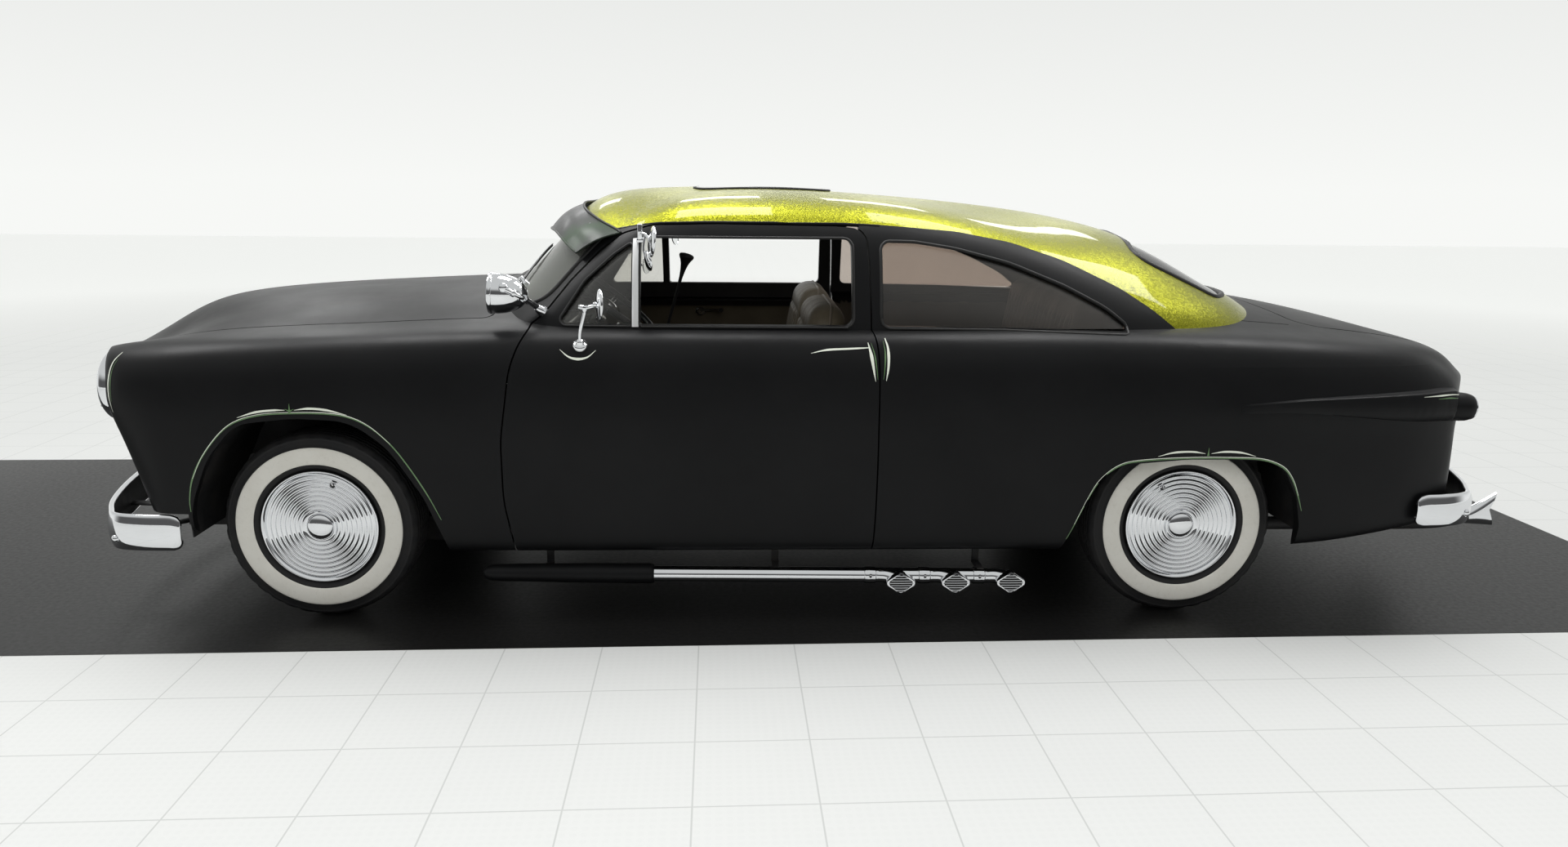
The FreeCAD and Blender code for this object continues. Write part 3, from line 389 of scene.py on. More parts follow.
def gold_flake():
    t = Tree("gold_flake_paint_fine")
    v = t.node("ShaderNodeTexVoronoi", {"Vector": t.coord, "Scale": 420.0, "Randomness": 1.0})
    v2 = t.node("ShaderNodeTexVoronoi", {"Vector": t.coord, "Scale": 150.0, "Randomness": 1.0})
    sep = t.node("ShaderNodeSeparateColor", {"Color": v.outputs["Color"]})
    base = t.ramp(t.noise(1.6, 3.0, 0.5), [(0.35, (0.190, 0.196, 0.0012)), (0.65, (0.242, 0.247, 0.0016))])
    bright = t.map(sep.outputs[0], 0.0, 1.0, 0.0, 0.55)
    col = t.mix(bright, t.mix(0.55, base, (0.062, 0.068, 0.001)), (0.37, 0.366, 0.005))
    off = t.node("ShaderNodeVectorMath", operation="SUBTRACT")
    t.put(off.inputs[0], v.outputs["Color"])
    off.inputs[1].default_value = (0.5, 0.5, 0.5)
    sc = t.node("ShaderNodeVectorMath", operation="SCALE")
    t.put(sc.inputs[0], off.outputs[0])
    sc.inputs["Scale"].default_value = 0.24
    off2 = t.node("ShaderNodeVectorMath", operation="SUBTRACT")
    t.put(off2.inputs[0], v2.outputs["Color"])
    off2.inputs[1].default_value = (0.5, 0.5, 0.5)
    sc2 = t.node("ShaderNodeVectorMath", operation="SCALE")
    t.put(sc2.inputs[0], off2.outputs[0])
    sc2.inputs["Scale"].default_value = 0.10
    geo = t.node("ShaderNodeNewGeometry")
    add = t.node("ShaderNodeVectorMath", operation="ADD")
    t.put(add.inputs[0], geo.outputs["Normal"])
    t.put(add.inputs[1], sc.outputs[0])
    add2 = t.node("ShaderNodeVectorMath", operation="ADD")
    t.put(add2.inputs[0], add.outputs[0])
    t.put(add2.inputs[1], sc2.outputs[0])
    nn = t.node("ShaderNodeVectorMath", operation="NORMALIZE")
    t.put(nn.inputs[0], add2.outputs[0])
    t.shader(Base_Color=col, Metallic=1.0, Roughness=t.map(sep.outputs[1], 0.0, 1.0, 0.30, 0.46), Normal=nn.outputs[0],
             Coat_Weight=0.42, Coat_Roughness=0.04, Coat_IOR=1.38,
             Coat_Normal=t.bump(t.noise(55.0, 2.0, 0.5), 0.03, 0.0008))
    return t.mat


def chrome(name="chrome_fine", tint=(0.80, 0.81, 0.83), rough=0.035, pits=0.0):
    t = Tree(name)
    n = t.noise(7.0, 6.0, 0.65)
    col = t.mix(t.map(n, 0.35, 0.75, 0.0, 0.35), tint, tuple(c * 0.86 for c in tint))
    r = t.map(t.noise(23.0, 5.0, 0.7), 0.35, 0.75, rough, rough + 0.05)
    t.shader(Base_Color=col, Metallic=1.0, Roughness=r, Normal=t.bump(t.noise(38.0, 3.0, 0.55), 0.04, 0.0004))
    return t.mat


def rubber(name, base=(0.012, 0.012, 0.013), dust=0.35, rough=(0.62, 0.82)):
    t = Tree(name)
    n = t.noise(14.0, 6.0, 0.65)
    col = t.mix(t.map(n, 0.4, 0.75, 0.0, dust), base, (0.040, 0.037, 0.033))
    t.shader(Base_Color=col, Roughness=t.map(n, 0.3, 0.7, rough[0], rough[1]),
             Normal=t.bump(t.noise(420.0, 3.0, 0.6), 0.25, 0.0004), Specular_IOR_Level=0.35)
    return t.mat


def whitewall():
    t = Tree("whitewall_rubber")
    n = t.noise(9.0, 6.0, 0.7)
    col = t.mix(t.map(n, 0.4, 0.8, 0.0, 0.5), (0.70, 0.685, 0.63), (0.56, 0.535, 0.47))
    col = t.mix(t.map(t.noise(70.0, 4.0, 0.7), 0.55, 0.8, 0.0, 0.35), col, (0.46, 0.43, 0.37))
    t.shader(Base_Color=col, Roughness=t.map(n, 0.3, 0.7, 0.50, 0.66), Specular_IOR_Level=0.4,
             Normal=t.bump(t.noise(260.0, 3.0, 0.6), 0.18, 0.0004))
    return t.mat


def glass(name, tint, gloss_rough=0.01, painted_brightness_film=0.0, reflect=0.9):
    """Tinted sheet: light goes straight through, and the surface reflects with Fresnel."""
    t = Tree(name)
    n = t.noise(3.0, 4.0, 0.6)
    col = t.mix(t.map(n, 0.35, 0.7, 0.0, 0.25), tint, tuple(c * 0.93 for c in tint))
    tr = t.node("ShaderNodeBsdfTransparent", {"Color": col})
    gl = t.node("ShaderNodeBsdfGlossy", {"Color": (reflect, reflect, reflect, 1.0)})
    t.put(gl.inputs["Roughness"], t.map(t.noise(18.0, 5.0, 0.7), 0.4, 0.75, gloss_rough, gloss_rough + 0.03))
    fr = t.node("ShaderNodeFresnel")
    fr.inputs["IOR"].default_value = 1.5
    m = t.node("ShaderNodeMixShader")
    t.put(m.inputs[0], fr.outputs[0])
    t.t.links.new(tr.outputs[0], m.inputs[1])
    t.t.links.new(gl.outputs[0], m.inputs[2])
    # painted brightness: a pale diffuse film mixed into the glass lightens it in place of the bright hall seen in it
    if painted_brightness_film:
        painted_brightness_bsdf = t.node("ShaderNodeBsdfDiffuse", {"Color": (0.62, 0.62, 0.58, 1.0)})
        m2 = t.node("ShaderNodeMixShader")
        t.put(m2.inputs[0], t.map(t.noise(6.0, 6.0, 0.65), 0.3, 0.7, painted_brightness_film * 0.75, painted_brightness_film * 1.25))
        t.t.links.new(m.outputs[0], m2.inputs[1])
        t.t.links.new(painted_brightness_bsdf.outputs[0], m2.inputs[2])
        m = m2
    t.t.links.new(m.outputs[0], t.out.inputs["Surface"])
    return t.mat


def leather(name, base, dark, scale=1.0):
    t = Tree(name)
    n = t.noise(6.0 * scale, 6.0, 0.65)
    col = t.mix(t.map(n, 0.35, 0.7, 0.0, 1.0), base, dark)
    v = t.node("ShaderNodeTexVoronoi", {"Vector": t.coord, "Scale": 520.0 * scale}, feature="DISTANCE_TO_EDGE")
    grain = t.map(v.outputs["Distance"], 0.0, 0.12, 0.0, 1.0)
    col = t.mix(t.map(grain, 0.0, 1.0, 0.35, 0.0), col, tuple(c * 0.55 for c in dark))
    b = t.bump(grain, 0.35, 0.0005, t.bump(n, 0.35, 0.003))
    t.shader(Base_Color=col, Roughness=t.map(n, 0.3, 0.7, 0.42, 0.58), Normal=b, Specular_IOR_Level=0.45)
    return t.mat


def carpet(name, a, b):
    t = Tree(name)
    n = t.noise(900.0, 3.0, 0.7)
    m = t.noise(14.0, 4.0, 0.6)
    col = t.mix(t.map(n, 0.3, 0.7, 0.0, 1.0), a, b)
    col = t.mix(t.map(m, 0.4, 0.7, 0.0, 0.4), col, tuple(c * 0.6 for c in a))
    t.shader(Base_Color=col, Roughness=0.92, Normal=t.bump(n, 0.8, 0.002), Sheen_Weight=0.35, Sheen_Roughness=0.5,
             Specular_IOR_Level=0.15)
    return t.mat


def headliner():
    t = Tree("headliner_cloth")
    w = t.node("ShaderNodeTexWave", {"Vector": t.coord, "Scale": 260.0, "Distortion": 0.4}, wave_type="BANDS",
               bands_direction="X")
    w2 = t.node("ShaderNodeTexWave", {"Vector": t.coord, "Scale": 260.0, "Distortion": 0.4}, wave_type="BANDS",
                bands_direction="Y")
    h = t.math("MULTIPLY", w.outputs["Fac"], w2.outputs["Fac"])
    col = t.mix(h, (0.030, 0.028, 0.026), (0.050, 0.047, 0.043))
    t.shader(Base_Color=col, Roughness=0.9, Normal=t.bump(h, 0.4, 0.0006), Sheen_Weight=0.2, Specular_IOR_Level=0.2)
    return t.mat


def chassis_black():
    t = Tree("chassis_black_fine")
    n = t.noise(11.0, 7.0, 0.7)
    geo = t.node("ShaderNodeNewGeometry")
    sep = t.node("ShaderNodeSeparateXYZ")
    t.put(sep.inputs[0], geo.outputs["Normal"])
    col = t.mix(t.map(n, 0.48, 0.78, 0.0, 0.7), (0.013, 0.013, 0.014), (0.060, 0.052, 0.044))
    t.shader(Base_Color=col, Roughness=t.map(n, 0.3, 0.7, 0.5, 0.8), Normal=t.bump(t.noise(190.0, 4.0, 0.65), 0.3, 0.0008))
    return t.mat


def cast_iron():
    t = Tree("engine_iron_fine")
    n = t.noise(17.0, 7.0, 0.7)
    col = t.mix(t.map(n, 0.4, 0.7, 0.0, 1.0), (0.10, 0.10, 0.10), (0.035, 0.030, 0.026))
    t.shader(Base_Color=col, Metallic=0.5, Roughness=t.map(n, 0.3, 0.7, 0.5, 0.75),
             Normal=t.bump(t.noise(330.0, 4.0, 0.7), 0.5, 0.001))
    return t.mat


def plastic(name, base, rough, grain=600.0, bump=0.12, coat=0.0, spec=0.5):
    t = Tree(name)
    n = t.noise(8.0, 5.0, 0.6)
    col = t.mix(t.map(n, 0.35, 0.7, 0.0, 0.5), base, tuple(c * 0.7 for c in base))
    t.shader(Base_Color=col, Roughness=t.map(n, 0.3, 0.7, rough, rough + 0.1), Coat_Weight=coat, Coat_Roughness=0.05,
             Normal=t.bump(t.noise(grain, 3.0, 0.6), bump, 0.0004), Specular_IOR_Level=spec)
    return t.mat


def red_lens():
    t = Tree("red_lens_fine")
    w = t.node("ShaderNodeTexWave", {"Vector": t.coord, "Scale": 95.0}, wave_type="BANDS", bands_direction="Z")
    w2 = t.node("ShaderNodeTexWave", {"Vector": t.coord, "Scale": 95.0}, wave_type="BANDS", bands_direction="Y")
    h = t.math("MAXIMUM", w.outputs["Fac"], w2.outputs["Fac"])
    col = t.mix(h, (0.30, 0.004, 0.006), (0.60, 0.012, 0.010))
    t.shader(Base_Color=col, Roughness=0.18, Normal=t.bump(h, 0.5, 0.001), Coat_Weight=1.0, Coat_Roughness=0.03,
             Subsurface_Weight=0.2, Subsurface_Scale=0.01)
    return t.mat


def lamp_glass():
    t = Tree("lamp_lens_glass")
    w = t.node("ShaderNodeTexWave", {"Vector": t.coord, "Scale": 42.0}, wave_type="BANDS", bands_direction="Y",
               wave_profile="SIN")
    w2 = t.node("ShaderNodeTexWave", {"Vector": t.coord, "Scale": 14.0}, wave_type="BANDS", bands_direction="Z")
    h = t.math("ADD", w.outputs["Fac"], t.math("MULTIPLY", w2.outputs["Fac"], 0.5))
    nrm = t.bump(h, 0.6, 0.002)
    tr = t.node("ShaderNodeBsdfTransparent", {"Color": (0.88, 0.92, 0.92, 1.0)})
    gl = t.node("ShaderNodeBsdfGlossy", {"Color": (0.95, 0.95, 0.95, 1.0), "Roughness": 0.06, "Normal": nrm})
    lw = t.node("ShaderNodeFresnel", {"Normal": nrm})
    lw.inputs["IOR"].default_value = 1.7
    f = t.map(lw.outputs[0], 0.0, 1.0, 0.22, 1.0)
    m = t.node("ShaderNodeMixShader")
    t.put(m.inputs[0], f)
    t.t.links.new(tr.outputs[0], m.inputs[1])
    t.t.links.new(gl.outputs[0], m.inputs[2])
    t.t.links.new(m.outputs[0], t.out.inputs["Surface"])
    return t.mat


def visor_plastic():
    t = Tree("visor_fade_plastic")
    sep = t.node("ShaderNodeSeparateXYZ")
    t.put(sep.inputs[0], t.coord)
    side = t.math("ABSOLUTE", sep.outputs["Y"])
    n = t.noise(16.0, 6.0, 0.7)
    s2 = t.math("ADD", side, t.map(n, 0.2, 0.8, -0.045, 0.045))
    col = t.ramp(t.map(s2, 0.30, 0.66, 0.0, 1.0), [(0.0, (0.018, 0.019, 0.019)), (0.62, (0.024, 0.026, 0.024)),
                                                 (0.80, (0.020, 0.050, 0.018)), (1.0, (0.008, 0.013, 0.008))])
    t.shader(Base_Color=col, Roughness=t.map(n, 0.3, 0.7, 0.36, 0.46), Coat_Weight=0.10, Coat_Roughness=0.20,
             Normal=t.bump(t.noise(80.0, 3.0, 0.5), 0.04, 0.0006), Specular_IOR_Level=0.26)
    return t.mat


def stripe_paint(name="pinstripe_enamel"):
    t = Tree(name)
    n = t.noise(30.0, 4.0, 0.6)
    col = t.ramp(n, [(0.40, (0.10, 0.21, 0.075)), (0.50, (0.36, 0.47, 0.30)), (0.60, (0.66, 0.70, 0.58))])
    t.shader(Base_Color=col, Roughness=t.map(n, 0.3, 0.7, 0.30, 0.42), Coat_Weight=0.4, Coat_Roughness=0.1,
             Normal=t.bump(t.noise(500.0, 2.0, 0.6), 0.12, 0.0002))
    return t.mat


def plain_stripe(name, a, b):
    t = Tree(name)
    n = t.noise(22.0, 4.0, 0.6)
    t.shader(Base_Color=t.mix(n, a, b), Roughness=t.map(n, 0.3, 0.7, 0.30, 0.42), Coat_Weight=0.4, Coat_Roughness=0.1,
             Normal=t.bump(t.noise(500.0, 2.0, 0.6), 0.12, 0.0002))
    return t.mat


M = {
    "black": matte_black(),
    "gold": gold_flake(),
    "chrome": chrome(),
    "steel": chrome("bare_steel_fine", (0.52, 0.52, 0.53), 0.22),
    "alu": chrome("satin_aluminium_fine", (0.95, 0.955, 0.96), 0.46),
    "rubber": rubber("tyre_rubber"),
    "gasket": rubber("gasket_rubber", (0.010, 0.010, 0.010), 0.15, (0.42, 0.58)),
    "white": whitewall(),
    "clear": glass("clear_glass_fine", (0.74, 0.77, 0.73), painted_brightness_film=0.12),
    "rear": glass("rear_glass_fine", (0.42, 0.44, 0.43)),
    "bronze": glass("bronze_glass_fine", (0.75, 0.70, 0.665), painted_brightness_film=0.015),
    "vent": glass("vent_glass_fine", (0.87, 0.865, 0.845), painted_brightness_film=0.012),
    "dark": plastic("sunroof_dark_glass", (0.012, 0.013, 0.013), 0.05, 60.0, 0.02, 1.0),
    "visor": visor_plastic(),
    "tan": leather("tan_leather_fine", (0.105, 0.087, 0.058), (0.076, 0.062, 0.041)),
    "brown": leather("brown_leather_fine", (0.135, 0.112, 0.084), (0.095, 0.078, 0.058)),
    "vinyl": leather("black_vinyl_fine", (0.020, 0.019, 0.018), (0.012, 0.011, 0.011)),
    "carpet": carpet("carpet_fine", (0.060, 0.048, 0.038), (0.025, 0.020, 0.017)),
    "liner": headliner(),
    "chassis": chassis_black(),
    "iron": cast_iron(),
    "plastic": plastic("black_plastic_fine", (0.014, 0.014, 0.015), 0.32, 500.0, 0.10),
    "enamel": plastic("dash_enamel_fine", (0.016, 0.016, 0.017), 0.20, 90.0, 0.03, 0.6),
    "red": red_lens(),
    "lamp": lamp_glass(),
    "mirror": chrome("mirror_silver", (0.88, 0.90, 0.90), 0.005),
    "stripe": stripe_paint(),
    "stripe_white": plain_stripe("pinstripe_white", (0.62, 0.66, 0.56), (0.72, 0.74, 0.66)),
    "stripe_green": plain_stripe("pinstripe_green", (0.050, 0.125, 0.038), (0.115, 0.205, 0.085)),
    "dial": plastic("dial_face_cream", (0.55, 0.52, 0.42), 0.35, 200.0, 0.03, 0.5),
}

LOOK = {
    "roof": "gold", "windshield": "clear", "rear_window": "rear", "quarter_windows": "bronze",
    "vent_window_left": "vent", "vent_window_right": "vent", "sunroof": "dark", "sun_visor": "visor",
    "front_seat": "tan", "rear_seat": "brown", "door_card_left": "tan", "door_card_right": "tan",
    "engine_and_radiator": "iron", "driveline": "iron", "tail_lights": "red", "steering_wheel": "plastic",
    "dashboard_and_column": "enamel", "shift_lever": "plastic", "parcel_shelf": "carpet",
    "tail_pipes": "chrome", "spotlights": "chrome", "lake_pipes": "chrome", "grille_bars": "chrome",
    "front_bumper": "chrome", "rear_bumper": "chrome", "headlights": "chrome", "door_mirror_left": "chrome",
    "door_mirror_right": "chrome",
}
for n_ in ("chassis_frame", "floor_pan", "fuel_tank", "front_suspension", "rear_axle_and_springs", "plate_bracket",
           "inner_fenders", "wheelhouses", "knuckle_left", "knuckle_right"):
    LOOK[n_] = "chassis"


def set_look(node, key):
    ob = NODES[node]
    ob.data.materials.clear()
    ob.data.materials.append(M[key])


for n_ in NODES:
    key = LOOK.get(n_, "black")
    if n_.startswith("tyre"):
        key = "rubber"
    if n_.startswith("wheel_"):
        key = "chrome"
    set_look(n_, key)


def inner_look(node, key, test):
    """Faces of a CAD node that pass the test get a second material slot."""
    ob = NODES[node]
    me = ob.data
    me.materials.append(M[key])
    k = len(me.materials) - 1
    idx = [0] * len(me.polygons)
    me.polygons.foreach_get("material_index", idx)
    for p in me.polygons:
        if test(p.center, p.normal):
            idx[p.index] = k
    me.polygons.foreach_set("material_index", idx)


MID = Vector((SX + 0.1, 0, 0.95))
inner_look("roof", "liner", lambda c, n: n.dot(c - MID) < 0)
inner_look("windshield_frame", "liner", lambda c, n: n.dot(c - MID) < 0)
for side_ in ("left", "right"):
    inner_look("quarter_panel_" + side_, "vinyl", lambda c, n: n.y * c.y < -0.25 * abs(c.y) and c.x < SX + 1.32 and c.z > 0.45)
    inner_look("quarter_panel_" + side_, "brown",
               lambda c, n: n.y * c.y < -0.25 * abs(c.y) and c.x < SX + 1.32 and 0.45 < c.z < 0.90)
    inner_look("door_" + side_, "vinyl", lambda c, n: n.y * c.y < -0.25 * abs(c.y) and c.z > 0.93)
inner_look("floor_pan", "carpet", lambda c, n: n.z > 0.5 and c.z > 0.255)

# ------------------------------------------------------------------ body surface for things drawn on it
SKINS = {}


def skin(names):
    key = tuple(names)
    if key not in SKINS:
        verts, polys = [], []
        for nm in names:
            me = NODES[nm].data
            base = len(verts)
            verts += [v.co.copy() for v in me.vertices]
            polys += [tuple(base + i for i in p.vertices) for p in me.polygons]
        SKINS[key] = BVHTree.FromPolygons(verts, polys)
    return SKINS[key]


LEFT = ["front_fender_left", "door_left", "quarter_panel_left", "cowl_and_firewall", "windshield_frame", "roof",
        "vent_window_left", "quarter_windows", "trunk_lid", "upper_back_panel", "hood", "grille_panel", "rear_panel"]


def on_side(x, z, names=LEFT, lift=0.001):
    """Point of the left side of the body at (x, z) of the calibration frame, lifted off it, with the normal."""
    hit, nrm, _, _ = skin(names).ray_cast(Vector((x + SX, -1.4, z)), Vector((0, 1, 0)))
    if hit is None:
        return None, None
    if nrm.y > 0:
        nrm = -nrm
    p = hit + nrm * lift
    return Vector((p.x - SX, p.y, p.z)), nrm


def on_top(x, y, names=LEFT, lift=0.001):
    hit, nrm, _, _ = skin(names).ray_cast(Vector((x + SX, y, 2.0)), Vector((0, 0, -1)))
    if hit is None:
        return None, None
    if nrm.z < 0:
        nrm = -nrm
    p = hit + nrm * lift
    return Vector((p.x - SX, p.y, p.z)), nrm


def stroke(name, line, widths, mat, names=LEFT, count=60, lift=0.0012, caster=on_side, smooth=True):
    """Painted brush line: a ribbon on the body along (x, z) points, with a width at each."""
    pts2 = [Vector((a, b, 0)) for a, b in line]
    pts2 = even_path(smooth_path(pts2, 10) if smooth else pts2, count)
    verts, faces = [], []
    rows = []
    for i, p in enumerate(pts2):
        d = (pts2[min(i + 1, count - 1)] - pts2[max(i - 1, 0)]).normalized()
        w = table(widths, i / (count - 1)) / 2
        nx, nz = -d.y, d.x
        row = []
        for s in (-1, 0, 1):
            q, _ = caster(p.x + nx * w * s, p.y + nz * w * s, names, lift)
            if q is None:
                row = None
                break
            row.append(q)
        rows.append(row)
    ids = []
    for row in rows:
        if row is None:
            ids.append(None)
            continue
        ids.append(len(verts))
        verts += row
    for a, b in zip(ids[:-1], ids[1:]):
        if a is None or b is None:
            continue
        for k in (0, 1):
            if (verts[a + k] - verts[b + k]).length < 0.05:
                faces.append((a + k, a + k + 1, b + k + 1, b + k))
    if not faces:
        return None
    return mesh_obj(name, verts, faces, mat)


PIECES = []


def piece(ob, body, *replaced, slot=None):
    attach(ob, body)
    if replaced:
        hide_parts(*replaced)
    PIECES.append(ob)
    return ob


# ------------------------------------------------------------------ camera
def make_camera():
    yaw, pitch, roll = 0.043113, 0.218863, 0.0108645
    right = Vector((math.cos(yaw), -math.sin(yaw), 0))
    ahead = Vector((math.sin(yaw), math.cos(yaw), 0))
    z = Vector((0, 0, 1))
    fwd = ahead * math.cos(pitch) - z * math.sin(pitch)
    up = ahead * math.sin(pitch) + z * math.cos(pitch)
    r2 = right * math.cos(roll) + up * math.sin(roll)
    u2 = up * math.cos(roll) - right * math.sin(roll)
    cam = bpy.data.cameras.new("camera")
    cam.sensor_fit = "HORIZONTAL"
    cam.sensor_width = 36.0
    cam.lens = 1320.322 / 1920 * 36.0
    ob = bpy.data.objects.new("camera", cam)
    bpy.context.scene.collection.objects.link(ob)
    m = Matrix.Identity(4)
    for i in range(3):
        m[i][0], m[i][1], m[i][2] = r2[i], u2[i], -fwd[i]
    m.translation = Vector((-0.06454 + SX, -4.26512, 1.44379))
    ob.matrix_world = m
    bpy.context.scene.camera = ob


make_camera()


# ------------------------------------------------------------------ stage and light
def make_stage():
    n = 48
    verts, faces = [], []
    for j in range(n + 1):
        for i in range(n + 1):
            verts.append((lerp(-24, 24, i / n), lerp(-24, 24, j / n), -0.0004))
    for j in range(n):
        for i in range(n):
            a = j * (n + 1) + i
            faces.append((a, a + 1, a + n + 2, a + n + 1))
    t = Tree("floor_pale")
    m = t.noise(0.35, 3.0, 0.5)
    f = t.noise(60.0, 5.0, 0.6)
    col = t.mix(t.map(m, 0.3, 0.7, 0.0, 1.0), (0.74, 0.745, 0.73), (0.69, 0.695, 0.685))
    # painted light: from 3.5 m out the floor turns paler and glows, so it stays bright where the lamps' light falls off
    ln = t.node("ShaderNodeVectorMath", operation="LENGTH")
    t.put(ln.inputs[0], t.coord)
    far_painted_glow = t.map(ln.outputs["Value"], 3.5, 13.0, 0.0, 1.0)
    col = t.mix(far_painted_glow, col, (0.86, 0.865, 0.85))
    xyz = t.node("ShaderNodeSeparateXYZ")
    t.put(xyz.inputs[0], t.coord)
    u = t.math("ADD", xyz.outputs["X"], t.math("MULTIPLY", xyz.outputs["Y"], 0.0193))
    v = t.math("SUBTRACT", xyz.outputs["Y"], t.math("MULTIPLY", xyz.outputs["X"], 0.0193))
    seam_u = t.map(t.math("PINGPONG", t.math("SUBTRACT", u, 0.217), 0.1525), 0.0012, 0.0030, 1.0, 0.0)
    seam_v = t.map(t.math("PINGPONG", t.math("SUBTRACT", v, -1.040), 0.1525), 0.0012, 0.0030, 1.0, 0.0)
    seam = t.math("MAXIMUM", seam_u, seam_v)
    du, dv = t.math("PINGPONG", u, 0.0127), t.math("PINGPONG", v, 0.0127)
    rr = t.math("SQRT", t.math("ADD", t.math("MULTIPLY", du, du), t.math("MULTIPLY", dv, dv)))
    coin = t.map(rr, 0.0075, 0.0095, 1.0, 0.0)
    col = t.mix(t.map(seam, 0.0, 1.0, 0.0, 0.42), col, (0.30, 0.31, 0.30))
    col = t.mix(t.map(coin, 0.0, 1.0, 0.0, 0.05), col, (0.50, 0.51, 0.50))
    in_v = t.math("MULTIPLY", t.math("GREATER_THAN", v, -1.040), t.math("LESS_THAN", v, 1.400))
    strip = t.math("MULTIPLY", in_v, t.math("LESS_THAN", u, 3.267))
    dark = t.mix(t.map(seam, 0.0, 1.0, 0.0, 0.5), t.mix(t.map(m, 0.3, 0.7, 0.0, 1.0), (0.0060, 0.0059, 0.0058), (0.0090, 0.0087, 0.0086)),
                 (0.003, 0.003, 0.003))
    col = t.mix(strip, col, dark)
    t.shader(Base_Color=col, Roughness=t.mix_value(strip, t.map(f, 0.3, 0.7, 0.45, 0.6), t.map(f, 0.3, 0.7, 0.34, 0.46)),
             Normal=t.bump(coin, 0.10, 0.0006, t.bump(f, 0.05, 0.001)), Specular_IOR_Level=0.25,
             Emission_Color=(0.90, 0.91, 0.89), Emission_Strength=t.map(far_painted_glow, 0.0, 1.0, 0.0, 0.34))
    floor = mesh_obj("floor", verts, faces, t.mat, shift=False)
    w = bpy.data.worlds.new("studio")
    bpy.context.scene.world = w
    w.use_nodes = True
    nt = w.node_tree
    nt.nodes.clear()
    out = nt.nodes.new("ShaderNodeOutputWorld")
    bg = nt.nodes.new("ShaderNodeBackground")
    tc = nt.nodes.new("ShaderNodeTexCoord")
    sep = nt.nodes.new("ShaderNodeSeparateXYZ")
    ramp = nt.nodes.new("ShaderNodeValToRGB")
    nt.links.new(tc.outputs["Generated"], sep.inputs[0])
    nt.links.new(sep.outputs["Z"], ramp.inputs["Fac"])
    e = ramp.color_ramp.elements
    e[0].position, e[0].color = 0.0, (0.93, 0.94, 0.92, 1)
    e[1].position, e[1].color = 0.42, (0.66, 0.67, 0.66, 1)

    def nd(kind, **props):
        n = nt.nodes.new(kind)
        for k, v in props.items():
            setattr(n, k, v)
        return n

    # the hall's open side, behind the viewer, is darker up to the height of the lamps
    near = nd("ShaderNodeMapRange", interpolation_type="SMOOTHSTEP")
    for k, v in (("From Min", -0.05), ("From Max", -0.55), ("To Min", 0.0), ("To Max", 1.0)):
        near.inputs[k].default_value = v
    nt.links.new(sep.outputs["Y"], near.inputs["Value"])
    low = nd("ShaderNodeMapRange", interpolation_type="SMOOTHSTEP")
    for k, v in (("From Min", 0.22), ("From Max", 0.55), ("To Min", 1.0), ("To Max", 0.0)):
        low.inputs[k].default_value = v
    nt.links.new(sep.outputs["Z"], low.inputs["Value"])
    both = nd("ShaderNodeMath", operation="MULTIPLY")
    nt.links.new(near.outputs["Result"], both.inputs[0])
    nt.links.new(low.outputs["Result"], both.inputs[1])
    mix = nd("ShaderNodeMix", data_type="RGBA")
    nt.links.new(both.outputs[0], mix.inputs[0])
    nt.links.new(ramp.outputs["Color"], mix.inputs[6])
    mix.inputs[7].default_value = (0.10, 0.10, 0.10, 1)
    nt.links.new(mix.outputs[2], bg.inputs["Color"])
    bg.inputs["Strength"].default_value = 1.0
    nt.links.new(bg.outputs[0], out.inputs["Surface"])

    def area(name, loc, target, size, energy, color=(1, 1, 1)):
        li = bpy.data.lights.new(name, "AREA")
        li.shape = "RECTANGLE"
        li.size, li.size_y = size
        li.energy = energy
        li.color = color
        o = bpy.data.objects.new(name, li)
        bpy.context.scene.collection.objects.link(o)
        o.location = loc
        d = Vector(target) - Vector(loc)
        o.rotation_euler = d.to_track_quat("-Z", "Y").to_euler()
        return o

    # two rows of ceiling panels that show in the paint and glass, and soft lights for the surfaces
    for i, (x, sx) in enumerate(((-4.1, 1.0), (-2.15, 1.0), (-0.32, 1.0), (1.55, 1.15), (3.45, 1.05))):
        for o in (area("panel_a%d" % i, (SX + x, 0.45, 4.2), (SX + x, 0.45, 0), (sx, 1.25), 58),
                  area("panel_b%d" % i, (SX + x - 0.1, 5.0, 4.2), (SX + x - 0.1, 5.0, 0), (sx + 0.1, 1.5), 44)):
            o.visible_diffuse = False
    for nm, loc, target, size, energy in (("soft_top", (SX, 0.0, 6.0), (SX, 0, 0), (9.0, 6.0), 330),
                                          ("soft_front", (SX - 1.0, -6.5, 4.0), (SX, 0, 0.3), (7.0, 3.0), 110),
                                          ("soft_cabin", (SX + 0.15, 0.0, 1.34), (SX + 0.15, 0, 0.5), (0.7, 0.5), 1.9)):
        o = area(nm, loc, target, size, energy)
        o.visible_glossy = False
        o.visible_camera = False


make_stage()
bpy.context.scene.view_settings.view_transform = "Standard"
bpy.context.scene.view_settings.look = "None"
bpy.context.scene.view_settings.exposure = 0.0


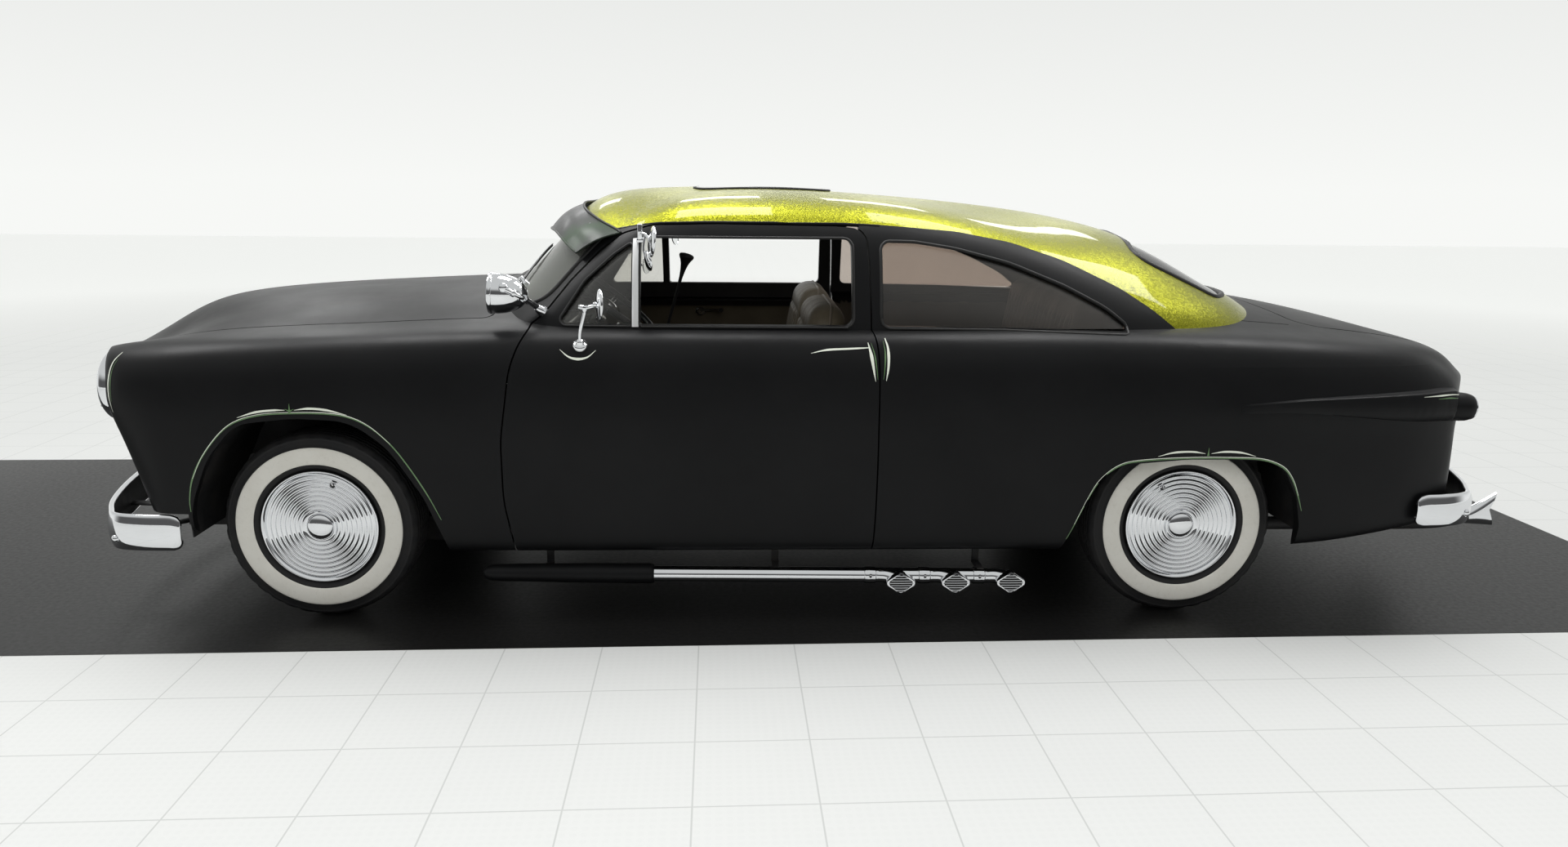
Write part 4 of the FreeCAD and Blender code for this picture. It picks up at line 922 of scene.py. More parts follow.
# ------------------------------------------------------------------ tyres, wheels, hub caps
def tyre_profile():
    p = [(0.193, 0.070, 0), (0.1965, 0.0785, 0), (0.203, 0.0835, 0), (0.209, 0.0862, 0), (0.2128, 0.0872, 0),
         (0.2136, 0.0890, 1), (0.2160, 0.0902, 1), (0.2240, 0.0916, 1), (0.2340, 0.0926, 1), (0.2440, 0.0930, 1),
         (0.2540, 0.0928, 1), (0.2640, 0.0920, 1), (0.2695, 0.0912, 1), (0.2710, 0.0900, 0), (0.2716, 0.0885, 0),
         (0.2740, 0.0890, 0), (0.2752, 0.0882, 0), (0.2762, 0.0868, 0), (0.2840, 0.0848, 0), (0.2920, 0.0815, 0),
         (0.2960, 0.0800, 0), (0.2985, 0.0805, 0), (0.3005, 0.0798, 0), (0.3040, 0.0768, 0), (0.3080, 0.0730, 0),
         (0.3115, 0.0690, 0), (0.3140, 0.0645, 0), (0.3150, 0.0610, 0)]
    outer = p
    ribs = []
    edges = [0.0575, 0.0405, 0.0350, 0.0155, 0.0100]
    # from the shoulder rib to the middle rib; g marks the groove floor
    ribs += [(0.3156, 0.0560, 0), (0.3080, 0.0545, 2), (0.3080, 0.0500, 2), (0.3162, 0.0485, 0), (0.3166, 0.0350, 0),
             (0.3085, 0.0335, 2), (0.3085, 0.0290, 2), (0.3170, 0.0275, 0), (0.3174, 0.0140, 0), (0.3090, 0.0125, 2),
             (0.3090, 0.0080, 2), (0.3176, 0.0065, 0)]
    half = outer + ribs
    full = half + [(r, -h, 0 if k == 1 else k) for r, h, k in reversed(half)]
    return full


def make_wheel(tag, cx, s, valve):
    body = "wheel_" + tag
    c = Vector((cx, s * WHEEL_Y, TYRE_R))
    prof = tyre_profile()
    segs = 216
    zig = 54
    n = len(prof)

    def ripple(j, i, th, r, h):
        k = prof[j][2]
        if r > 0.3076 and abs(h) < 0.060:
            ph = 2 * math.pi * ((i * zig / segs) % 1.0)
            h = h + 0.0014 * math.sin(ph) * (1 if h > 0 else 1)
            if k == 0 and (i % 8) == 0 and 0.004 < abs(h) < 0.06 and r > 0.31:
                r -= 0.0022
        if 0.3035 < r < 0.3152 and abs(h) > 0.0605:
            if (i % 6) in (0, 1):
                r -= 0.0026
        return r, h

    t_ob = lathe("tyre_rubber_" + tag, [(r, h) for r, h, _ in prof], c, (0, s, 0), [M["rubber"], M["white"]],
                 segs=segs, index=[1 if prof[j][2] == 1 else 0 for j in range(n - 1)], angle=50, ripple=ripple)
    inner = lathe("liner", [(0.193, -0.070), (0.193, 0.070)], c, (0, s, 0), [M["rubber"]], segs=72)
    t_ob = join("tyre_" + tag + "_rubber", [t_ob, inner])
    piece(t_ob, body, "tyre_" + tag, slot="tyre")
    # hub cap
    cap = []
    ra, rb, waves = 0.0535, 0.1795, 8
    steps = waves * 10
    cap.append((0.0, 0.1005))
    for k in range(1, 13):
        a = math.pi / 2 * k / 12
        cap.append((0.0445 * math.sin(a), 0.0838 + 0.0167 * math.cos(a)))
    cap += [(0.0452, 0.0822), (0.0470, 0.0812), (0.0500, 0.0816)]
    for k in range(steps + 1):
        r = ra + (rb - ra) * k / steps
        ph = 2 * math.pi * waves * k / steps
        base = 0.0862 - 0.0030 * ((r - ra) / (rb - ra)) ** 1.5
        cap.append((r, base + 0.0046 * (0.5 - 0.5 * math.cos(ph)) ** 0.80 - 0.0026))
    cap += [(0.1812, 0.0828), (0.1828, 0.0842), (0.1848, 0.0868), (0.1872, 0.0885), (0.1896, 0.0884), (0.1912, 0.0868),
            (0.1916, 0.0845), (0.1905, 0.0810), (0.1880, 0.0795)]
    cap_ob = lathe("cap", cap, c, (0, s, 0), [M["chrome"]], segs=144, angle=60)
    disc = [(0.0, 0.060), (0.060, 0.060), (0.066, 0.052), (0.100, 0.040), (0.150, 0.030), (0.168, 0.026), (0.178, 0.040),
            (0.186, 0.058), (0.188, 0.070), (0.1935, 0.073), (0.1945, 0.070), (0.1925, 0.052), (0.186, 0.048),
            (0.184, 0.020), (0.178, 0.006), (0.178, -0.020), (0.186, -0.046), (0.1925, -0.052), (0.1945, -0.070),
            (0.1915, -0.073), (0.185, -0.066), (0.180, -0.050), (0.172, -0.022), (0.170, 0.010), (0.150, 0.018),
            (0.100, 0.026), (0.060, 0.028), (0.030, 0.028), (0.030, 0.020), (0.0, 0.020)]
    disc_ob = lathe("disc", disc, c, (0, s, 0), [M["chassis"]], segs=96, angle=40)
    parts = [cap_ob, disc_ob]
    # valve hole with its stem
    va, vr = math.radians(valve), 0.1535
    vc = c + Vector((math.cos(va) * vr, 0, math.sin(va) * vr))
    eye = lathe("eye", [(0.0, 0.0850), (0.0072, 0.0852), (0.0078, 0.0868), (0.0092, 0.0880), (0.0106, 0.0872), (0.0110, 0.0840)],
                Vector((vc.x, s * WHEEL_Y, vc.z)), (0, s, 0), [M["gasket"], M["chrome"]], segs=24, index=[0, 0, 1, 1, 1])
    stem = lathe("stem", [(0.0, 0.0935), (0.0026, 0.0930), (0.0030, 0.0900), (0.0030, 0.0850)],
                 Vector((vc.x, s * WHEEL_Y, vc.z)) + Vector((0.002, 0, 0.001)), (0, s, 0), [M["steel"]], segs=14)
    parts += [eye, stem]
    if tag.startswith("front"):
        hub = lathe("hub", [(0.0, -0.004), (0.024, -0.004), (0.028, 0.004), (0.028, 0.030)], c, (0, s, 0), [M["steel"]], segs=32)
        parts.append(hub)
    # wheel nuts behind the cap
    for k in range(5):
        a = 2 * math.pi * k / 5
        nc = c + Vector((math.cos(a) * 0.070, 0, math.sin(a) * 0.070))
        parts.append(lathe("nut", [(0.0, 0.062), (0.006, 0.061), (0.011, 0.056), (0.011, 0.038)],
                           Vector((nc.x, s * WHEEL_Y, nc.z)), (0, s, 0), [M["steel"]], segs=6, angle=20))
    w_ob = join("wheel_" + tag + "_steel", parts)
    piece(w_ob, body, "wheel_" + tag, slot="chrome")


make_wheel("front_left", -AXLE, -1, 70)
make_wheel("rear_left", AXLE, -1, 120)
make_wheel("front_right", -AXLE, 1, 70)
make_wheel("rear_right", AXLE, 1, 120)


# ------------------------------------------------------------------ bumpers
F_BUMPER = [(-1858, -885), (-2000, -880), (-2088, -856), (-2138, -790), (-2196, -670), (-2262, -460), (-2312, -220),
            (-2326, 0)]
R_BUMPER = [(2212, -894), (2340, -885), (2421, -849), (2460, -792), (2514, -682), (2598, -450), (2664, -220), (2684, 0)]


def make_bumper(name, line, z0, z1, node, bolts, brackets):
    front = line[-1][0] < 0
    half = [Vector((x / 1000, y / 1000, 0)) for x, y in line]
    whole = half + [Vector((p.x, -p.y, 0)) for p in reversed(half[:-1])]
    n = 150
    pts = even_path(smooth_path(whole, 14), n)
    zc, hz = (z0 + z1) / 2, (z1 - z0) / 2
    total = sum((b - a).length for a, b in zip(pts[:-1], pts[1:]))
    # more rows where the ends close
    us = []
    for i in range(n):
        us.append(i / (n - 1))
    extra = [0.0012, 0.0025, 0.004, 0.0055]
    us = sorted(set(us + extra + [1 - e for e in extra]))
    section = [(-0.0150, -0.90), (-0.0125, -0.955), (-0.0085, -0.99), (-0.0040, -1.0), (-0.0008, -0.985), (0.0018, -0.94),
               (0.0042, -0.84), (0.0070, -0.68), (0.0093, -0.50), (0.0108, -0.26), (0.0112, 0.0), (0.0108, 0.26),
               (0.0093, 0.50), (0.0070, 0.68), (0.0042, 0.84), (0.0018, 0.94), (-0.0008, 0.985), (-0.0040, 1.0),
               (-0.0085, 0.99), (-0.0125, 0.955), (-0.0150, 0.90)]

    def at(u):
        f = clamp(u, 0, 1) * (n - 1)
        i = min(int(f), n - 2)
        p = pts[i].lerp(pts[i + 1], f - i)
        d = (pts[min(i + 2, n - 1)] - pts[max(i - 1, 0)]).normalized()
        w = Vector((-d.y, d.x, 0))
        if w.dot(p - Vector((0.2 if not front else -0.2, 0, 0))) < 0:
            w = -w
        return p, w

    verts, faces = [], []
    m = len(section)
    for u in us:
        p, w = at(u)
        end = min(u, 1 - u) * total
        k = clamp(end / 0.040, 0, 1)
        grow = math.sqrt(max(0.0, 1 - (1 - k) ** 2.4))
        hh = hz * (0.42 + 0.58 * grow)
        dep = 0.30 + 0.70 * grow
        for a, b in section:
            verts.append(p + w * (a * dep - 0.0125 + 0.0) + Vector((0, 0, zc + b * hh)))
    for i in range(len(us) - 1):
        for k in range(m - 1):
            a = i * m + k
            faces.append((a, a + 1, a + m + 1, a + m))
    shell = mesh_obj(name + "_shell", verts, faces, [M["chrome"], M["chassis"]], None, True, 60)
    so = shell.modifiers.new("thick", "SOLIDIFY")
    so.thickness = 0.0030
    so.offset = -1
    so.use_rim = True
    so.material_offset = 1
    so.material_offset_rim = 0
    modifier_applied(shell)
    parts = [shell]
    for u, dz in bolts:
        for uu in ((u, 1 - u) if u != 0.5 else (0.5,)):
            p, w = at(uu)
            c = p + w * (-0.0125 + 0.0100) + Vector((0, 0, zc + dz))
            parts.append(lathe("bolt", [(0.0, 0.0105), (0.0045, 0.0098), (0.0085, 0.0076), (0.0115, 0.0040), (0.0128, 0.0006),
                                        (0.0150, 0.0006), (0.0152, -0.0020)], c, w, [M["chrome"]], segs=28))
    for s in (-1, 1):
        for (x0, y0, za, x1, y1, zb) in brackets:
            a, b = Vector((x0, s * y0, za)), Vector((x1, s * y1, zb))
            mid = a.lerp(b, 0.5)
            parts.append(tube("arm", [a, mid, b], 0.020, M["chassis"], segs=12, squash_=0.35))
    ob = join(name, parts)
    piece(ob, "car_body", node, slot="chrome")
    return ob


make_bumper("front_bumper_blade", F_BUMPER, 0.262, 0.384, "front_bumper", [(0.098, -0.022), (0.36, 0.0)],
            [(-2.265, 0.40, 0.285, -2.06, 0.40, 0.275), (-2.07, 0.80, 0.30, -1.93, 0.60, 0.29)])
make_bumper("rear_bumper_blade", R_BUMPER, 0.336, 0.448, "rear_bumper", [(0.088, -0.012), (0.36, 0.0)],
            [(2.60, 0.40, 0.380, 2.38, 0.40, 0.380), (2.40, 0.80, 0.372, 2.25, 0.66, 0.372)])


# ------------------------------------------------------------------ side pipes
def lozenge(name, x, y, z, w, h, depth, mat_a, mat_b):
    """Diamond end with rounded corners and five louvre slots, facing out."""
    parts = []
    n = 16
    outline = []
    for cx, cz, a0 in ((w / 2, 0, -45), (0, h / 2, 45), (-w / 2, 0, 135), (0, -h / 2, 225)):
        r = 0.013
        ux, uz = (cx / (abs(cx) + 1e-9) if abs(cx) > 0 else 0), (cz / (abs(cz) + 1e-9) if abs(cz) > 0 else 0)
        ox, oz = cx - ux * r * 1.25, cz - uz * r * 1.15
        for k in range(n // 2 + 1):
            a = math.radians(a0 + 90.0 * k / (n // 2))
            outline.append((ox + math.cos(a) * r, oz + math.sin(a) * r))
    m = len(outline)
    rings = [(0.93, -depth), (1.0, -depth * 0.8), (1.0, -0.006), (0.985, -0.0025), (0.95, -0.0006), (0.88, 0.0),
             (0.80, -0.0012), (0.78, -0.0030)]
    verts, faces, idx = [], [], []
    for sc, dy in rings:
        for px, pz in outline:
            verts.append((x + px * sc, y - dy * -1 * -1 if False else y - (dy), z + pz * sc))
    for j in range(len(rings) - 1):
        for k in range(m):
            a, b = j * m + k, j * m + (k + 1) % m
            faces.append((a, b, b + m, a + m))
            idx.append(0)
    faces.append(tuple(range(m)))
    idx.append(0)
    faces.append(tuple(range((len(rings) - 1) * m, len(rings) * m)))
    idx.append(1)
    body = mesh_obj(name, verts, faces, [mat_a, mat_b], idx, True, 35)
    parts.append(body)
    for k in range(-3, 4):
        zz = k * h * 0.105
        half = (w / 2) * (1 - abs(zz) / (h / 2)) * 0.80
        if half < 0.006:
            continue
        pts = [(x - half, y + 0.0022, z + zz), (x, y + 0.0012, z + zz), (x + half, y + 0.0022, z + zz)]
        parts.append(tube("slat", smooth_path(pts, 4), 0.0024, mat_a, segs=8, squash_=0.75))
    return parts


def make_lake_pipes():
    parts = []
    d = Vector((1.730, 0, -0.019)).normalized()
    o = Vector((-0.908, -0.846, 0.176))
    black = [(0.0, 0.0), (0.0075, 0.0006), (0.0135, 0.003), (0.019, 0.008), (0.0235, 0.016), (0.0265, 0.028),
             (0.0285, 0.060), (0.0305, 0.180), (0.0325, 0.340), (0.0332, 0.500), (0.0330, 0.548), (0.0315, 0.560), (0.026, 0.564)]
    parts.append(lathe("collector", black, o, d, [M["black"]], segs=48, angle=50))
    # points along the collector for a seam flange; no flange is built from them
    for zz in (0.0,):
        pts = [o + d * h + Vector((0, 0, 0.0)) for h in (0.03, 0.2, 0.4, 0.54)]
    # mitred chrome tube
    segs = 48
    a, r, t = basis(d, (0, 0, 1))
    verts, faces = [], []
    hs = [0.0] + [0.03 + (1.690 - 0.03) * k / 60 for k in range(61)]
    rows = len(hs)
    for j, h in enumerate(hs):
        for i in range(segs):
            th = 2 * math.pi * i / segs
            rr = 0.0255
            hh = 0.532 + (h if j > 0 else 0) * (1.690 - 0.532) / 1.690
            if j == 0:
                hh = 0.532 - 0.018 * math.cos(th)
            if j == rows - 1:
                rr = 0.0245
            verts.append(o + a * hh + (r * math.cos(th) + t * math.sin(th)) * rr)
    for j in range(rows - 1):
        for i in range(segs):
            k = (i + 1) % segs
            faces.append((j * segs + i, j * segs + k, (j + 1) * segs + k, (j + 1) * segs + i))
    faces.append(tuple(range((rows - 1) * segs, rows * segs)))
    parts.append(mesh_obj("chrome_tube", verts, faces, M["chrome"], None, True, 40))
    # clamps and short goosenecks to the three lozenge ends
    for x in (0.475, 0.658, 0.843):
        h = (x - 0.098 - o.x)
        c = o + d * h
        parts.append(lathe("clamp", [(0.0255, -0.020), (0.0275, -0.019), (0.0282, -0.015), (0.0275, -0.011), (0.0282, -0.007),
                                     (0.0282, 0.007), (0.0275, 0.011), (0.0282, 0.015), (0.0275, 0.019), (0.0255, 0.020)],
                           c, d, [M["chrome"]], segs=40, angle=60))
        bolt = c + Vector((0, -0.030, 0.006))
        parts.append(lathe("clampbolt", [(0.0, 0.007), (0.0052, 0.006), (0.0052, 0.0), (0.004, -0.006)], bolt, (0, -0.6, 0.8),
                           [M["steel"]], segs=6, angle=20))
        e = Vector((x - 0.002, -0.874, 0.1535))
        b = Vector((x - 0.070, -0.848, (o + d * (x - 0.07 - o.x)).z))
        path = smooth_path([b, b.lerp(e, 0.45) + Vector((0, 0.004, 0.004)), e], 8)
        parts.append(tube("neck", path, [lerp(0.0235, 0.0275, k / (len(path) - 1)) for k in range(len(path))], M["chrome"], segs=28))
        parts += lozenge("lozenge", x, -0.9085, 0.1535, 0.104, 0.078, 0.034, M["chrome"], M["gasket"])
    for x in (-0.700, 0.060, 0.750):
        parts.append(rounded_box("strap", (x - 0.012, -0.856, 0.176), (x + 0.012, -0.762, 0.186), 0.002, M["chassis"]))
        parts.append(rounded_box("strap2", (x - 0.012, -0.771, 0.176), (x + 0.012, -0.762, 0.241), 0.002, M["chassis"]))
    left = join("lake_pipe_left", parts)
    right = mirrored(left, "lake_pipe_right")
    piece(left, "car_body", "lake_pipes", slot="chrome")
    piece(right, "car_body", slot="chrome")


make_lake_pipes()


# ------------------------------------------------------------------ exhaust tails
def make_tails():
    parts = []
    path = smooth_path([(1.780, -0.600, 0.262), (2.10, -0.600, 0.262), (2.45, -0.600, 0.264), (2.585, -0.600, 0.287)], 10)
    parts.append(tube("pipe", path, 0.0235, M["chassis"], segs=24))
    # fishtail: round at the pipe, wide and flat at the end with a notch, hollow inside
    verts, faces, idx = [], [], []
    segs, rows = 48, 20

    def ring(u, inset):
        x = lerp(2.560, 2.688, u)
        top = lerp(0.309, 0.376, clamp((u - 0.05) / 0.95, 0, 1) ** 1.2) - inset
        bot = lerp(0.261, 0.252, u) + inset
        w = lerp(0.0245, 0.0165, u) - inset
        zc, hz = (top + bot) / 2, (top - bot) / 2
        base = len(verts)
        for i in range(segs):
            th = 2 * math.pi * i / segs
            cz, sy = math.cos(th), math.sin(th)
            e = lerp(1.0, 0.75, u)
            z = zc + hz * (abs(cz) ** e) * (1 if cz > 0 else -1)
            y = -0.600 + w * (abs(sy) ** e) * (1 if sy > 0 else -1)
            verts.append((x - 0.026 * u ** 3 * (1 - abs((z - zc) / hz)), y, z))
        return base

    rings = [ring(j / rows, 0.0) for j in range(rows + 1)]
    rings += [ring(1.0, 0.0012)] + [ring(1 - j / 8, 0.0030) for j in range(1, 8)]
    for j in range(len(rings) - 1):
        for i in range(segs):
            k = (i + 1) % segs
            faces.append((rings[j] + i, rings[j] + k, rings[j + 1] + k, rings[j + 1] + i))
            idx.append(0 if j <= rows + 1 else 1)
    faces.append(tuple(range(rings[-1], rings[-1] + segs)))
    idx.append(1)
    faces.append(tuple(reversed(range(rings[0], rings[0] + segs))))
    idx.append(0)
    parts.append(mesh_obj("tip", verts, faces, [M["chrome"], M["chassis"]], idx, True, 45))
    parts.append(lathe("band", [(0.0245, -0.012), (0.0262, -0.011), (0.0266, 0.0), (0.0262, 0.011), (0.0245, 0.012)],
                       (2.566, -0.600, 0.2845), (1, 0, 0.16), [M["chrome"]], segs=32))
    left = join("tail_pipe_left", parts)
    right = mirrored(left, "tail_pipe_right")
    piece(left, "car_body", "tail_pipes", slot="chrome")
    piece(right, "car_body", slot="chrome")


make_tails()


# ------------------------------------------------------------------ head lamps
def make_headlights():
    c = (-2.079, -0.700, 0.780)
    ax = (-1, 0, 0)
    rim = [(0.1185, -0.068), (0.1188, -0.020), (0.1186, 0.000), (0.1178, 0.010), (0.1150, 0.0185), (0.1105, 0.0235),
           (0.1055, 0.0255), (0.1005, 0.0240), (0.0970, 0.0190), (0.0955, 0.0110), (0.0945, 0.0000), (0.0935, -0.010)]
    parts = [lathe("rim", rim, c, ax, [M["chrome"]], segs=96, angle=60)]
    bowl = [(0.0945, -0.004), (0.090, -0.014), (0.078, -0.030), (0.058, -0.046), (0.034, -0.056), (0.018, -0.058),
            (0.014, -0.050), (0.0, -0.046)]
    parts.append(lathe("bowl", bowl, c, ax, [M["mirror"]], segs=64, angle=60))
    bulb = [(0.0, -0.016), (0.006, -0.018), (0.010, -0.024), (0.011, -0.032), (0.007, -0.044), (0.006, -0.052)]
    parts.append(lathe("bulb", bulb, c, ax, [M["lamp"]], segs=24, angle=60))
    shell = [(0.0945, 0.0008), (0.086, 0.0075), (0.072, 0.0140), (0.054, 0.0195), (0.034, 0.0232), (0.015, 0.0250), (0.0, 0.0254)]
    parts.append(lathe("lens", shell, c, ax, [M["lamp"]], segs=72, angle=80))
    # retaining lip inside the rim
    parts.append(lathe("lip", [(0.0950, -0.002), (0.0950, 0.004), (0.0920, 0.0052), (0.0905, 0.0030)], c, ax, [M["chrome"]], segs=72, angle=60))
    # three rim screws
    for a in (90, 210, 330):
        p = Vector(c) + Vector((-0.0245, math.cos(math.radians(a)) * 0.1065, math.sin(math.radians(a)) * 0.1065))
        parts.append(lathe("screw", [(0.0, 0.0025), (0.003, 0.0022), (0.0044, 0.0002), (0.0046, -0.002)], p, ax, [M["steel"]], segs=16))
    left = join("headlight_left", parts)
    right = mirrored(left, "headlight_right")
    piece(left, "car_body", "headlights", slot="chrome")
    piece(right, "car_body", slot="chrome")


make_headlights()


# ------------------------------------------------------------------ grille
def nose_skin(y, z):
    """Front of the body beside the grille opening."""
    hit, _, _, _ = skin(["grille_panel", "front_fender_left", "front_fender_right", "hood"]).ray_cast(
        Vector((-3.0, y, 0.690 if abs(y) < 0.46 else 0.690)), Vector((1, 0, 0)))
    return (hit.x - SX if hit is not None else -2.2) + 0.020


def make_grille():
    parts = []
    for z, hy in ((0.560, 0.478), (0.632, 0.482)):
        pts = [(nose_skin(y, z) + 0.012, y, z) for y in [hy * k / 20 for k in range(-20, 21)]]
        rad = [0.0135 * (0.25 + 0.75 * math.sqrt(max(0.0, 1 - (abs(k) / 20) ** 8))) for k in range(-20, 21)]
        parts.append(tube("bar", pts, rad, M["chrome"], segs=24, squash_=1.05))
    for y in (-0.430, -0.215, 0.0, 0.215, 0.430):
        x = nose_skin(y, 0.596) + 0.012
        parts.append(tube("post", smooth_path([(x + 0.004, y, 0.556), (x - 0.004, y, 0.596), (x + 0.004, y, 0.636)], 6),
                          0.0085, M["chrome"], segs=14))
        parts.append(tube("stay", [(x, y, 0.596), (-2.095, y, 0.596)], 0.006, M["chassis"], segs=10))
    # woven backing of flat dark wires
    for k in range(33):
        z = 0.538 + (0.654 - 0.538) * k / 32
        parts.append(tube("w", [(-2.090, -0.470, z), (-2.090, 0.470, z)], 0.0011, M["chassis"], segs=5))
    for k in range(97):
        y = -0.470 + 0.940 * k / 96
        parts.append(tube("v", [(-2.092, y, 0.537), (-2.092, y, 0.655)], 0.0011, M["chassis"], segs=5))
    for z in (0.537, 0.655):
        parts.append(tube("frame", [(-2.091, -0.470, z), (-2.091, 0.470, z)], 0.0035, M["chassis"], segs=8))
    ob = join("grille_bars_chrome", parts)
    piece(ob, "car_body", "grille_bars", slot="chrome")


make_grille()


# ------------------------------------------------------------------ rubber seals and bright trim along outlines
def rounded_outline(points, per=8):
    """Closed outline with rounded corners as 2D points."""
    n = len(points)
    out = []
    for i in range(n):
        p = points[i]
        a, b = points[i - 1], points[(i + 1) % n]
        r = p[2] if len(p) > 2 else 0.0
        P, A, B = Vector(p[:2]), Vector(a[:2]), Vector(b[:2])
        u, v = (A - P), (B - P)
        lu, lv = u.length, v.length
        u, v = u / lu, v / lv
        ang = math.acos(clamp(u.dot(v), -1, 1))
        if r <= 0 or ang > math.pi - 1e-3:
            out.append(P)
            continue
        t = r / math.tan(ang / 2)
        tm = 0.49 * min(lu, lv)
        if t > tm:
            t = tm
            r = t * math.tan(ang / 2)
        bis = (u + v).normalized()
        cen = P + bis * (r / math.sin(ang / 2))
        s, e = P + u * t, P + v * t
        a0 = math.atan2(s.y - cen.y, s.x - cen.x)
        a1 = math.atan2(e.y - cen.y, e.x - cen.x)
        da = a1 - a0
        while da > math.pi:
            da -= 2 * math.pi
        while da < -math.pi:
            da += 2 * math.pi
        for k in range(per + 1):
            aa = a0 + da * k / per
            out.append(Vector((cen.x + math.cos(aa) * r, cen.y + math.sin(aa) * r)))
    return out


def grown(line, d):
    """Outline moved outwards by d."""
    n = len(line)
    area = sum(line[i].x * line[(i + 1) % n].y - line[(i + 1) % n].x * line[i].y for i in range(n))
    s = 1 if area > 0 else -1
    out = []
    for i in range(n):
        t = (line[(i + 1) % n] - line[i - 1])
        if t.length < 1e-9:
            out.append(line[i])
            continue
        t.normalize()
        out.append(line[i] + Vector((t.y, -t.x)) * d * s)
    return out


DOOR_GLASS = [(-.383, .994, .006), (.305, .994, .026), (.303, 1.267, .026), (-.383, 1.266, .006)]
VENT = [(-.650, .994, .014), (-.412, .994, .004), (-.412, 1.250, .006), (-.470, 1.211, .060), (-.562, 1.128, .100)]
QUARTER_GLASS = [(.404, .994, .026), (.845, .989, .600), (1.236, .978, .012), (1.150, 1.048, .300), (1.012, 1.118, .500),
                 (.829, 1.190, .500), (.648, 1.235, .400), (.514, 1.256, .300), (.404, 1.258, .024)]
WHOLE_DOOR = [(-.650, .994, .014), (.305, .994, .026), (.303, 1.267, .026), (-.383, 1.266, .05), (-.470, 1.211, .060),
              (-.562, 1.128, .100)]


def seal(name, outline, out, radius, mat, names, count=160, sink=0.0, oval=1.0):
    """Bead that lies on the body's side along an outline in x, z moved out by the given distance."""
    pts = rounded_outline(outline, 10)
    pts3 = even_path([Vector((q.x, q.y, 0)) for q in pts], count, True)
    flat = [Vector((q.x, q.y)) for q in pts3]
    flat = grown(flat, out)
    line3 = []
    for q in flat:
        p, nn = on_side(q.x, q.y, names, sink)
        if p is not None and p.y < -0.35:
            line3.append(p)
    if len(line3) < 8:
        return None
    # drop points that lie on another surface than their neighbours
    n = len(line3)
    good = []
    for i, p in enumerate(line3):
        near = sorted(line3[(i + k) % n].y for k in range(-5, 6))
        if abs(p.y - near[5]) < 0.012:
            good.append(p)
    return tube(name, good, radius, mat, segs=12, closed=True, squash_=oval)


def make_window_trim():
    doors, quarters = [], []
    a = seal("door_seal", DOOR_GLASS, 0.005, 0.0045, M["gasket"], ["door_left"], sink=-0.001)
    b = seal("vent_seal", VENT, 0.0045, 0.0040, M["gasket"], ["door_left"], sink=-0.001)
    q = seal("quarter_seal", QUARTER_GLASS, 0.006, 0.0052, M["gasket"], ["quarter_panel_left"], sink=-0.001)
    doors += [o for o in (a, b) if o]
    # bright bar between the vent and the door glass
    top, _ = on_side(-0.3975, 1.262, ["door_left"], 0.0)
    low, _ = on_side(-0.3975, 0.992, ["door_left"], 0.0)
    if top is not None and low is not None:
        rows, verts, faces = 30, [], []
        prof = [(-0.0105, -0.002), (-0.0105, 0.0030), (-0.0085, 0.0050), (-0.0030, 0.0058), (0.0030, 0.0058), (0.0085, 0.0050),
                (0.0105, 0.0030), (0.0105, -0.002)]
        for i in range(rows + 1):
            z = lerp(0.988, 1.262, i / rows)
            p, nn = on_side(-0.3975, z, ["door_left"], 0.0)
            if p is None:
                continue
            for dx, dn in prof:
                verts.append(p + Vector((dx, 0, 0)) + nn * dn)
        m = len(prof)
        for i in range(len(verts) // m - 1):
            for k in range(m - 1):
                v = i * m + k
                faces.append((v, v + 1, v + m + 1, v + m))
        doors.append(mesh_obj("division_bar", verts, faces, M["alu"], None, True, 40))
    # brushed felt strip along the bottom of the open window
    pts = []
    for i in range(40):
        x = lerp(-0.378, 0.290, i / 39)
        p, nn = on_side(x, 0.989, ["door_left"], 0.0035)
        if p is not None:
            pts.append(p)
    if len(pts) > 3:
        doors.append(tube("sill_strip", pts, 0.0035, M["gasket"], segs=10))
    d = join("door_window_trim_left", doors)
    d2 = mirrored(d, "door_window_trim_right")
    piece(d, "door_left", slot="black_plastic")
    piece(d2, "door_right", slot="black_plastic")
    if q:
        q.name = "quarter_window_trim_left"
        q2 = mirrored(q, "quarter_window_trim_right")
        piece(q, "car_body", slot="black_plastic")
        piece(q2, "car_body", slot="black_plastic")


make_window_trim()


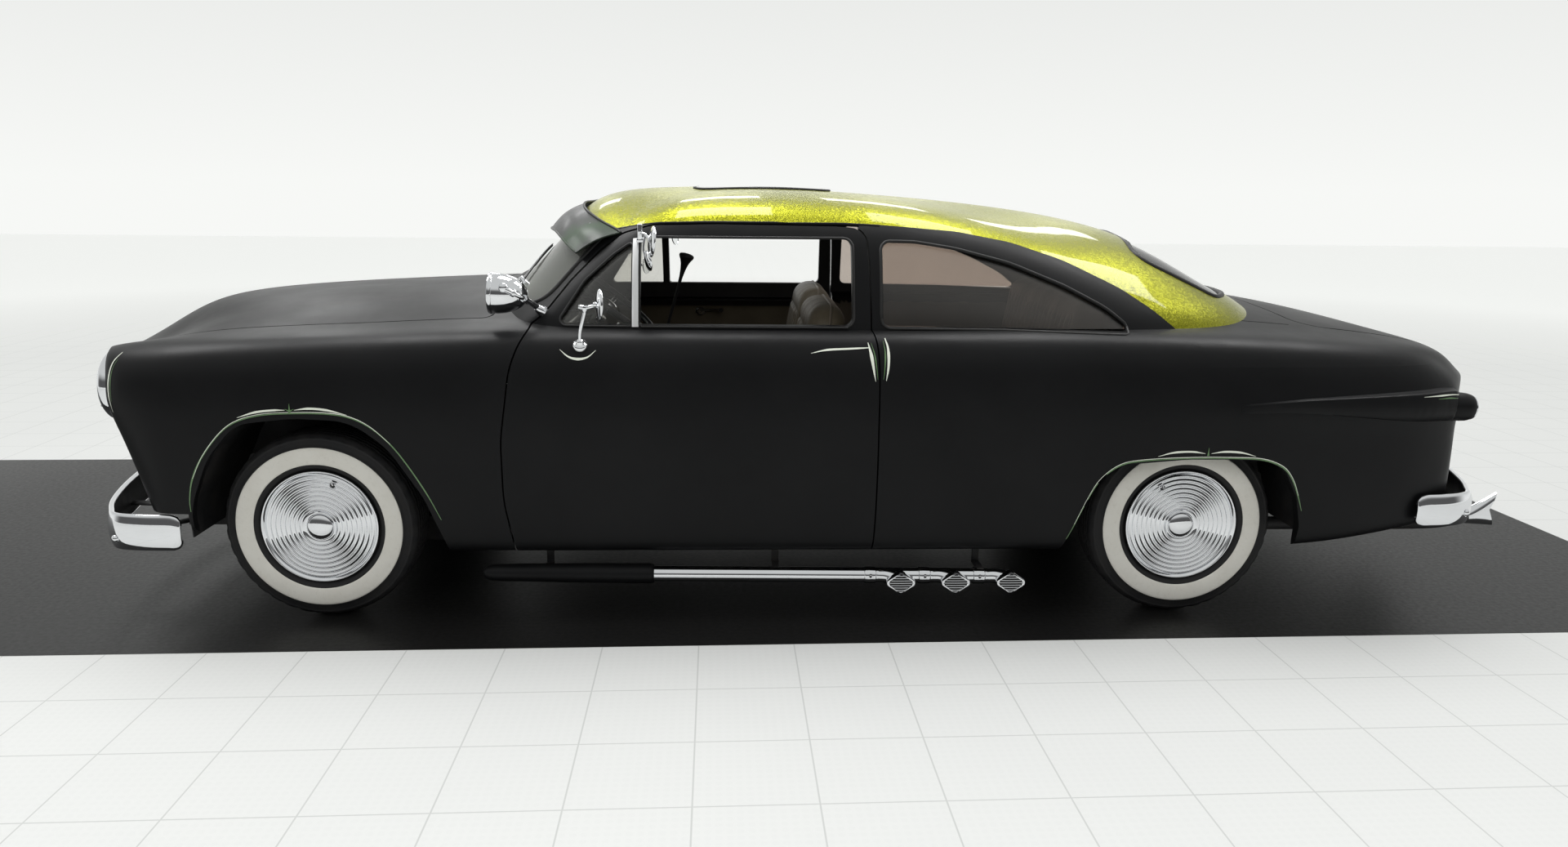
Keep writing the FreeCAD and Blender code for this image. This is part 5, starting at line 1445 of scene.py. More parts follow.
def edge_loop_seal(node, name, radius, mat, body, lift=0.002, outward=0.004):
    """Bead round the outer edge of a pane: the pane's boundary is read from its outer faces."""
    me = NODES[node].data
    bm = bmesh.new()
    bm.from_mesh(me)
    bmesh.ops.remove_doubles(bm, verts=bm.verts[:], dist=1e-5)
    cen = Vector((SX + 0.3, 0, 0.9))
    bm.normal_update()
    outer = set()
    for f in bm.faces:
        c = f.calc_center_median()
        d = (c - cen).normalized()
        if f.normal.dot(d) > 0.30:
            outer.add(f)
    edges = [e for e in bm.edges if sum(1 for f in e.link_faces if f in outer) == 1]
    nxt = {}
    for e in edges:
        a, b = e.verts
        nxt.setdefault(a, []).append(b)
        nxt.setdefault(b, []).append(a)
    loops, seen = [], set()
    for v in list(nxt):
        if v in seen:
            continue
        loop, cur, prev = [], v, None
        while cur is not None and cur not in seen:
            seen.add(cur)
            loop.append(cur.co.copy())
            step = [w for w in nxt[cur] if w is not prev and w not in seen]
            prev, cur = cur, (step[0] if step else None)
        loops.append(loop)
    bm.free()
    loop = max(loops, key=len)
    mid = sum(loop, Vector()) / len(loop)
    pts = even_path(loop, 220, True)
    # light smoothing keeps the corners but removes mesh noise
    for _ in range(3):
        pts = [(pts[i - 1] + pts[i] * 2 + pts[(i + 1) % len(pts)]) / 4 for i in range(len(pts))]
    out = []
    for p in pts:
        d = (p - mid).normalized()
        up = (p - cen).normalized()
        out.append(p + d * outward + up * lift)
    ob = tube(name, out, radius, mat, segs=12, closed=True, shift=False)
    return piece(ob, body, slot="black_plastic")


def outline_seal(node, name, radius, mat, body, outward, lift):
    """Rubber bead round a curved pane, along its outline as seen square to the pane."""
    me = NODES[node].data
    co = [v.co.copy() for v in me.vertices]
    cen = sum(co, Vector()) / len(co)
    nrm = Vector()
    for f in me.polygons:
        if f.normal.dot(f.center - Vector((SX, 0, 0.9))) > 0:
            nrm += f.normal * f.area
    nrm.y = 0
    nrm.normalize()
    u = Vector((0, 1, 0))
    v = nrm.cross(u).normalized()
    flat = sorted({(round((c - cen).dot(u), 5), round((c - cen).dot(v), 5)) for c in co})

    def half(points):
        out = []
        for q in points:
            while len(out) > 1 and (out[-1][0] - out[-2][0]) * (q[1] - out[-2][1]) - (out[-1][1] - out[-2][1]) * (q[0] - out[-2][0]) <= 0:
                out.pop()
            out.append(q)
        return out

    hull = half(flat)[:-1] + half(flat[::-1])[:-1]
    ring = even_path([Vector((a, b, 0)) for a, b in hull], 240, True)
    tree = skin([node])
    pts = []
    for q in ring:
        d2 = q.normalized()
        for inset in (0.003, 0.006, 0.010, 0.016):
            w = q - d2 * inset
            hit, nn, _, _ = tree.ray_cast(cen + u * w.x + v * w.y + nrm * 1.0, -nrm)
            if hit is not None:
                pts.append(hit + (u * d2.x + v * d2.y) * (outward + inset) + nrm * lift)
                break
    for _ in range(3):
        pts = [(pts[i - 1] + pts[i] * 2 + pts[(i + 1) % len(pts)]) / 4 for i in range(len(pts))]
    ob = tube(name, pts, radius, mat, segs=12, closed=True, shift=False)
    return piece(ob, body, slot="black_plastic")


outline_seal("windshield", "windshield_seal", 0.0085, M["gasket"], "car_body", 0.006, 0.003)
outline_seal("rear_window", "rear_window_seal", 0.0105, M["gasket"], "car_body", 0.006, 0.003)


def sunroof_seal():
    lo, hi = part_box("sunroof")
    tree = skin(["roof", "sunroof"])
    r = 0.045
    line = []
    for cx, cy, a0 in ((hi.x - r, hi.y - r, 0), (lo.x + r, hi.y - r, 90), (lo.x + r, lo.y + r, 180), (hi.x - r, lo.y + r, 270)):
        for k in range(9):
            a = math.radians(a0 + 90 * k / 8)
            line.append(Vector((cx + r * math.cos(a), cy + r * math.sin(a), 0)))
    pts = []
    for q in even_path(line, 260, True):
        hit, nn, _, _ = tree.ray_cast(Vector((q.x, q.y, 2.0)), Vector((0, 0, -1)))
        z = hit.z + 0.0020 if hit is not None else hi.z
        pts.append(Vector((q.x, q.y, min(z, hi.z - 0.0052))))
    for _ in range(3):
        pts = [(pts[i - 1] + pts[i] * 2 + pts[(i + 1) % len(pts)]) / 4 for i in range(len(pts))]
    ob = tube("sunroof_seal", pts, 0.0048, M["gasket"], segs=12, closed=True, shift=False)
    piece(ob, "car_body", slot="black_plastic")


sunroof_seal()


# ------------------------------------------------------------------ padded and thick sheets
def rolled(edge, steps, inner):
    """Samples over -1..1 as (place, thickness factor), close together where the edge rolls over."""
    a = [(-1 + edge * (1 - math.cos(math.pi / 2 * k / steps)), math.sin(math.pi / 2 * k / steps)) for k in range(steps)]
    m = [(lerp(-1 + edge, 1 - edge, k / inner), 1.0) for k in range(inner + 1)]
    return a + m + [(-p, e) for p, e in reversed(a)]


def soft_step(v, a, b):
    t = clamp((v - a) / (b - a), 0, 1)
    return t * t * (3 - 2 * t)


def pad(name, origin, du, dv, dn, width, length, front, back, roll, corner, crown, mats, pull=0.007, pleat=None,
        zone=(0.84, -0.84, 0.74), cross=0.0, inner_u=60, inner_v=30, piping=0.0046):
    """Closed cushion: crowned faces, rolled edges, sides that pull in, sewn channels and a piped seam."""
    du, dv, dn = Vector(du).normalized(), Vector(dv).normalized(), Vector(dn).normalized()
    o = Vector(origin)
    us = rolled(roll / (width / 2), 7, inner_u)
    vs = rolled(roll / (length / 2), 7, inner_v)
    nu, nv = len(us), len(vs)
    verts, faces, idx = [], [], []
    ids = {}

    def place(i, j, side):
        a, ea = us[i]
        b, eb = vs[j]
        rim = i in (0, nu - 1) or j in (0, nv - 1)
        key = (i, j, 0 if rim else side)
        if key in ids:
            return ids[key]
        hw = width / 2
        for t in (((1 - b) * length / 2),) + ((((1 + b) * length / 2),) if corner[1] else ()):
            R = corner[0] if t == (1 - b) * length / 2 else corner[1]
            if R and t < R:
                hw -= R - math.sqrt(max(0.0, R * R - (R - t) ** 2))
        hw -= pull * (1 - b * b)
        y = a * hw
        th = (front if side > 0 else back) * (ea * eb) ** 0.9
        th += (crown if side > 0 else crown * 0.4) * (1 - a * a) * (1 - b * b)
        if side > 0 and pleat:
            m = soft_step(zone[0] - abs(a), 0, 0.05) * soft_step(b - zone[1], 0, 0.06) * soft_step(zone[2] - b, 0, 0.06)
            s = abs(math.sin(math.pi * y / pleat)) ** 0.55
            th += m * (0.0045 * s - 0.0060 * (1 - s))
            edge = max(abs(abs(a) - zone[0]) * width / 2, 0.0)
            th -= 0.004 * math.exp(-(edge / 0.006) ** 2) * soft_step(b - zone[1] + 0.04, 0, 0.04) * soft_step(zone[2] + 0.04 - b, 0, 0.04)
            for lim in (zone[1], zone[2]):
                e2 = abs(b - lim) * length / 2
                th -= 0.004 * math.exp(-(e2 / 0.006) ** 2) * soft_step(zone[0] + 0.02 - abs(a), 0, 0.02)
        if rim:
            th = 0.0
        arch = cross * (1 - a * a) * soft_step(b, 0.2, 1.0)
        wr = 0.0012 * math.sin(17 * a + 5 * b) * math.sin(9 * b - 3 * a + 1)
        ids[key] = len(verts)
        verts.append(o + du * y + dv * ((b + 1) / 2 * length + arch) + dn * (side * th + (wr if not rim else 0)))
        return ids[key]

    for side in (1, -1):
        for j in range(nv - 1):
            for i in range(nu - 1):
                q = [place(i, j, side), place(i + 1, j, side), place(i + 1, j + 1, side), place(i, j + 1, side)]
                if len(set(q)) == 4:
                    faces.append(tuple(q if side > 0 else reversed(q)))
                    idx.append(0 if side > 0 else (1 if len(mats) > 1 else 0))
    parts = [mesh_obj(name, verts, faces, mats, idx, True, None)]
    if piping:
        loop = [(i, 0) for i in range(nu)] + [(nu - 1, j) for j in range(1, nv)] + [(i, nv - 1) for i in range(nu - 2, -1, -1)] \
            + [(0, j) for j in range(nv - 2, 0, -1)]
        line = even_path([verts[place(i, j, 1)] for i, j in loop], 180, True)
        parts.append(tube("piping", line, piping, mats[-1], segs=8, closed=True))
    return parts


def thick_sheet(name, grid, push, mats, index=None, angle=60, shift=True):
    """Closed sheet from rows of points (None where there is no sheet) and a function giving the back point."""
    verts, ids = [], {}
    rows, cols = len(grid), len(grid[0])

    def vid(j, i, s):
        if (j, i, s) not in ids:
            ids[(j, i, s)] = len(verts)
            verts.append(grid[j][i] if s == 0 else push(grid[j][i], j, i))
        return ids[(j, i, s)]

    cells = [(j, i) for j in range(rows - 1) for i in range(cols - 1)
             if all(grid[a][b] is not None for a, b in ((j, i), (j, i + 1), (j + 1, i + 1), (j + 1, i)))]
    cellset = set(cells)
    faces, idx = [], []
    for j, i in cells:
        k = index(j, i) if index else 0
        faces.append((vid(j, i, 0), vid(j, i + 1, 0), vid(j + 1, i + 1, 0), vid(j + 1, i, 0)))
        idx.append(k)
        faces.append((vid(j + 1, i, 1), vid(j + 1, i + 1, 1), vid(j, i + 1, 1), vid(j, i, 1)))
        idx.append(k)
        for (dj, di), (p, q) in (((-1, 0), ((j, i), (j, i + 1))), ((1, 0), ((j + 1, i + 1), (j + 1, i))),
                                 ((0, 1), ((j, i + 1), (j + 1, i + 1))), ((0, -1), ((j + 1, i), (j, i)))):
            if (j + dj, i + di) not in cellset:
                faces.append((vid(*q, 0), vid(*p, 0), vid(*p, 1), vid(*q, 1)))
                idx.append(k)
    return mesh_obj(name, verts, faces, mats, idx, True, angle, shift)


# ------------------------------------------------------------------ seats
def make_seats():
    parts = []
    for s in (-1, 1):
        parts += pad("front_back", (0.1725, s * 0.302, 0.5245), (0, 1, 0), (0.0905, 0, 0.526), (-0.986, 0, 0.167), 0.588, 0.512,
                     0.070, 0.060, 0.066, (0.135, 0.0), 0.010, [M["tan"], M["tan"], M["brown"]], 0.006, 0.0535,
                     zone=(0.74, -0.93, 0.62), inner_u=112, inner_v=34)
    ob = join("front_seat_backs", parts)
    piece(ob, "car_body", "front_seat", slot="tan_leather")
    cush = pad("front_cushion", (-0.426, 0, 0.452), (0, 1, 0), (1, 0, 0), (0, 0, 1), 1.192, 0.520, 0.090, 0.045, 0.060,
               (0.03, 0.09), 0.016, [M["tan"], M["tan"], M["brown"]], 0.008, 0.0535, zone=(0.88, -0.66, 0.86),
               inner_u=216, inner_v=34)
    ob = join("front_seat_cushion", cush)
    piece(ob, "car_body", slot="tan_leather")
    base = [rounded_box("plinth", (-0.385, -0.560, 0.344), (0.070, 0.560, 0.425), 0.022, M["carpet"], 4)]
    for s in (-1, 1):
        base.append(rounded_box("rail", (-0.40, s * 0.40 - 0.018, 0.336), (0.10, s * 0.40 + 0.018, 0.350), 0.003, M["steel"], 2))
        # hinge plates at the foot of the folding backs
        for yy in (0.592, 0.008):
            base.append(lathe("pivot", [(0.0, 0.0045), (0.010, 0.004), (0.013, 0.0), (0.013, -0.004), (0.0, -0.005)],
                              (0.150, s * yy, 0.560), (0, s, 0), [M["chrome"]], segs=20))
    ob = join("front_seat_base", base)
    piece(ob, "car_body", slot="black_plastic")
    back = pad("rear_back", (1.150, 0, 0.585), (0, 1, 0), (0.0815, 0, 0.475), (-0.965, 0, 0.262), 1.072, 0.475, 0.085, 0.045,
               0.062, (0.110, 0.0), 0.012, [M["brown"], M["brown"], M["tan"]], 0.006, 0.0535, zone=(0.84, -0.90, 0.62),
               inner_u=190, inner_v=32)
    ob = join("rear_seat_back", back)
    piece(ob, "car_body", "rear_seat", slot="tan_leather")
    cush = pad("rear_cushion", (0.645, 0, 0.492), (0, 1, 0), (1, 0, 0.0), (0, 0, 1), 1.070, 0.560, 0.080, 0.034, 0.054,
               (0.02, 0.06), 0.014, [M["brown"], M["brown"], M["tan"]], 0.006, 0.0535, zone=(0.86, -0.70, 0.90),
               inner_u=190, inner_v=32)
    ob = join("rear_seat_cushion", cush)
    piece(ob, "car_body", slot="tan_leather")
    ob = rounded_box("rear_seat_base", (0.665, -0.500, 0.344), (0.985, 0.500, 0.470), 0.020, M["carpet"], 4)
    piece(ob, "car_body", slot="black_plastic")


make_seats()


# ------------------------------------------------------------------ door cards
def make_cards():
    lo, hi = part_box("door_card_left")
    me = NODES["door_card_left"].data
    tree = BVHTree.FromPolygons([v.co.copy() for v in me.vertices], [tuple(p.vertices) for p in me.polygons])
    nx, nz = 170, 60
    band = min(0.97, (0.876 - lo.z) / (hi.z - lo.z))
    grid, meta = [], []
    for j in range(nz + 1):
        z = lerp(lo.z + 0.003, hi.z - 0.003, j / nz)
        row = []
        for i in range(nx + 1):
            x = lerp(lo.x + 0.003, hi.x - 0.003, i / nx)
            hit, nn, _, _ = tree.ray_cast(Vector((x, 0.0, z)), Vector((0, -1, 0)))
            if hit is None:
                row.append(None)
                continue
            tz = (z - lo.z) / (hi.z - lo.z)
            ex = min(x - lo.x, hi.x - x)
            mask = soft_step(tz, 0.24, 0.27) * soft_step(0.70 - tz, 0, 0.03) * soft_step(ex, 0.035, 0.05)
            s = abs(math.sin(math.pi * (x - lo.x) / 0.0585)) ** 0.55
            d = 0.0015 + mask * (0.0050 * s)
            if tz > band:
                d += 0.0060 * math.sin(math.pi * clamp((tz - band) / (1 - band), 0, 1)) ** 0.7
            elif mask < 0.5:
                d += 0.0008 * math.sin(40 * x) * math.sin(33 * z)
            edge = min(ex, (z - lo.z), (hi.z - z))
            d *= soft_step(edge, -0.002, 0.010)
            row.append(Vector((hit.x, hit.y + d, hit.z)))
        grid.append(row)

    def push(p, j, i):
        return Vector((p.x, p.y - 0.010, p.z))

    def index(j, i):
        t = j / nz
        return 1 if t < 0.235 else (2 if t > band else 0)

    parts = [thick_sheet("card", grid, push, [M["tan"], M["carpet"], M["vinyl"]], index, 50, shift=False)]

    def at(x, z, lift):
        hit, nn, _, _ = tree.ray_cast(Vector((x + SX, 0.0, z)), Vector((0, -1, 0)))
        return Vector((x, (hit.y if hit else -0.78) + lift, z))

    # bright strips between the panels
    for z in (lerp(lo.z, hi.z, 0.237), lerp(lo.z, hi.z, 0.715)):
        pts = [at(x, z, 0.006) for x in [lerp(lo.x - SX + 0.02, hi.x - SX - 0.02, k / 40) for k in range(41)]]
        parts.append(tube("strip", pts, 0.0040, M["chrome"], segs=10, squash_=1.3))
    # arm rest
    a, b = at(-0.22, 0.665, 0.0), at(0.12, 0.665, 0.0)
    path = smooth_path([at(-0.23, 0.655, 0.004), at(-0.20, 0.665, 0.026), at(-0.05, 0.668, 0.030), at(0.08, 0.668, 0.030),
                        at(0.115, 0.662, 0.004)], 10)
    parts.append(tube("arm_rest", path, [0.012 + 0.012 * math.sin(math.pi * k / (len(path) - 1)) ** 0.5 for k in range(len(path))],
                      M["brown"], segs=20, squash_=1.15))
    # window crank and door handle
    for x, z, ang, length in ((-0.245, 0.856, 4, 0.098), (0.030, 0.725, 184, 0.070)):
        p = at(x, z, 0.002)
        parts.append(lathe("rose", [(0.0, 0.016), (0.010, 0.016), (0.013, 0.013), (0.015, 0.006), (0.022, 0.003), (0.024, 0.0)], p,
                           (0, 1, 0), [M["chrome"]], segs=28))
        q = p + Vector((math.cos(math.radians(ang)) * length, 0.018, math.sin(math.radians(ang)) * length))
        mid = p.lerp(q, 0.5) + Vector((0, 0.008, 0.004))
        arm = smooth_path([p + Vector((0, 0.012, 0)), mid, q], 8)
        parts.append(tube("crank", arm, [lerp(0.0078, 0.0050, k / (len(arm) - 1)) for k in range(len(arm))], M["chrome"], segs=12,
                          squash_=0.7))
        if length > 0.08:
            parts.append(lathe("knob", [(0.0, 0.026), (0.007, 0.025), (0.0105, 0.020), (0.009, 0.010), (0.006, 0.004), (0.006, -0.002)],
                               q, (0, 1, 0), [M["plastic"]], segs=20))
    left = join("door_trim_card_left", parts)
    right = mirrored(left, "door_trim_card_right")
    piece(left, "door_left", "door_card_left", slot="tan_leather")
    piece(right, "door_right", "door_card_right", slot="tan_leather")


make_cards()


# ------------------------------------------------------------------ steering wheel, dash, lever
def make_controls():
    c = Vector((-0.520, -0.370, 1.028))
    n = Vector((0.62, 0, 0.785)).normalized()
    up = Vector((-n.z, 0, n.x))
    yy = Vector((0, 1, 0))
    parts = []
    rim, rad = [], []
    for k in range(120):
        th = 2 * math.pi * k / 120
        rim.append(c + (up * math.cos(th) + yy * math.sin(th)) * 0.190)
        rad.append(0.0115 + 0.0009 * abs(math.sin(18 * th)))
    parts.append(tube("rim", rim, rad, M["plastic"], segs=16, closed=True))
    for ang in (90, 210, 330):
        th = math.radians(ang)
        d = up * math.cos(th) + yy * math.sin(th)
        pts = smooth_path([c - n * 0.026 + d * 0.022, c - n * 0.020 + d * 0.090, c - n * 0.004 + d * 0.184], 8)
        for off in (-0.0065, 0.0065):
            w = n.cross(d) * off
            parts.append(tube("spoke", [p + w for p in pts], 0.0032, M["chrome"], segs=10))
    parts.append(lathe("hub", [(0.0, -0.003), (0.020, -0.004), (0.028, -0.008), (0.031, -0.016), (0.034, -0.019), (0.034, -0.024),
                               (0.028, -0.028), (0.024, -0.045), (0.0, -0.045)], c, n, [M["chrome"], M["plastic"]], segs=40,
                       index=[0, 0, 0, 0, 1, 1, 1, 1]))
    ob = join("steering_wheel_rim", parts)
    piece(ob, "steering_wheel", "steering_wheel", slot="black_plastic")
    # the dash's own details
    me = NODES["dashboard_and_column"].data
    tree = BVHTree.FromPolygons([v.co.copy() for v in me.vertices], [tuple(p.vertices) for p in me.polygons])

    def face(y, z, lift=0.0):
        hit, nn, _, _ = tree.ray_cast(Vector((0.3, y, z)), Vector((-1, 0, 0)))
        return Vector(((hit.x - SX) if hit else -0.715, y, z)) + Vector((lift, 0, 0))

    det = []
    ax = (0.985, 0, 0.17)
    g = face(-0.275, 0.868, 0.001)
    det.append(lathe("bezel", [(0.050, 0.0135), (0.053, 0.0165), (0.058, 0.0165), (0.0625, 0.012), (0.064, 0.004), (0.064, -0.012)],
                     g, ax, [M["chrome"]], segs=64, angle=50))
    det.append(lathe("dial", [(0.0, 0.004), (0.030, 0.0045), (0.046, 0.0055), (0.050, 0.010), (0.050, 0.0135)], g, ax,
                     [M["dial"], M["plastic"]], segs=64, index=[1, 0, 1, 1]))
    a_, r_, t_ = basis(ax)
    for k in range(25):
        th = math.radians(-130 + 260 * k / 24)
        d = r_ * math.cos(th) + t_ * math.sin(th)
        det.append(tube("tick", [g + a_ * 0.0060 + d * (0.0385 if k % 4 else 0.035), g + a_ * 0.0062 + d * 0.0445], 0.0006, M["plastic"], segs=5))
    d = r_ * math.cos(-1.9) + t_ * math.sin(-1.9)
    det.append(tube("needle", [g + a_ * 0.0078 - d * 0.008, g + a_ * 0.0078 + d * 0.038], [0.0016, 0.0005], M["red"], segs=6))
    det.append(lathe("cap", [(0.0, 0.010), (0.004, 0.0095), (0.005, 0.006)], g, ax, [M["chrome"]], segs=16))
    for y, r in ((-0.520, 0.030), (-0.455, 0.030)):
        p = face(y, 0.868, 0.001)
        det.append(lathe("small_bezel", [(r - 0.004, 0.009), (r, 0.011), (r + 0.005, 0.008), (r + 0.006, -0.008)], p, ax, [M["chrome"]], segs=40))
        det.append(lathe("small_dial", [(0.0, 0.003), (r - 0.005, 0.004), (r - 0.004, 0.009)], p, ax, [M["dial"]], segs=40))
        det.append(tube("small_needle", [p + a_ * 0.005, p + a_ * 0.0055 + (r_ * 0.5 + t_ * 0.8) * (r - 0.008)], [0.0013, 0.0004], M["red"], segs=6))
    for y in (-0.150, -0.105, 0.105, 0.150):
        p = face(y, 0.838, 0.0)
        det.append(lathe("knob", [(0.0, 0.030), (0.008, 0.0295), (0.012, 0.026), (0.0125, 0.018), (0.009, 0.014), (0.005, 0.012), (0.005, -0.004)],
                         p, (1, 0, 0), [M["plastic"]], segs=24))
    for k in range(15):
        y = -0.070 + 0.140 * k / 14
        det.append(tube("slat", [face(y, 0.800, 0.003), face(y, 0.845, 0.003), face(y, 0.890, 0.003)], 0.0028, M["chrome"], segs=8))
    for z in (0.796, 0.894):
        det.append(tube("frame", [face(-0.078, z, 0.003), face(0.0, z, 0.004), face(0.078, z, 0.003)], 0.0035, M["chrome"], segs=8))
    gl = [(0.27, 0.805), (0.56, 0.805), (0.56, 0.895), (0.27, 0.895)]
    line = even_path([face(a, b, 0.0015) for a, b in gl], 90, True)
    det.append(tube("lid_bead", line, 0.0016, M["chrome"], segs=6, closed=True))
    det.append(lathe("lid_knob", [(0.0, 0.016), (0.007, 0.015), (0.009, 0.011), (0.006, 0.006), (0.006, -0.002)], face(0.415, 0.880), (1, 0, 0),
                     [M["chrome"]], segs=20))
    pts = [face(lerp(-0.62, 0.62, k / 40), 0.765 + 0.004, 0.003) for k in range(41)]
    det.append(tube("lower_bead", pts, 0.0028, M["chrome"], segs=8))
    cd = Vector((0.23, 0, 0.291)).normalized()
    det.append(lathe("column_collar", [(0.0245, -0.02), (0.028, -0.018), (0.029, 0.0), (0.028, 0.018), (0.0245, 0.02)],
                     Vector((-0.600, -0.370, 0.926)), cd, [M["chrome"]], segs=36))
    st = Vector((-0.600, -0.370, 0.926))
    det.append(tube("signal_arm", smooth_path([st, st + Vector((0.02, -0.06, 0.015)), st + Vector((0.035, -0.125, 0.035))], 8),
                    0.0036, M["chrome"], segs=10))
    det.append(lathe("signal_knob", [(0.0, 0.010), (0.006, 0.008), (0.0085, 0.0), (0.006, -0.008), (0.0, -0.010)],
                     st + Vector((0.035, -0.130, 0.036)), (0.2, -0.9, 0.2), [M["plastic"]], segs=16))
    ob = join("dash_details", det)
    piece(ob, "car_body", slot="chrome")
    # shift lever: thin rod with a flared head, in a leather boot
    lo = Vector((-0.500, 0, 0.345))
    top = Vector((-0.2915, 0, 1.082))
    d = (top - lo).normalized()
    L = (top - lo).length
    prof = [(0.0, 0.0), (0.0075, 0.0), (0.0075, L * 0.3), (0.0065, L * 0.6), (0.0058, L * 0.95), (0.0070, L), (0.0082, L + 0.012),
            (0.0105, L + 0.030), (0.0145, L + 0.050), (0.0205, L + 0.066), (0.0270, L + 0.077), (0.0295, L + 0.083),
            (0.0290, L + 0.0885), (0.0240, L + 0.0925), (0.0130, L + 0.0950), (0.0, L + 0.0956)]
    rod = lathe("rod", prof, lo, d, [M["plastic"]], segs=36, angle=50)
    boot = lathe("boot", [(0.062, 0.0), (0.064, 0.004), (0.058, 0.010), (0.050, 0.014), (0.047, 0.022), (0.040, 0.027), (0.036, 0.037),
                          (0.029, 0.043), (0.026, 0.055), (0.019, 0.062), (0.014, 0.078), (0.010, 0.084), (0.0078, 0.086)],
                 lo, (0.10, 0, 1), [M["vinyl"]], segs=40, angle=70)
    ob = join("shift_lever_rod", [rod, boot])
    piece(ob, "car_body", "shift_lever", slot="black_plastic")


make_controls()


# ------------------------------------------------------------------ spotlights and mirrors
def make_spotlights():
    c = Vector((-0.862, -0.745, 1.090))
    ax = Vector((-0.985, -0.05, 0.05))
    prof = [(0.0, -0.118), (0.012, -0.1165), (0.026, -0.110), (0.036, -0.102), (0.042, -0.096), (0.054, -0.075), (0.062, -0.050),
            (0.0655, -0.025), (0.066, -0.008), (0.0672, -0.007), (0.0680, -0.003), (0.0676, 0.002), (0.0650, 0.006), (0.0610, 0.0068),
            (0.0585, 0.0045), (0.0575, -0.002)]
    parts = [lathe("shell", prof, c, ax, [M["chrome"]], segs=72, angle=45)]
    parts.append(lathe("bowl", [(0.0575, -0.002), (0.050, -0.018), (0.034, -0.032), (0.016, -0.038), (0.0, -0.038)], c, ax, [M["mirror"]], segs=56))
    parts.append(lathe("bulb", [(0.0, -0.010), (0.006, -0.013), (0.008, -0.020), (0.006, -0.034)], c, ax, [M["lamp"]], segs=20))
    parts.append(lathe("lens", [(0.0575, 0.0015), (0.045, 0.0065), (0.028, 0.0105), (0.012, 0.0125), (0.0, 0.0128)], c, ax, [M["lamp"]], segs=56))
    arm = smooth_path([(-0.812, -0.800, 1.112), (-0.792, -0.801, 1.101), (-0.764, -0.786, 1.084), (-0.742, -0.756, 1.066),
                       (-0.718, -0.722, 1.040)], 10)
    parts.append(tube("arm", arm, [0.0105 - 0.0028 * math.sin(math.pi * k / (len(arm) - 1)) for k in range(len(arm))], M["chrome"], segs=20))
    parts.append(lathe("clamp", [(0.0, 0.016), (0.006, 0.0155), (0.0125, 0.0115), (0.0150, 0.0045), (0.0150, -0.004), (0.0125, -0.010),
                                 (0.0125, -0.024)], (-0.812, -0.798, 1.112), (0.18, -0.97, 0.16), [M["chrome"]], segs=36))
    for k in (14, 26):
        parts.append(lathe("collar", [(0.0078, 0.005), (0.0122, 0.0045), (0.0132, 0.0), (0.0122, -0.0045), (0.0078, -0.005)], arm[k],
                           (arm[k + 1] - arm[k - 1]).normalized(), [M["chrome"]], segs=28, closed=True))
    parts.append(lathe("foot", [(0.0, 0.018), (0.010, 0.017), (0.015, 0.010), (0.017, 0.0), (0.020, -0.008), (0.021, -0.026)],
                       (-0.712, -0.718, 1.033), (-0.62, -0.55, 0.56), [M["chrome"]], segs=32))
    left = join("spotlight_left", parts)
    right = mirrored(left, "spotlight_right")
    piece(left, "car_body", "spotlights", slot="chrome")
    piece(right, "car_body", slot="chrome")


make_spotlights()


def round_mirror(c, ax, r, depth):
    """Small round mirror: glass disc in a chrome shell with a stud behind it."""
    shell = [(0.0, -depth), (r * 0.35, -depth * 0.93), (r * 0.70, -depth * 0.70), (r * 0.92, -depth * 0.40), (r, -depth * 0.10),
             (r * 1.0, 0.0008), (r * 0.985, 0.0022), (r * 0.955, 0.0022), (r * 0.94, 0.0006)]
    return [lathe("shell", shell, c, ax, [M["chrome"]], segs=56, angle=60),
            lathe("glass", [(0.0, 0.0012), (r * 0.5, 0.0011), (r * 0.94, 0.0006)], c, ax, [M["mirror"]], segs=56)]


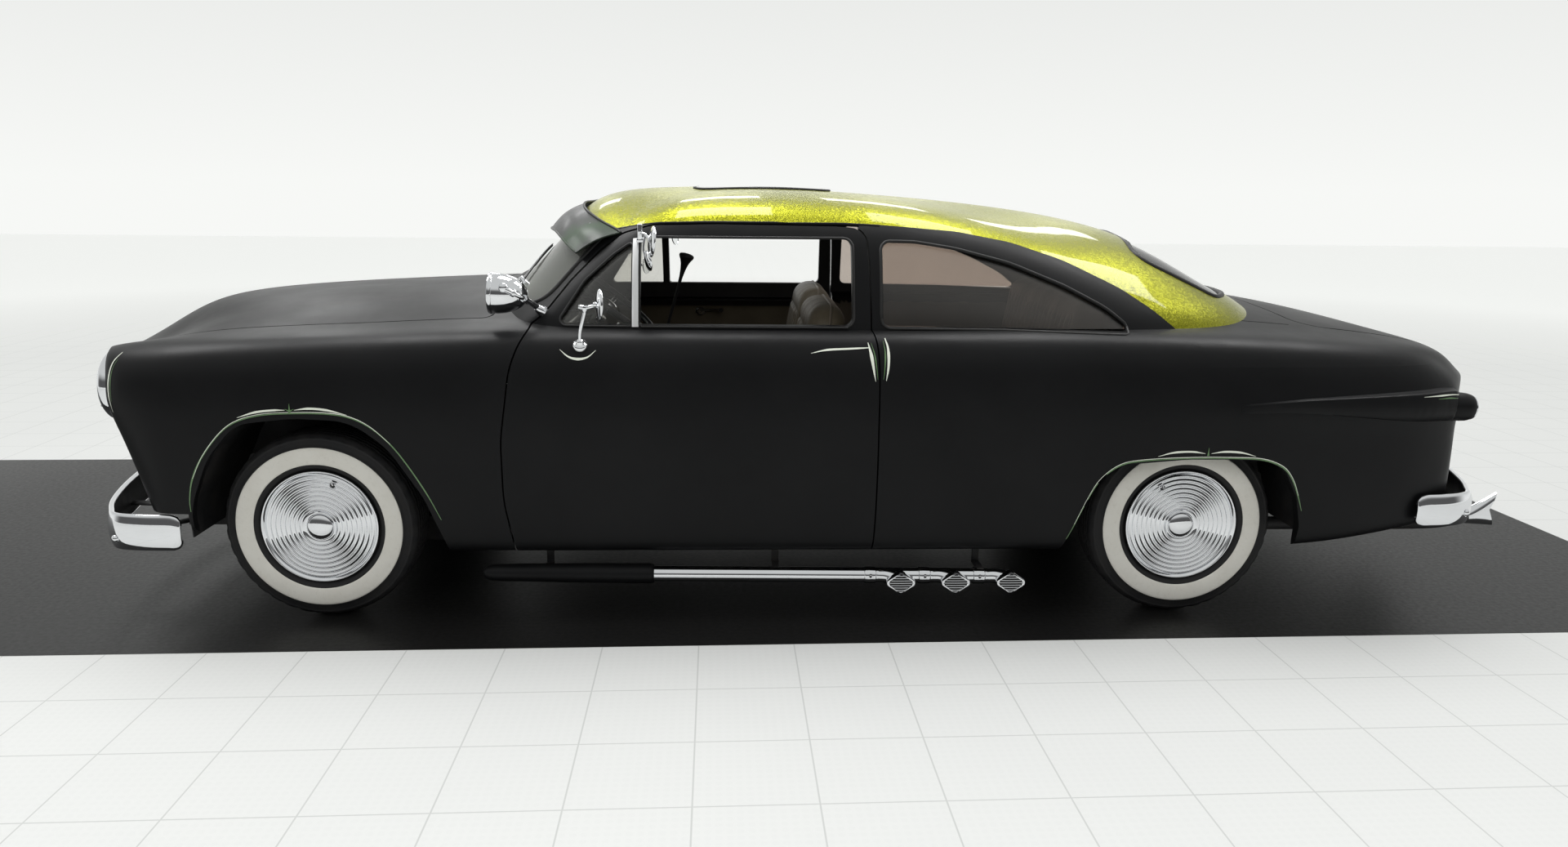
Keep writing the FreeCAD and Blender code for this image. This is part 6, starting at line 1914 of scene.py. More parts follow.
def make_mirrors():
    parts = []
    head = Vector((-0.498, -0.888, 1.070))
    parts += round_mirror(head, (0.955, 0.290, -0.04), 0.050, 0.013)
    parts.append(lathe("stud", [(0.0, -0.022), (0.006, -0.021), (0.008, -0.016), (0.008, -0.008)], head, (0.955, 0.29, -0.04), [M["chrome"]], segs=20))
    foot = Vector((-0.5645, -0.868, 0.938))
    parts.append(lathe("cup", [(0.0, 0.022), (0.008, 0.0215), (0.011, 0.018), (0.013, 0.012), (0.020, 0.0095), (0.0240, 0.004), (0.0245, -0.002),
                               (0.0225, -0.012), (0.017, -0.020)], foot, (0.05, -0.55, 0.83), [M["chrome"]], segs=40))
    parts.append(tube("stem", smooth_path([foot + Vector((0, -0.006, 0.010)), (-0.561, -0.880, 0.985), (-0.545, -0.883, 1.045), (-0.543, -0.884, 1.052)], 8),
                      [0.0058] * 25, M["chrome"], segs=14))
    parts.append(tube("bar", smooth_path([(-0.563, -0.884, 1.062), (-0.540, -0.885, 1.060), (-0.513, -0.886, 1.066)], 8),
                      [0.0075, 0.0080, 0.0082, 0.0080, 0.0078, 0.0076, 0.0074, 0.0072, 0.0070, 0.0068, 0.0066, 0.0064, 0.0062, 0.0060,
                       0.0058, 0.0056, 0.0054], M["chrome"], segs=16))
    parts.append(lathe("knuckle", [(0.0, 0.012), (0.007, 0.010), (0.0095, 0.004), (0.0095, -0.004), (0.007, -0.010), (0.0, -0.012)],
                       (-0.545, -0.884, 1.056), (0, -0.2, 1), [M["chrome"]], segs=24))
    left = join("door_mirror_shell_left", parts)
    right = mirrored(left, "door_mirror_shell_right")
    piece(left, "door_left", "door_mirror_left", slot="chrome")
    piece(right, "door_right", "door_mirror_right", slot="chrome")
    # small clamped pair at the top of the vent window's bar
    parts = []
    p, nn = on_side(-0.385, 1.255, ["door_left"], 0.0)
    y = (p.y if p is not None else -0.655)
    parts.append(rounded_box("jaw", (-0.396, y - 0.016, 1.252), (-0.372, y + 0.004, 1.268), 0.003, M["chrome"], 3))
    parts.append(rounded_box("jaw2", (-0.392, y - 0.020, 1.262), (-0.376, y - 0.010, 1.312), 0.003, M["chrome"], 3))
    parts.append(lathe("screw", [(0.0, 0.007), (0.006, 0.006), (0.007, 0.0), (0.004, -0.012)], (-0.384, y - 0.020, 1.288), (0, -1, 0), [M["chrome"]], segs=16))
    parts.append(tube("arm", smooth_path([(-0.384, y - 0.016, 1.284), (-0.366, y - 0.034, 1.280), (-0.350, y - 0.050, 1.262)], 8), 0.0045, M["chrome"], segs=12))
    parts += round_mirror(Vector((-0.342, y - 0.056, 1.258)), (0.962, 0.250, -0.10), 0.050, 0.011)
    parts.append(tube("arm2", smooth_path([(-0.366, y - 0.034, 1.280), (-0.372, y - 0.040, 1.235), (-0.364, y - 0.044, 1.200)], 8), 0.0036, M["chrome"], segs=12))
    parts += round_mirror(Vector((-0.356, y - 0.048, 1.196)), (0.93, 0.34, 0.18), 0.033, 0.010)
    left = join("small_mirrors_left", parts)
    right = mirrored(left, "small_mirrors_right")
    piece(left, "door_left", slot="chrome")
    piece(right, "door_right", slot="chrome")


make_mirrors()


# ------------------------------------------------------------------ outside visor
def make_visor():
    att = [(-455, -640, 1280), (-470, -622, 1290), (-535, -545, 1318), (-596, -425, 1350), (-622, -245, 1368), (-626, 0, 1369)]
    lip = [(-597, -655, 1212), (-620, -620, 1225), (-655, -560, 1250), (-695, -450, 1272), (-742, -250, 1276), (-745, 0, 1274)]

    def whole(line):
        h = [Vector(p) / 1000 for p in line]
        return even_path(smooth_path(h + [Vector((p.x, -p.y, p.z)) for p in reversed(h[:-1])], 12), 161)

    A, B = whole(att), whole(lip)
    rows = 17
    grid = []
    for j in range(rows):
        t = j / (rows - 1)
        row = []
        for i in range(161):
            a, b = A[i], B[i]
            run = (A[min(i + 1, 160)] - A[max(i - 1, 0)]).normalized()
            out = run.cross(b - a).normalized()
            if out.x > 0:
                out = -out
            bulge = 0.014 * math.sin(math.pi * t) + 0.004 * t
            row.append(a.lerp(b, t) + out * bulge)
        grid.append(row)

    def push(p, j, i):
        a, b = A[i], B[i]
        run = (A[min(i + 1, 160)] - A[max(i - 1, 0)]).normalized()
        out = run.cross(b - a).normalized()
        if out.x > 0:
            out = -out
        return p - out * 0.0032

    parts = [thick_sheet("sheet", grid, push, [M["visor"]], None, 60)]
    parts.append(tube("lip_bead", grid[-1], 0.0036, M["visor"], segs=10))
    parts.append(tube("root_bead", [p + Vector((0, 0, 0.001)) for p in grid[0]], 0.0045, M["gasket"], segs=10))
    for side in (0, 160):
        parts.append(tube("end_bead", [grid[j][side] for j in range(rows)], 0.0034, M["visor"], segs=10))
    mid = grid[8][80]
    # centre support and two end brackets down to the pillars
    parts.append(tube("rib", [grid[j][80] + Vector((0.006, 0, -0.006)) for j in range(1, rows - 1)], 0.0034, M["chrome"], segs=10))
    for i in (14, 146):
        top = grid[4][i]
        s = -1 if i < 80 else 1
        parts.append(tube("bracket", smooth_path([top, top + Vector((0.020, s * -0.006, -0.030)), top + Vector((0.030, s * -0.012, -0.060))], 6),
                          0.0042, M["chrome"], segs=10))
    ob = join("sun_visor_shell", parts)
    piece(ob, "car_body", "sun_visor", slot="dark_glass")


make_visor()


# ------------------------------------------------------------------ tail lights
def make_tail_lights():
    c = Vector((2.369, -0.842, 0.741))
    ax = Vector((1, 0, -0.05)).normalized()
    parts = []
    shell = [(0.034, -0.120), (0.042, -0.090), (0.0465, -0.060), (0.0475, -0.035), (0.0462, -0.018), (0.0430, -0.006),
             (0.0405, -0.001)]
    parts.append(lathe("housing", shell, c, ax, [M["black"]], segs=64, angle=50))
    ring = [(0.0405, -0.003), (0.0412, 0.0005), (0.0400, 0.0035), (0.0372, 0.0055), (0.0345, 0.0050), (0.0335, 0.0010)]
    parts.append(lathe("ring", ring, c, ax, [M["chrome"]], segs=64, angle=60))
    lens = [(0.0335, 0.0020), (0.030, 0.0080), (0.023, 0.0128), (0.013, 0.0160), (0.0, 0.0172)]
    parts.append(lathe("lens", lens, c, ax, [M["red"]], segs=64, angle=70))
    left = join("tail_light_left", parts)
    right = mirrored(left, "tail_light_right")
    piece(left, "car_body", "tail_lights", slot="red_lens")
    piece(right, "car_body", slot="red_lens")


make_tail_lights()


# ------------------------------------------------------------------ crease along the rear quarter
def make_spear():
    n, cols = 140, [(0.016, 0.0), (0.012, 0.20), (0.008, 0.46), (0.004, 0.76), (0.001, 0.95), (-0.001, 1.0), (-0.004, 0.99),
                    (-0.010, 0.95), (-0.020, 0.87), (-0.032, 0.76), (-0.044, 0.62), (-0.056, 0.44), (-0.064, 0.28),
                    (-0.070, 0.14), (-0.075, 0.0)]
    line = smooth_path([Vector((a, b, 0)) for a, b in ((1.56, .757), (1.641, .763), (1.767, .773), (1.901, .779), (2.036, .783),
                                                       (2.171, .786), (2.262, .789), (2.318, .784))], 10)
    line = even_path(line, n)
    grid = []
    for i, p in enumerate(line):
        u = i / (n - 1)
        amp = 0.0025 + 0.0290 * soft_step(u, 0.0, 0.95)
        wide = lerp(0.35, 1.18, soft_step(u, 0.0, 1.0))
        amp *= soft_step(u, -0.001, 0.06) * (1 - 0.45 * soft_step(u, 0.955, 1.0))
        row = []
        for dz, k in cols:
            q, nn = on_side(p.x, p.y + dz * wide, ["quarter_panel_left"], 0.0)
            row.append(None if q is None else q + nn * (0.0006 + amp * k) + Vector((0, 0, 0)))
        grid.append(row)

    def push(p, j, i):
        q, nn = on_side(p.x, p.z, ["quarter_panel_left"], 0.0)
        return Vector((p.x, (q.y if q is not None else p.y) + 0.0040, p.z))

    ob = thick_sheet("spear", grid, push, [M["black"]], None, 60)
    ob.name = "quarter_crease_left"
    ob2 = mirrored(ob, "quarter_crease_right")
    piece(ob, "car_body", slot="matte_black_paint")
    piece(ob2, "car_body", slot="matte_black_paint")


make_spear()


# ------------------------------------------------------------------ rain channel, wiper posts, aprons
def make_small_body_parts():
    tree = skin(["roof"])
    pts = []
    for k in range(90):
        x = lerp(-0.640, 0.400, k / 89)
        z = 1.20
        found = None
        while z < 1.40:
            hit, nn, _, _ = tree.ray_cast(Vector((x + SX, -1.2, z)), Vector((0, 1, 0)))
            if hit is not None and hit.y < -0.45:
                found = Vector((x, hit.y, z))
                break
            z += 0.002
        if found is not None:
            pts.append(found)
    for _ in range(6):
        pts = [pts[0]] + [(pts[i - 1] + pts[i] * 2 + pts[i + 1]) / 4 for i in range(1, len(pts) - 1)] + [pts[-1]]
    outer = tube("rail", [p + Vector((0, -0.0010, -0.0045)) for p in pts], 0.0048, M["black"], segs=12)
    # weather strip behind the gap above the door
    grid = [[p + Vector((0, 0.022, 0.006)) for p in pts], [p + Vector((0, 0.018, -0.002)) for p in pts],
            [p + Vector((0, 0.014, -0.012)) for p in pts]]
    strip = thick_sheet("strip", grid, lambda p, j, i: p + Vector((0, 0.008, 0)), [M["gasket"]], None, 60)
    left = join("rain_channel_left", [outer, strip])
    right = mirrored(left, "rain_channel_right")
    piece(left, "car_body", slot="matte_black_paint")
    piece(right, "car_body", slot="matte_black_paint")
    # wiper posts with short arms that rest on the glass
    parts = []
    glass = skin(["windshield", "windshield_frame", "cowl_and_firewall"])
    for y in (-0.45, 0.45):
        hit, nn, _, _ = glass.ray_cast(Vector((SX - 0.818, y, 2.0)), Vector((0, 0, -1)))
        z = hit.z if hit is not None else 1.09
        b = Vector((-0.818, y, z + 0.012))
        parts.append(lathe("post", [(0.0, 0.016), (0.007, 0.0145), (0.011, 0.009), (0.012, 0.0), (0.015, -0.006), (0.016, -0.016)], b,
                           (-0.45, 0, 0.89), [M["chrome"]], segs=24))
        line = []
        for k in range(18):
            t = k / 17
            yy = y * (1 - 0.56 * t)
            xx = -0.812 + 0.060 * math.sin(math.pi * t * 0.5)
            h2, n2, _, _ = glass.ray_cast(Vector((SX + xx, yy, 2.0)), Vector((0, 0, -1)))
            if h2 is not None:
                line.append(Vector((xx, yy, h2.z + 0.014)))
        if len(line) > 6:
            parts.append(tube("wiper_arm", line, [lerp(0.0048, 0.0022, k / (len(line) - 1)) for k in range(len(line))], M["plastic"], segs=8))
            parts.append(tube("blade", [p - Vector((0.002, 0, 0.006)) for p in line[5:]], 0.0036, M["gasket"], segs=8))
    ob = join("wipers", parts)
    piece(ob, "car_body", slot="chrome")
    # aprons under the nose and the tail
    for nm, x0, z0, x1, z1, hy in (("front_apron", -2.185, 0.400, -1.880, 0.300, 0.40), ("rear_apron", 2.315, 0.395, 1.880, 0.330, 0.44)):
        grid = []
        for j in range(9):
            t = j / 8
            row = []
            for i in range(25):
                y = lerp(-hy, hy, i / 24)
                bow = (abs(y) / hy) ** 2
                x = lerp(x0, x1, t) + (0.03 if x0 < 0 else -0.03) * bow * (1 - t)
                z = lerp(z0, z1, t) - 0.020 * math.sin(math.pi * t) + 0.0025 * math.cos(8 * math.pi * i / 24) * math.sin(math.pi * t)
                row.append(Vector((x, y, z)))
            grid.append(row)
        ob = thick_sheet(nm, grid, lambda p, j, i: p + Vector((0, 0, 0.003)), [M["chassis"]], None, 60)
        piece(ob, "car_body", slot="chassis_black")


make_small_body_parts()


# ------------------------------------------------------------------ engine and radiator
def make_engine():
    parts = []
    iron, bright, steel, dark = M["iron"], M["chrome"], M["steel"], M["enamel"]
    cz = 0.500
    # sump with its rail, crankcase, bell housing
    parts.append(rounded_box("sump", (-1.740, -0.112, 0.302), (-1.240, 0.112, 0.405), 0.022, dark, 4))
    parts.append(rounded_box("sump_rail", (-1.765, -0.140, 0.400), (-1.215, 0.140, 0.412), 0.004, steel, 2))
    parts.append(rounded_box("crankcase", (-1.775, -0.135, 0.410), (-1.205, 0.135, 0.560), 0.020, iron, 4))
    for x in (-1.62, -1.49, -1.36):
        for sy in (-1, 1):
            parts.append(lathe("core_plug", [(0.0, 0.004), (0.018, 0.003), (0.022, -0.001), (0.023, -0.006)],
                               (x, sy * 0.136, 0.490), (0, sy, 0), [steel], segs=32))
    parts.append(lathe("bell", [(0.0, 0.052), (0.155, 0.050), (0.172, 0.040), (0.178, 0.020), (0.176, 0.0), (0.0, -0.004)],
                       (-1.235, 0, cz), (1, 0, 0), [iron], segs=64))
    for sy in (-1, 1):
        turn = Matrix.Translation((0, sy * 0.128, 0.610)) @ Matrix.Rotation(-sy * math.radians(42), 4, "X")
        parts.append(rounded_box("bank", (-1.740, -0.066, -0.090), (-1.225, 0.066, 0.072), 0.012, iron, 3, turn))
        parts.append(rounded_box("head", (-1.748, -0.074, 0.056), (-1.218, 0.074, 0.096), 0.006, iron, 3, turn))
        # valve cover with raised ribs and two nuts
        parts.append(rounded_box("valve_cover", (-1.732, -0.052, 0.094), (-1.234, 0.052, 0.140), 0.016, bright, 5, turn))
        for k in range(9):
            v = -0.036 + 0.009 * k
            parts.append(tube("cover_rib", [turn @ Vector((x, v, 0.1405)) for x in (-1.700, -1.650, -1.560, -1.400, -1.310, -1.266)],
                              0.0022, bright, segs=8))
        for x in (-1.640, -1.330):
            parts.append(lathe("cover_nut", [(0.0, 0.016), (0.005, 0.015), (0.007, 0.008), (0.013, 0.003), (0.013, -0.002)],
                               turn @ Vector((x, 0, 0.141)), turn.to_3x3() @ Vector((0, 0, 1)), [steel], segs=24))
        for k in range(10):
            x = -1.728 + 0.0545 * k
            for v in (-0.066, 0.066):
                parts.append(lathe("head_bolt", [(0.0, 0.0075), (0.0058, 0.0070), (0.0070, 0.0050), (0.0074, 0.0), (0.010, -0.001)],
                                   turn @ Vector((x, v, 0.096)), turn.to_3x3() @ Vector((0, 0, 1)), [steel], segs=6))
        # exhaust manifold: four stubs into one log that turns down at the back
        log = smooth_path([(-1.700, sy * 0.214, 0.585), (-1.600, sy * 0.219, 0.580), (-1.450, sy * 0.222, 0.572),
                           (-1.330, sy * 0.220, 0.560), (-1.265, sy * 0.212, 0.515), (-1.245, sy * 0.200, 0.420), (-1.235, sy * 0.190, 0.330)], 8)
        parts.append(tube("exhaust_log", log, 0.023, iron, segs=20))
        for x in (-1.680, -1.560, -1.430, -1.310):
            parts.append(tube("exhaust_stub", smooth_path([(x, sy * 0.160, 0.622), (x + 0.004, sy * 0.192, 0.612), (x + 0.010, sy * 0.214, 0.586)], 6),
                              0.019, iron, segs=16))
        # spark plugs
        for x in (-1.665, -1.545, -1.415, -1.295):
            a = turn @ Vector((x, -sy * 0.074, 0.070))
            n = (turn.to_3x3() @ Vector((0, -sy, 0.35))).normalized()
            parts.append(lathe("plug", [(0.0, 0.040), (0.003, 0.039), (0.0035, 0.030), (0.0065, 0.027), (0.0065, 0.012), (0.0105, 0.010),
                                        (0.0105, 0.001), (0.007, -0.002)], a, n, [M["white"]], segs=16))
    # intake manifold with runners, carburettor, air cleaner
    parts.append(rounded_box("valley", (-1.720, -0.085, 0.555), (-1.245, 0.085, 0.628), 0.014, iron, 3))
    parts.append(rounded_box("plenum", (-1.590, -0.052, 0.626), (-1.380, 0.052, 0.672), 0.016, steel, 4))
    for x0, x1 in ((-1.570, -1.655), (-1.525, -1.555), (-1.445, -1.415), (-1.400, -1.315)):
        for sy in (-1, 1):
            parts.append(tube("runner", smooth_path([(x0, sy * 0.030, 0.650), ((x0 + x1) / 2, sy * 0.070, 0.650), (x1, sy * 0.112, 0.634)], 8),
                              0.0165, steel, segs=16))
    parts.append(lathe("carburettor", [(0.0, 0.084), (0.040, 0.084), (0.043, 0.076), (0.039, 0.070), (0.039, 0.046), (0.047, 0.042),
                                       (0.047, 0.030), (0.036, 0.024), (0.036, 0.006), (0.050, 0.002), (0.050, -0.004)],
                       (-1.485, 0, 0.672), (0, 0, 1), [steel], segs=40))
    parts.append(rounded_box("float_bowl", (-1.560, -0.032, 0.690), (-1.515, 0.032, 0.735), 0.008, steel, 3))
    parts.append(lathe("air_cleaner", [(0.0, 0.050), (0.004, 0.050), (0.030, 0.047), (0.100, 0.043), (0.124, 0.038), (0.131, 0.032),
                                       (0.131, 0.026), (0.127, 0.024), (0.127, 0.010), (0.131, 0.008), (0.131, 0.002), (0.122, -0.004),
                                       (0.060, -0.008), (0.045, -0.012)], (-1.485, 0, 0.762), (0, 0, 1), [bright], segs=96))
    parts.append(lathe("cleaner_nut", [(0.0, 0.008), (0.004, 0.008), (0.008, 0.005), (0.012, 0.0)], (-1.485, 0, 0.8105), (0, 0, 1), [steel], segs=24))
    for k in range(90):
        a = 2 * math.pi * k / 90
        c, q = math.cos(a), math.sin(a)
        parts.append(tube("cleaner_pleat", [(-1.485 + 0.1278 * c, 0.1278 * q, 0.7730), (-1.485 + 0.1285 * c, 0.1285 * q, 0.7795),
                                            (-1.485 + 0.1278 * c, 0.1278 * q, 0.7860)], 0.0016, M["gasket"], segs=6))
    # distributor, oil filler, generator
    parts.append(lathe("distributor", [(0.0, 0.104), (0.020, 0.102), (0.030, 0.092), (0.036, 0.078), (0.037, 0.050), (0.040, 0.046),
                                       (0.040, 0.038), (0.026, 0.030), (0.022, 0.0)], (-1.285, 0, 0.628), (0, 0, 1), [M["plastic"]], segs=40))
    for k in range(9):
        a = 2 * math.pi * k / 8
        c, q, r = math.cos(a), math.sin(a), (0.024 if k < 8 else 0.0)
        parts.append(lathe("tower", [(0.0, 0.016), (0.0045, 0.0155), (0.0060, 0.010), (0.0066, -0.004)],
                           (-1.285 + r * c, r * q, 0.728 if k < 8 else 0.731), (0, 0, 1), [M["plastic"]], segs=12))
    parts.append(lathe("oil_filler", [(0.0, 0.078), (0.020, 0.076), (0.024, 0.070), (0.024, 0.060), (0.015, 0.056), (0.015, 0.0)],
                       (-1.690, 0, 0.628), (0, 0, 1), [bright], segs=32))
    parts.append(lathe("generator", [(0.0, 0.090), (0.020, 0.090), (0.044, 0.086), (0.048, 0.078), (0.046, 0.074), (0.048, 0.070), (0.048, -0.062),
                                     (0.045, -0.066), (0.047, -0.070), (0.046, -0.082), (0.030, -0.088), (0.0, -0.090)],
                       (-1.690, 0.178, 0.490), (1, 0, 0), [dark], segs=48))
    # pulleys, belt, fan
    centres = ((0.0, 0.455, 0.080), (0.0, 0.640, 0.056), (0.178, 0.490, 0.036))
    for y, z, r in centres:
        parts.append(lathe("pulley", [(0.0, 0.014), (0.012, 0.014), (0.014, 0.009), (r * 0.45, 0.006), (r * 0.80, 0.008), (r + 0.004, 0.010),
                                      (r + 0.006, 0.008), (r - 0.004, 0.0), (r + 0.006, -0.008), (r + 0.004, -0.010), (0.010, -0.012), (0.010, -0.045)],
                           (-1.806, y, z), (-1, 0, 0), [steel], segs=64))
    hull = []
    for y, z, r in centres:
        for k in range(72):
            a = 2 * math.pi * k / 72
            hull.append((y + (r + 0.001) * math.cos(a), z + (r + 0.001) * math.sin(a)))
    hull = sorted(set(hull))

    def half(points):
        out = []
        for q in points:
            while len(out) > 1 and (out[-1][0] - out[-2][0]) * (q[1] - out[-2][1]) - (out[-1][1] - out[-2][1]) * (q[0] - out[-2][0]) <= 0:
                out.pop()
            out.append(q)
        return out

    ring = half(hull)[:-1] + half(hull[::-1])[:-1]
    belt = even_path([Vector((-1.806, y, z)) for y, z in ring], 150, True)
    parts.append(tube("belt", belt, 0.0058, M["gasket"], segs=8, closed=True))
    parts.append(lathe("fan_hub", [(0.0, 0.034), (0.014, 0.033), (0.020, 0.026), (0.024, 0.006), (0.046, 0.003), (0.046, -0.003), (0.024, -0.006),
                                   (0.020, -0.020)], (-1.848, 0, 0.640), (-1, 0, 0), [steel], segs=40))
    for k in range(5):
        a0 = 2 * math.pi * (k + 0.12) / 5
        grid = []
        for j in range(9):
            r = lerp(0.030, 0.168, j / 8)
            row = []
            for i in range(9):
                u = lerp(-1, 1, i / 8)
                w = lerp(0.020, 0.046, min(1.0, j / 5)) * (1 - 0.10 * (j == 8) * u * u)
                pitch = math.radians(lerp(34, 24, j / 8))
                side, deep = u * w * math.cos(pitch), u * w * math.sin(pitch) * 0.55
                a = a0 + side / max(r, 0.05)
                row.append(Vector((-1.850 + deep + 0.004 * (1 - u * u), r * math.cos(a), 0.640 + r * math.sin(a))))
            grid.append(row)
        parts.append(thick_sheet("blade", grid, lambda p, j, i: p + Vector((0.0022, 0, 0)), [dark], None, 60))
    # radiator: finned core, tanks, side channels, cap, top and bottom pipes
    for k in range(52):
        z = lerp(0.452, 0.732, k / 51)
        parts.append(rounded_box("fin", (-2.000, -0.268, z), (-1.962, 0.268, z + 0.0012), 0.0004, dark, 1))
    for k in range(34):
        y = lerp(-0.262, 0.262, k / 33)
        parts.append(tube("core_tube", [(-1.981, y, 0.440), (-1.981, y, 0.540), (-1.981, y, 0.640), (-1.981, y, 0.745)], 0.0034, steel, segs=8,
                          squash_=1.0))
    parts.append(rounded_box("top_tank", (-2.009, -0.285, 0.732), (-1.951, 0.285, 0.782), 0.016, dark, 5))
    parts.append(rounded_box("bottom_tank", (-2.009, -0.285, 0.401), (-1.951, 0.285, 0.452), 0.016, dark, 5))
    for sy in (-1, 1):
        a, b = sorted((sy * 0.266, sy * 0.329))
        parts.append(rounded_box("side_channel", (-1.998, a, 0.420), (-1.964, b, 0.765), 0.006, M["chassis"], 3))
        for z in (0.460, 0.590, 0.720):
            parts.append(lathe("bolt", [(0.0, 0.006), (0.006, 0.0055), (0.008, 0.003), (0.012, 0.0)], (-1.964, sy * 0.300, z), (1, 0, 0), [steel], segs=6))
    parts.append(lathe("filler_neck", [(0.0, 0.017), (0.018, 0.0165), (0.027, 0.014), (0.028, 0.010), (0.022, 0.006), (0.022, -0.004)],
                       (-1.980, 0.0, 0.783), (0, 0, 1), [bright], segs=40))
    top = smooth_path([(-1.955, -0.090, 0.757), (-1.920, -0.092, 0.757), (-1.868, -0.094, 0.748), (-1.815, -0.090, 0.715), (-1.765, -0.080, 0.665)], 8)
    low = smooth_path([(-1.955, 0.110, 0.430), (-1.925, 0.112, 0.430), (-1.880, 0.108, 0.440), (-1.830, 0.098, 0.480), (-1.770, 0.080, 0.520)], 8)
    for line in (top, low):
        parts.append(tube("coolant_pipe", line, 0.0185, M["gasket"], segs=20))
        for q, w in ((line[3], line[4]), (line[-6], line[-5])):
            d = (w - q).normalized()
            parts.append(lathe("clamp", [(0.0186, 0.006), (0.0206, 0.005), (0.0206, -0.005), (0.0186, -0.006)], q, d, [bright], segs=32, closed=True))
    ob = join("engine_detailed", parts)
    piece(ob, "car_body", "engine_and_radiator", slot="engine_iron")


make_engine()


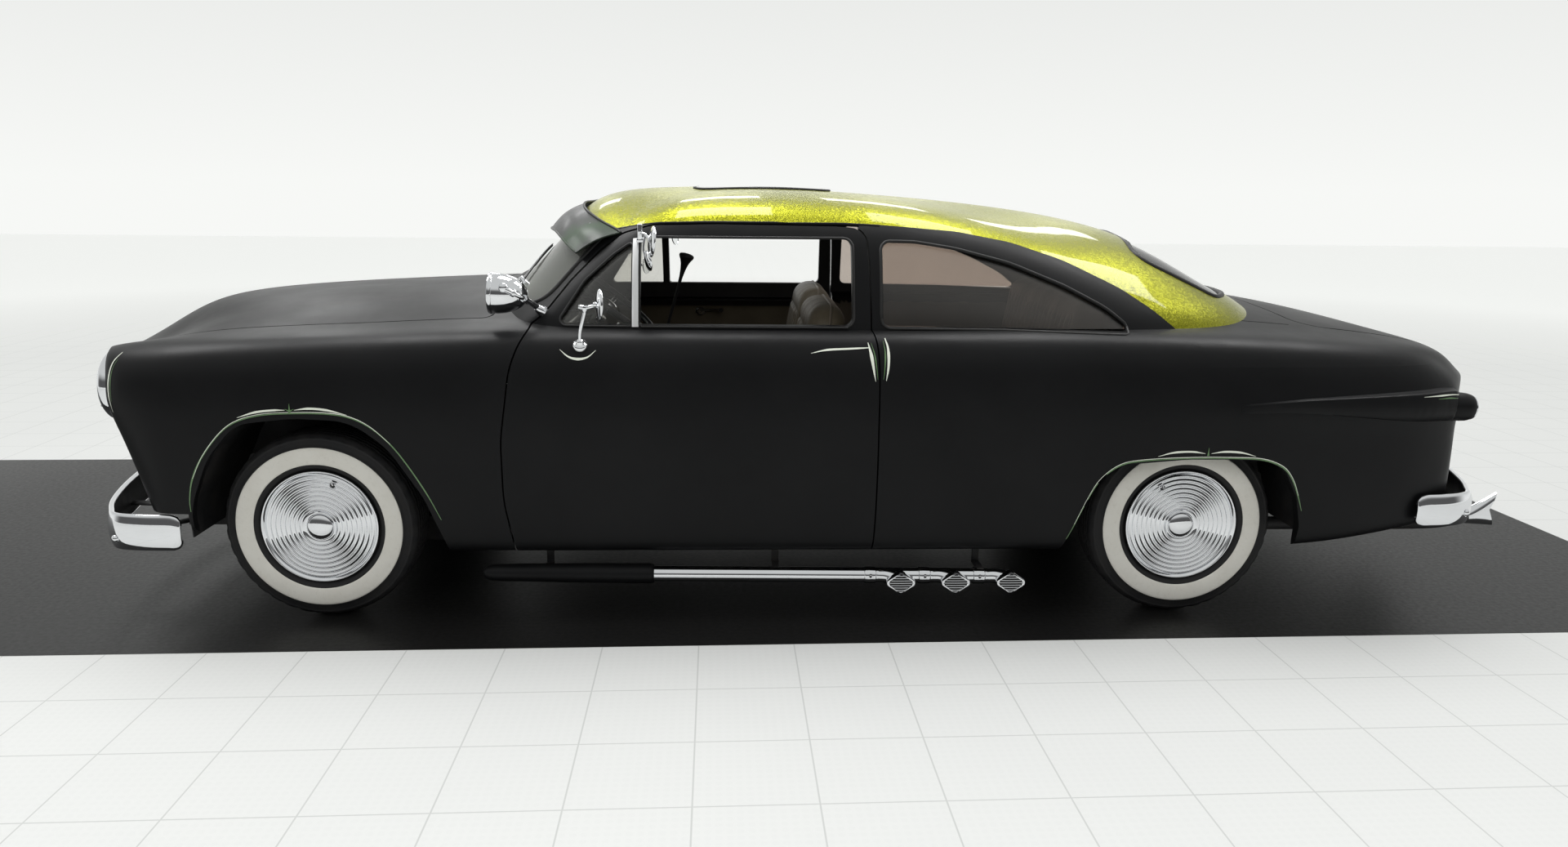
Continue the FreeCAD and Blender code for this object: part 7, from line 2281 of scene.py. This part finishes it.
# ------------------------------------------------------------------ pinstripes
def make_stripes():
    fender, door, quarter = [], [], []
    F = ["front_fender_left"]
    front_arch = [(-1.812, .400), (-1.810, .440), (-1.793, .508), (-1.752, .585), (-1.688, .662), (-1.632, .700), (-1.557, .720),
                  (-1.463, .726), (-1.355, .725), (-1.282, .713), (-1.219, .681), (-1.159, .625), (-1.107, .550), (-1.056, .458),
                  (-1.020, .375)]
    fender.append(stroke("arch_line", front_arch, [(0, .0025), (.12, .0055), (.3, .004), (.5, .003), (.7, .004), (.9, .0045), (1, .002)],
                         M["stripe_green"], F, 140))
    fender.append(stroke("arch_line2", [(x * 1.0 + (0.002 if x < -1.46 else -0.002), z + 0.004) for x, z in front_arch[2:-3]],
                         [(0, .001), (.2, .002), (.5, .0015), (.8, .0025), (1, .001)], M["stripe_white"], F, 110, 0.0016))
    fender.append(stroke("leaf_a", [(-1.630, .712), (-1.575, .729), (-1.520, .736), (-1.480, .737)], [(0, .001), (.4, .007), (.8, .006), (1, .001)],
                         M["stripe_white"], F, 36, 0.002))
    fender.append(stroke("leaf_b", [(-1.452, .737), (-1.405, .742), (-1.350, .737), (-1.290, .722)], [(0, .001), (.25, .007), (.6, .007), (1, .001)],
                         M["stripe_white"], F, 36, 0.002))
    fender.append(stroke("crown", [(-1.466, .728), (-1.466, .744), (-1.466, .757)], [(0, .008), (.4, .004), (1, .0008)], M["stripe_green"], F, 14, 0.0022))
    fender.append(stroke("crown2", [(-1.480, .740), (-1.466, .735), (-1.452, .740)], [(0, .001), (.5, .004), (1, .001)], M["stripe_green"], F, 12, 0.0022))
    # along the head lamp's edge
    fender.append(stroke("lamp_line", [(-2.020, .898), (-2.040, .868), (-2.049, .820), (-2.050, .770), (-2.041, .715)],
                         [(0, .002), (.4, .006), (.7, .005), (1, .001)], M["stripe_white"], F, 40))
    fender.append(stroke("lamp_line2", [(-2.024, .880), (-2.036, .850), (-2.041, .800), (-2.040, .750)],
                         [(0, .001), (.5, .0028), (1, .001)], M["stripe_green"], F, 40))
    Q = ["quarter_panel_left"]
    rear_arch = [(1.024, .300), (1.044, .350), (1.079, .440), (1.115, .508), (1.174, .557), (1.246, .574), (1.400, .583), (1.559, .583),
                 (1.653, .577), (1.722, .551), (1.761, .507), (1.787, .450), (1.806, .400)]
    quarter.append(stroke("arch_line", rear_arch, [(0, .002), (.2, .005), (.5, .003), (.75, .004), (.9, .006), (1, .002)], M["stripe_green"], Q, 130))
    quarter.append(stroke("arch_line2", [(x, z + .004) for x, z in rear_arch[1:-1]], [(0, .001), (.3, .002), (.8, .0025), (1, .001)],
                          M["stripe_white"], Q, 120, 0.0016))
    quarter.append(stroke("leaf_a", [(1.300, .590), (1.350, .603), (1.410, .606), (1.455, .600)], [(0, .001), (.4, .007), (.8, .006), (1, .001)],
                          M["stripe_white"], Q, 36, 0.002))
    quarter.append(stroke("leaf_b", [(1.475, .600), (1.520, .606), (1.575, .603), (1.625, .590)], [(0, .001), (.3, .007), (.6, .007), (1, .001)],
                          M["stripe_white"], Q, 36, 0.002))
    quarter.append(stroke("crown", [(1.465, .592), (1.465, .606), (1.465, .619)], [(0, .008), (.4, .004), (1, .0008)], M["stripe_green"], Q, 14, 0.0022))
    # ahead of and behind the door's rear edge
    door.append(stroke("dash", [(.165, .918), (.215, .928), (.290, .932), (.352, .935)], [(0, .001), (.3, .006), (.8, .005), (1, .002)],
                       M["stripe_white"], ["door_left"], 40))
    door.append(stroke("claw_a", [(.348, .950), (.357, .915), (.364, .875), (.371, .832)], [(0, .002), (.35, .011), (.7, .007), (1, .001)],
                       M["stripe_white"], ["door_left"], 36))
    door.append(stroke("claw_b", [(.358, .948), (.368, .915), (.374, .875), (.378, .838)], [(0, .001), (.4, .004), (1, .001)],
                       M["stripe_green"], ["door_left"], 36, 0.0018))
    quarter.append(stroke("claw_c", [(.404, .962), (.412, .930), (.412, .880), (.405, .834)], [(0, .003), (.35, .009), (.7, .007), (1, .001)],
                          M["stripe_white"], Q, 36))
    quarter.append(stroke("claw_d", [(.397, .955), (.402, .920), (.400, .870), (.396, .838)], [(0, .001), (.4, .005), (1, .001)],
                          M["stripe_green"], Q, 36, 0.0018))
    # crescent under the mirror foot
    door.append(stroke("crescent", [(-.628, .926), (-.600, .905), (-.570, .898), (-.540, .904), (-.515, .924)],
                       [(0, .001), (.5, .008), (1, .001)], M["stripe_white"], ["door_left"], 36))
    # spear end
    SKINS["crease"] = BVHTree.FromPolygons([v.co.copy() for v in bpy.data.objects["quarter_crease_left"].data.vertices],
                                           [tuple(p.vertices) for p in bpy.data.objects["quarter_crease_left"].data.polygons])

    def on_crease(x, z, names, lift):
        hit, nrm, _, _ = SKINS["crease"].ray_cast(Vector((x + SX, -1.4, z)), Vector((0, 1, 0)))
        if hit is None:
            return None, None
        nrm = -nrm if nrm.y > 0 else nrm
        q = hit + nrm * lift
        return Vector((q.x - SX, q.y, q.z)), nrm

    quarter.append(stroke("spear_a", [(2.160, .7885), (2.220, .7905), (2.270, .7915), (2.305, .7890)], [(0, .001), (.5, .0055), (1, .002)],
                          M["stripe_white"], Q, 36, 0.0012, on_crease))
    quarter.append(stroke("spear_b", [(2.215, .7800), (2.262, .7810), (2.300, .7780)], [(0, .001), (.6, .0045), (1, .001)],
                          M["stripe_green"], Q, 30, 0.0012, on_crease))
    for nm, group, body in (("fender_stripes", fender, "car_body"), ("door_stripes", door, "door"), ("quarter_stripes", quarter, "car_body")):
        group = [g for g in group if g]
        ob = join(nm + "_left", group)
        ob2 = mirrored(ob, nm + "_right")
        piece(ob, body if body != "door" else "door_left", slot="matte_black_paint")
        piece(ob2, body if body != "door" else "door_right", slot="matte_black_paint")


make_stripes()
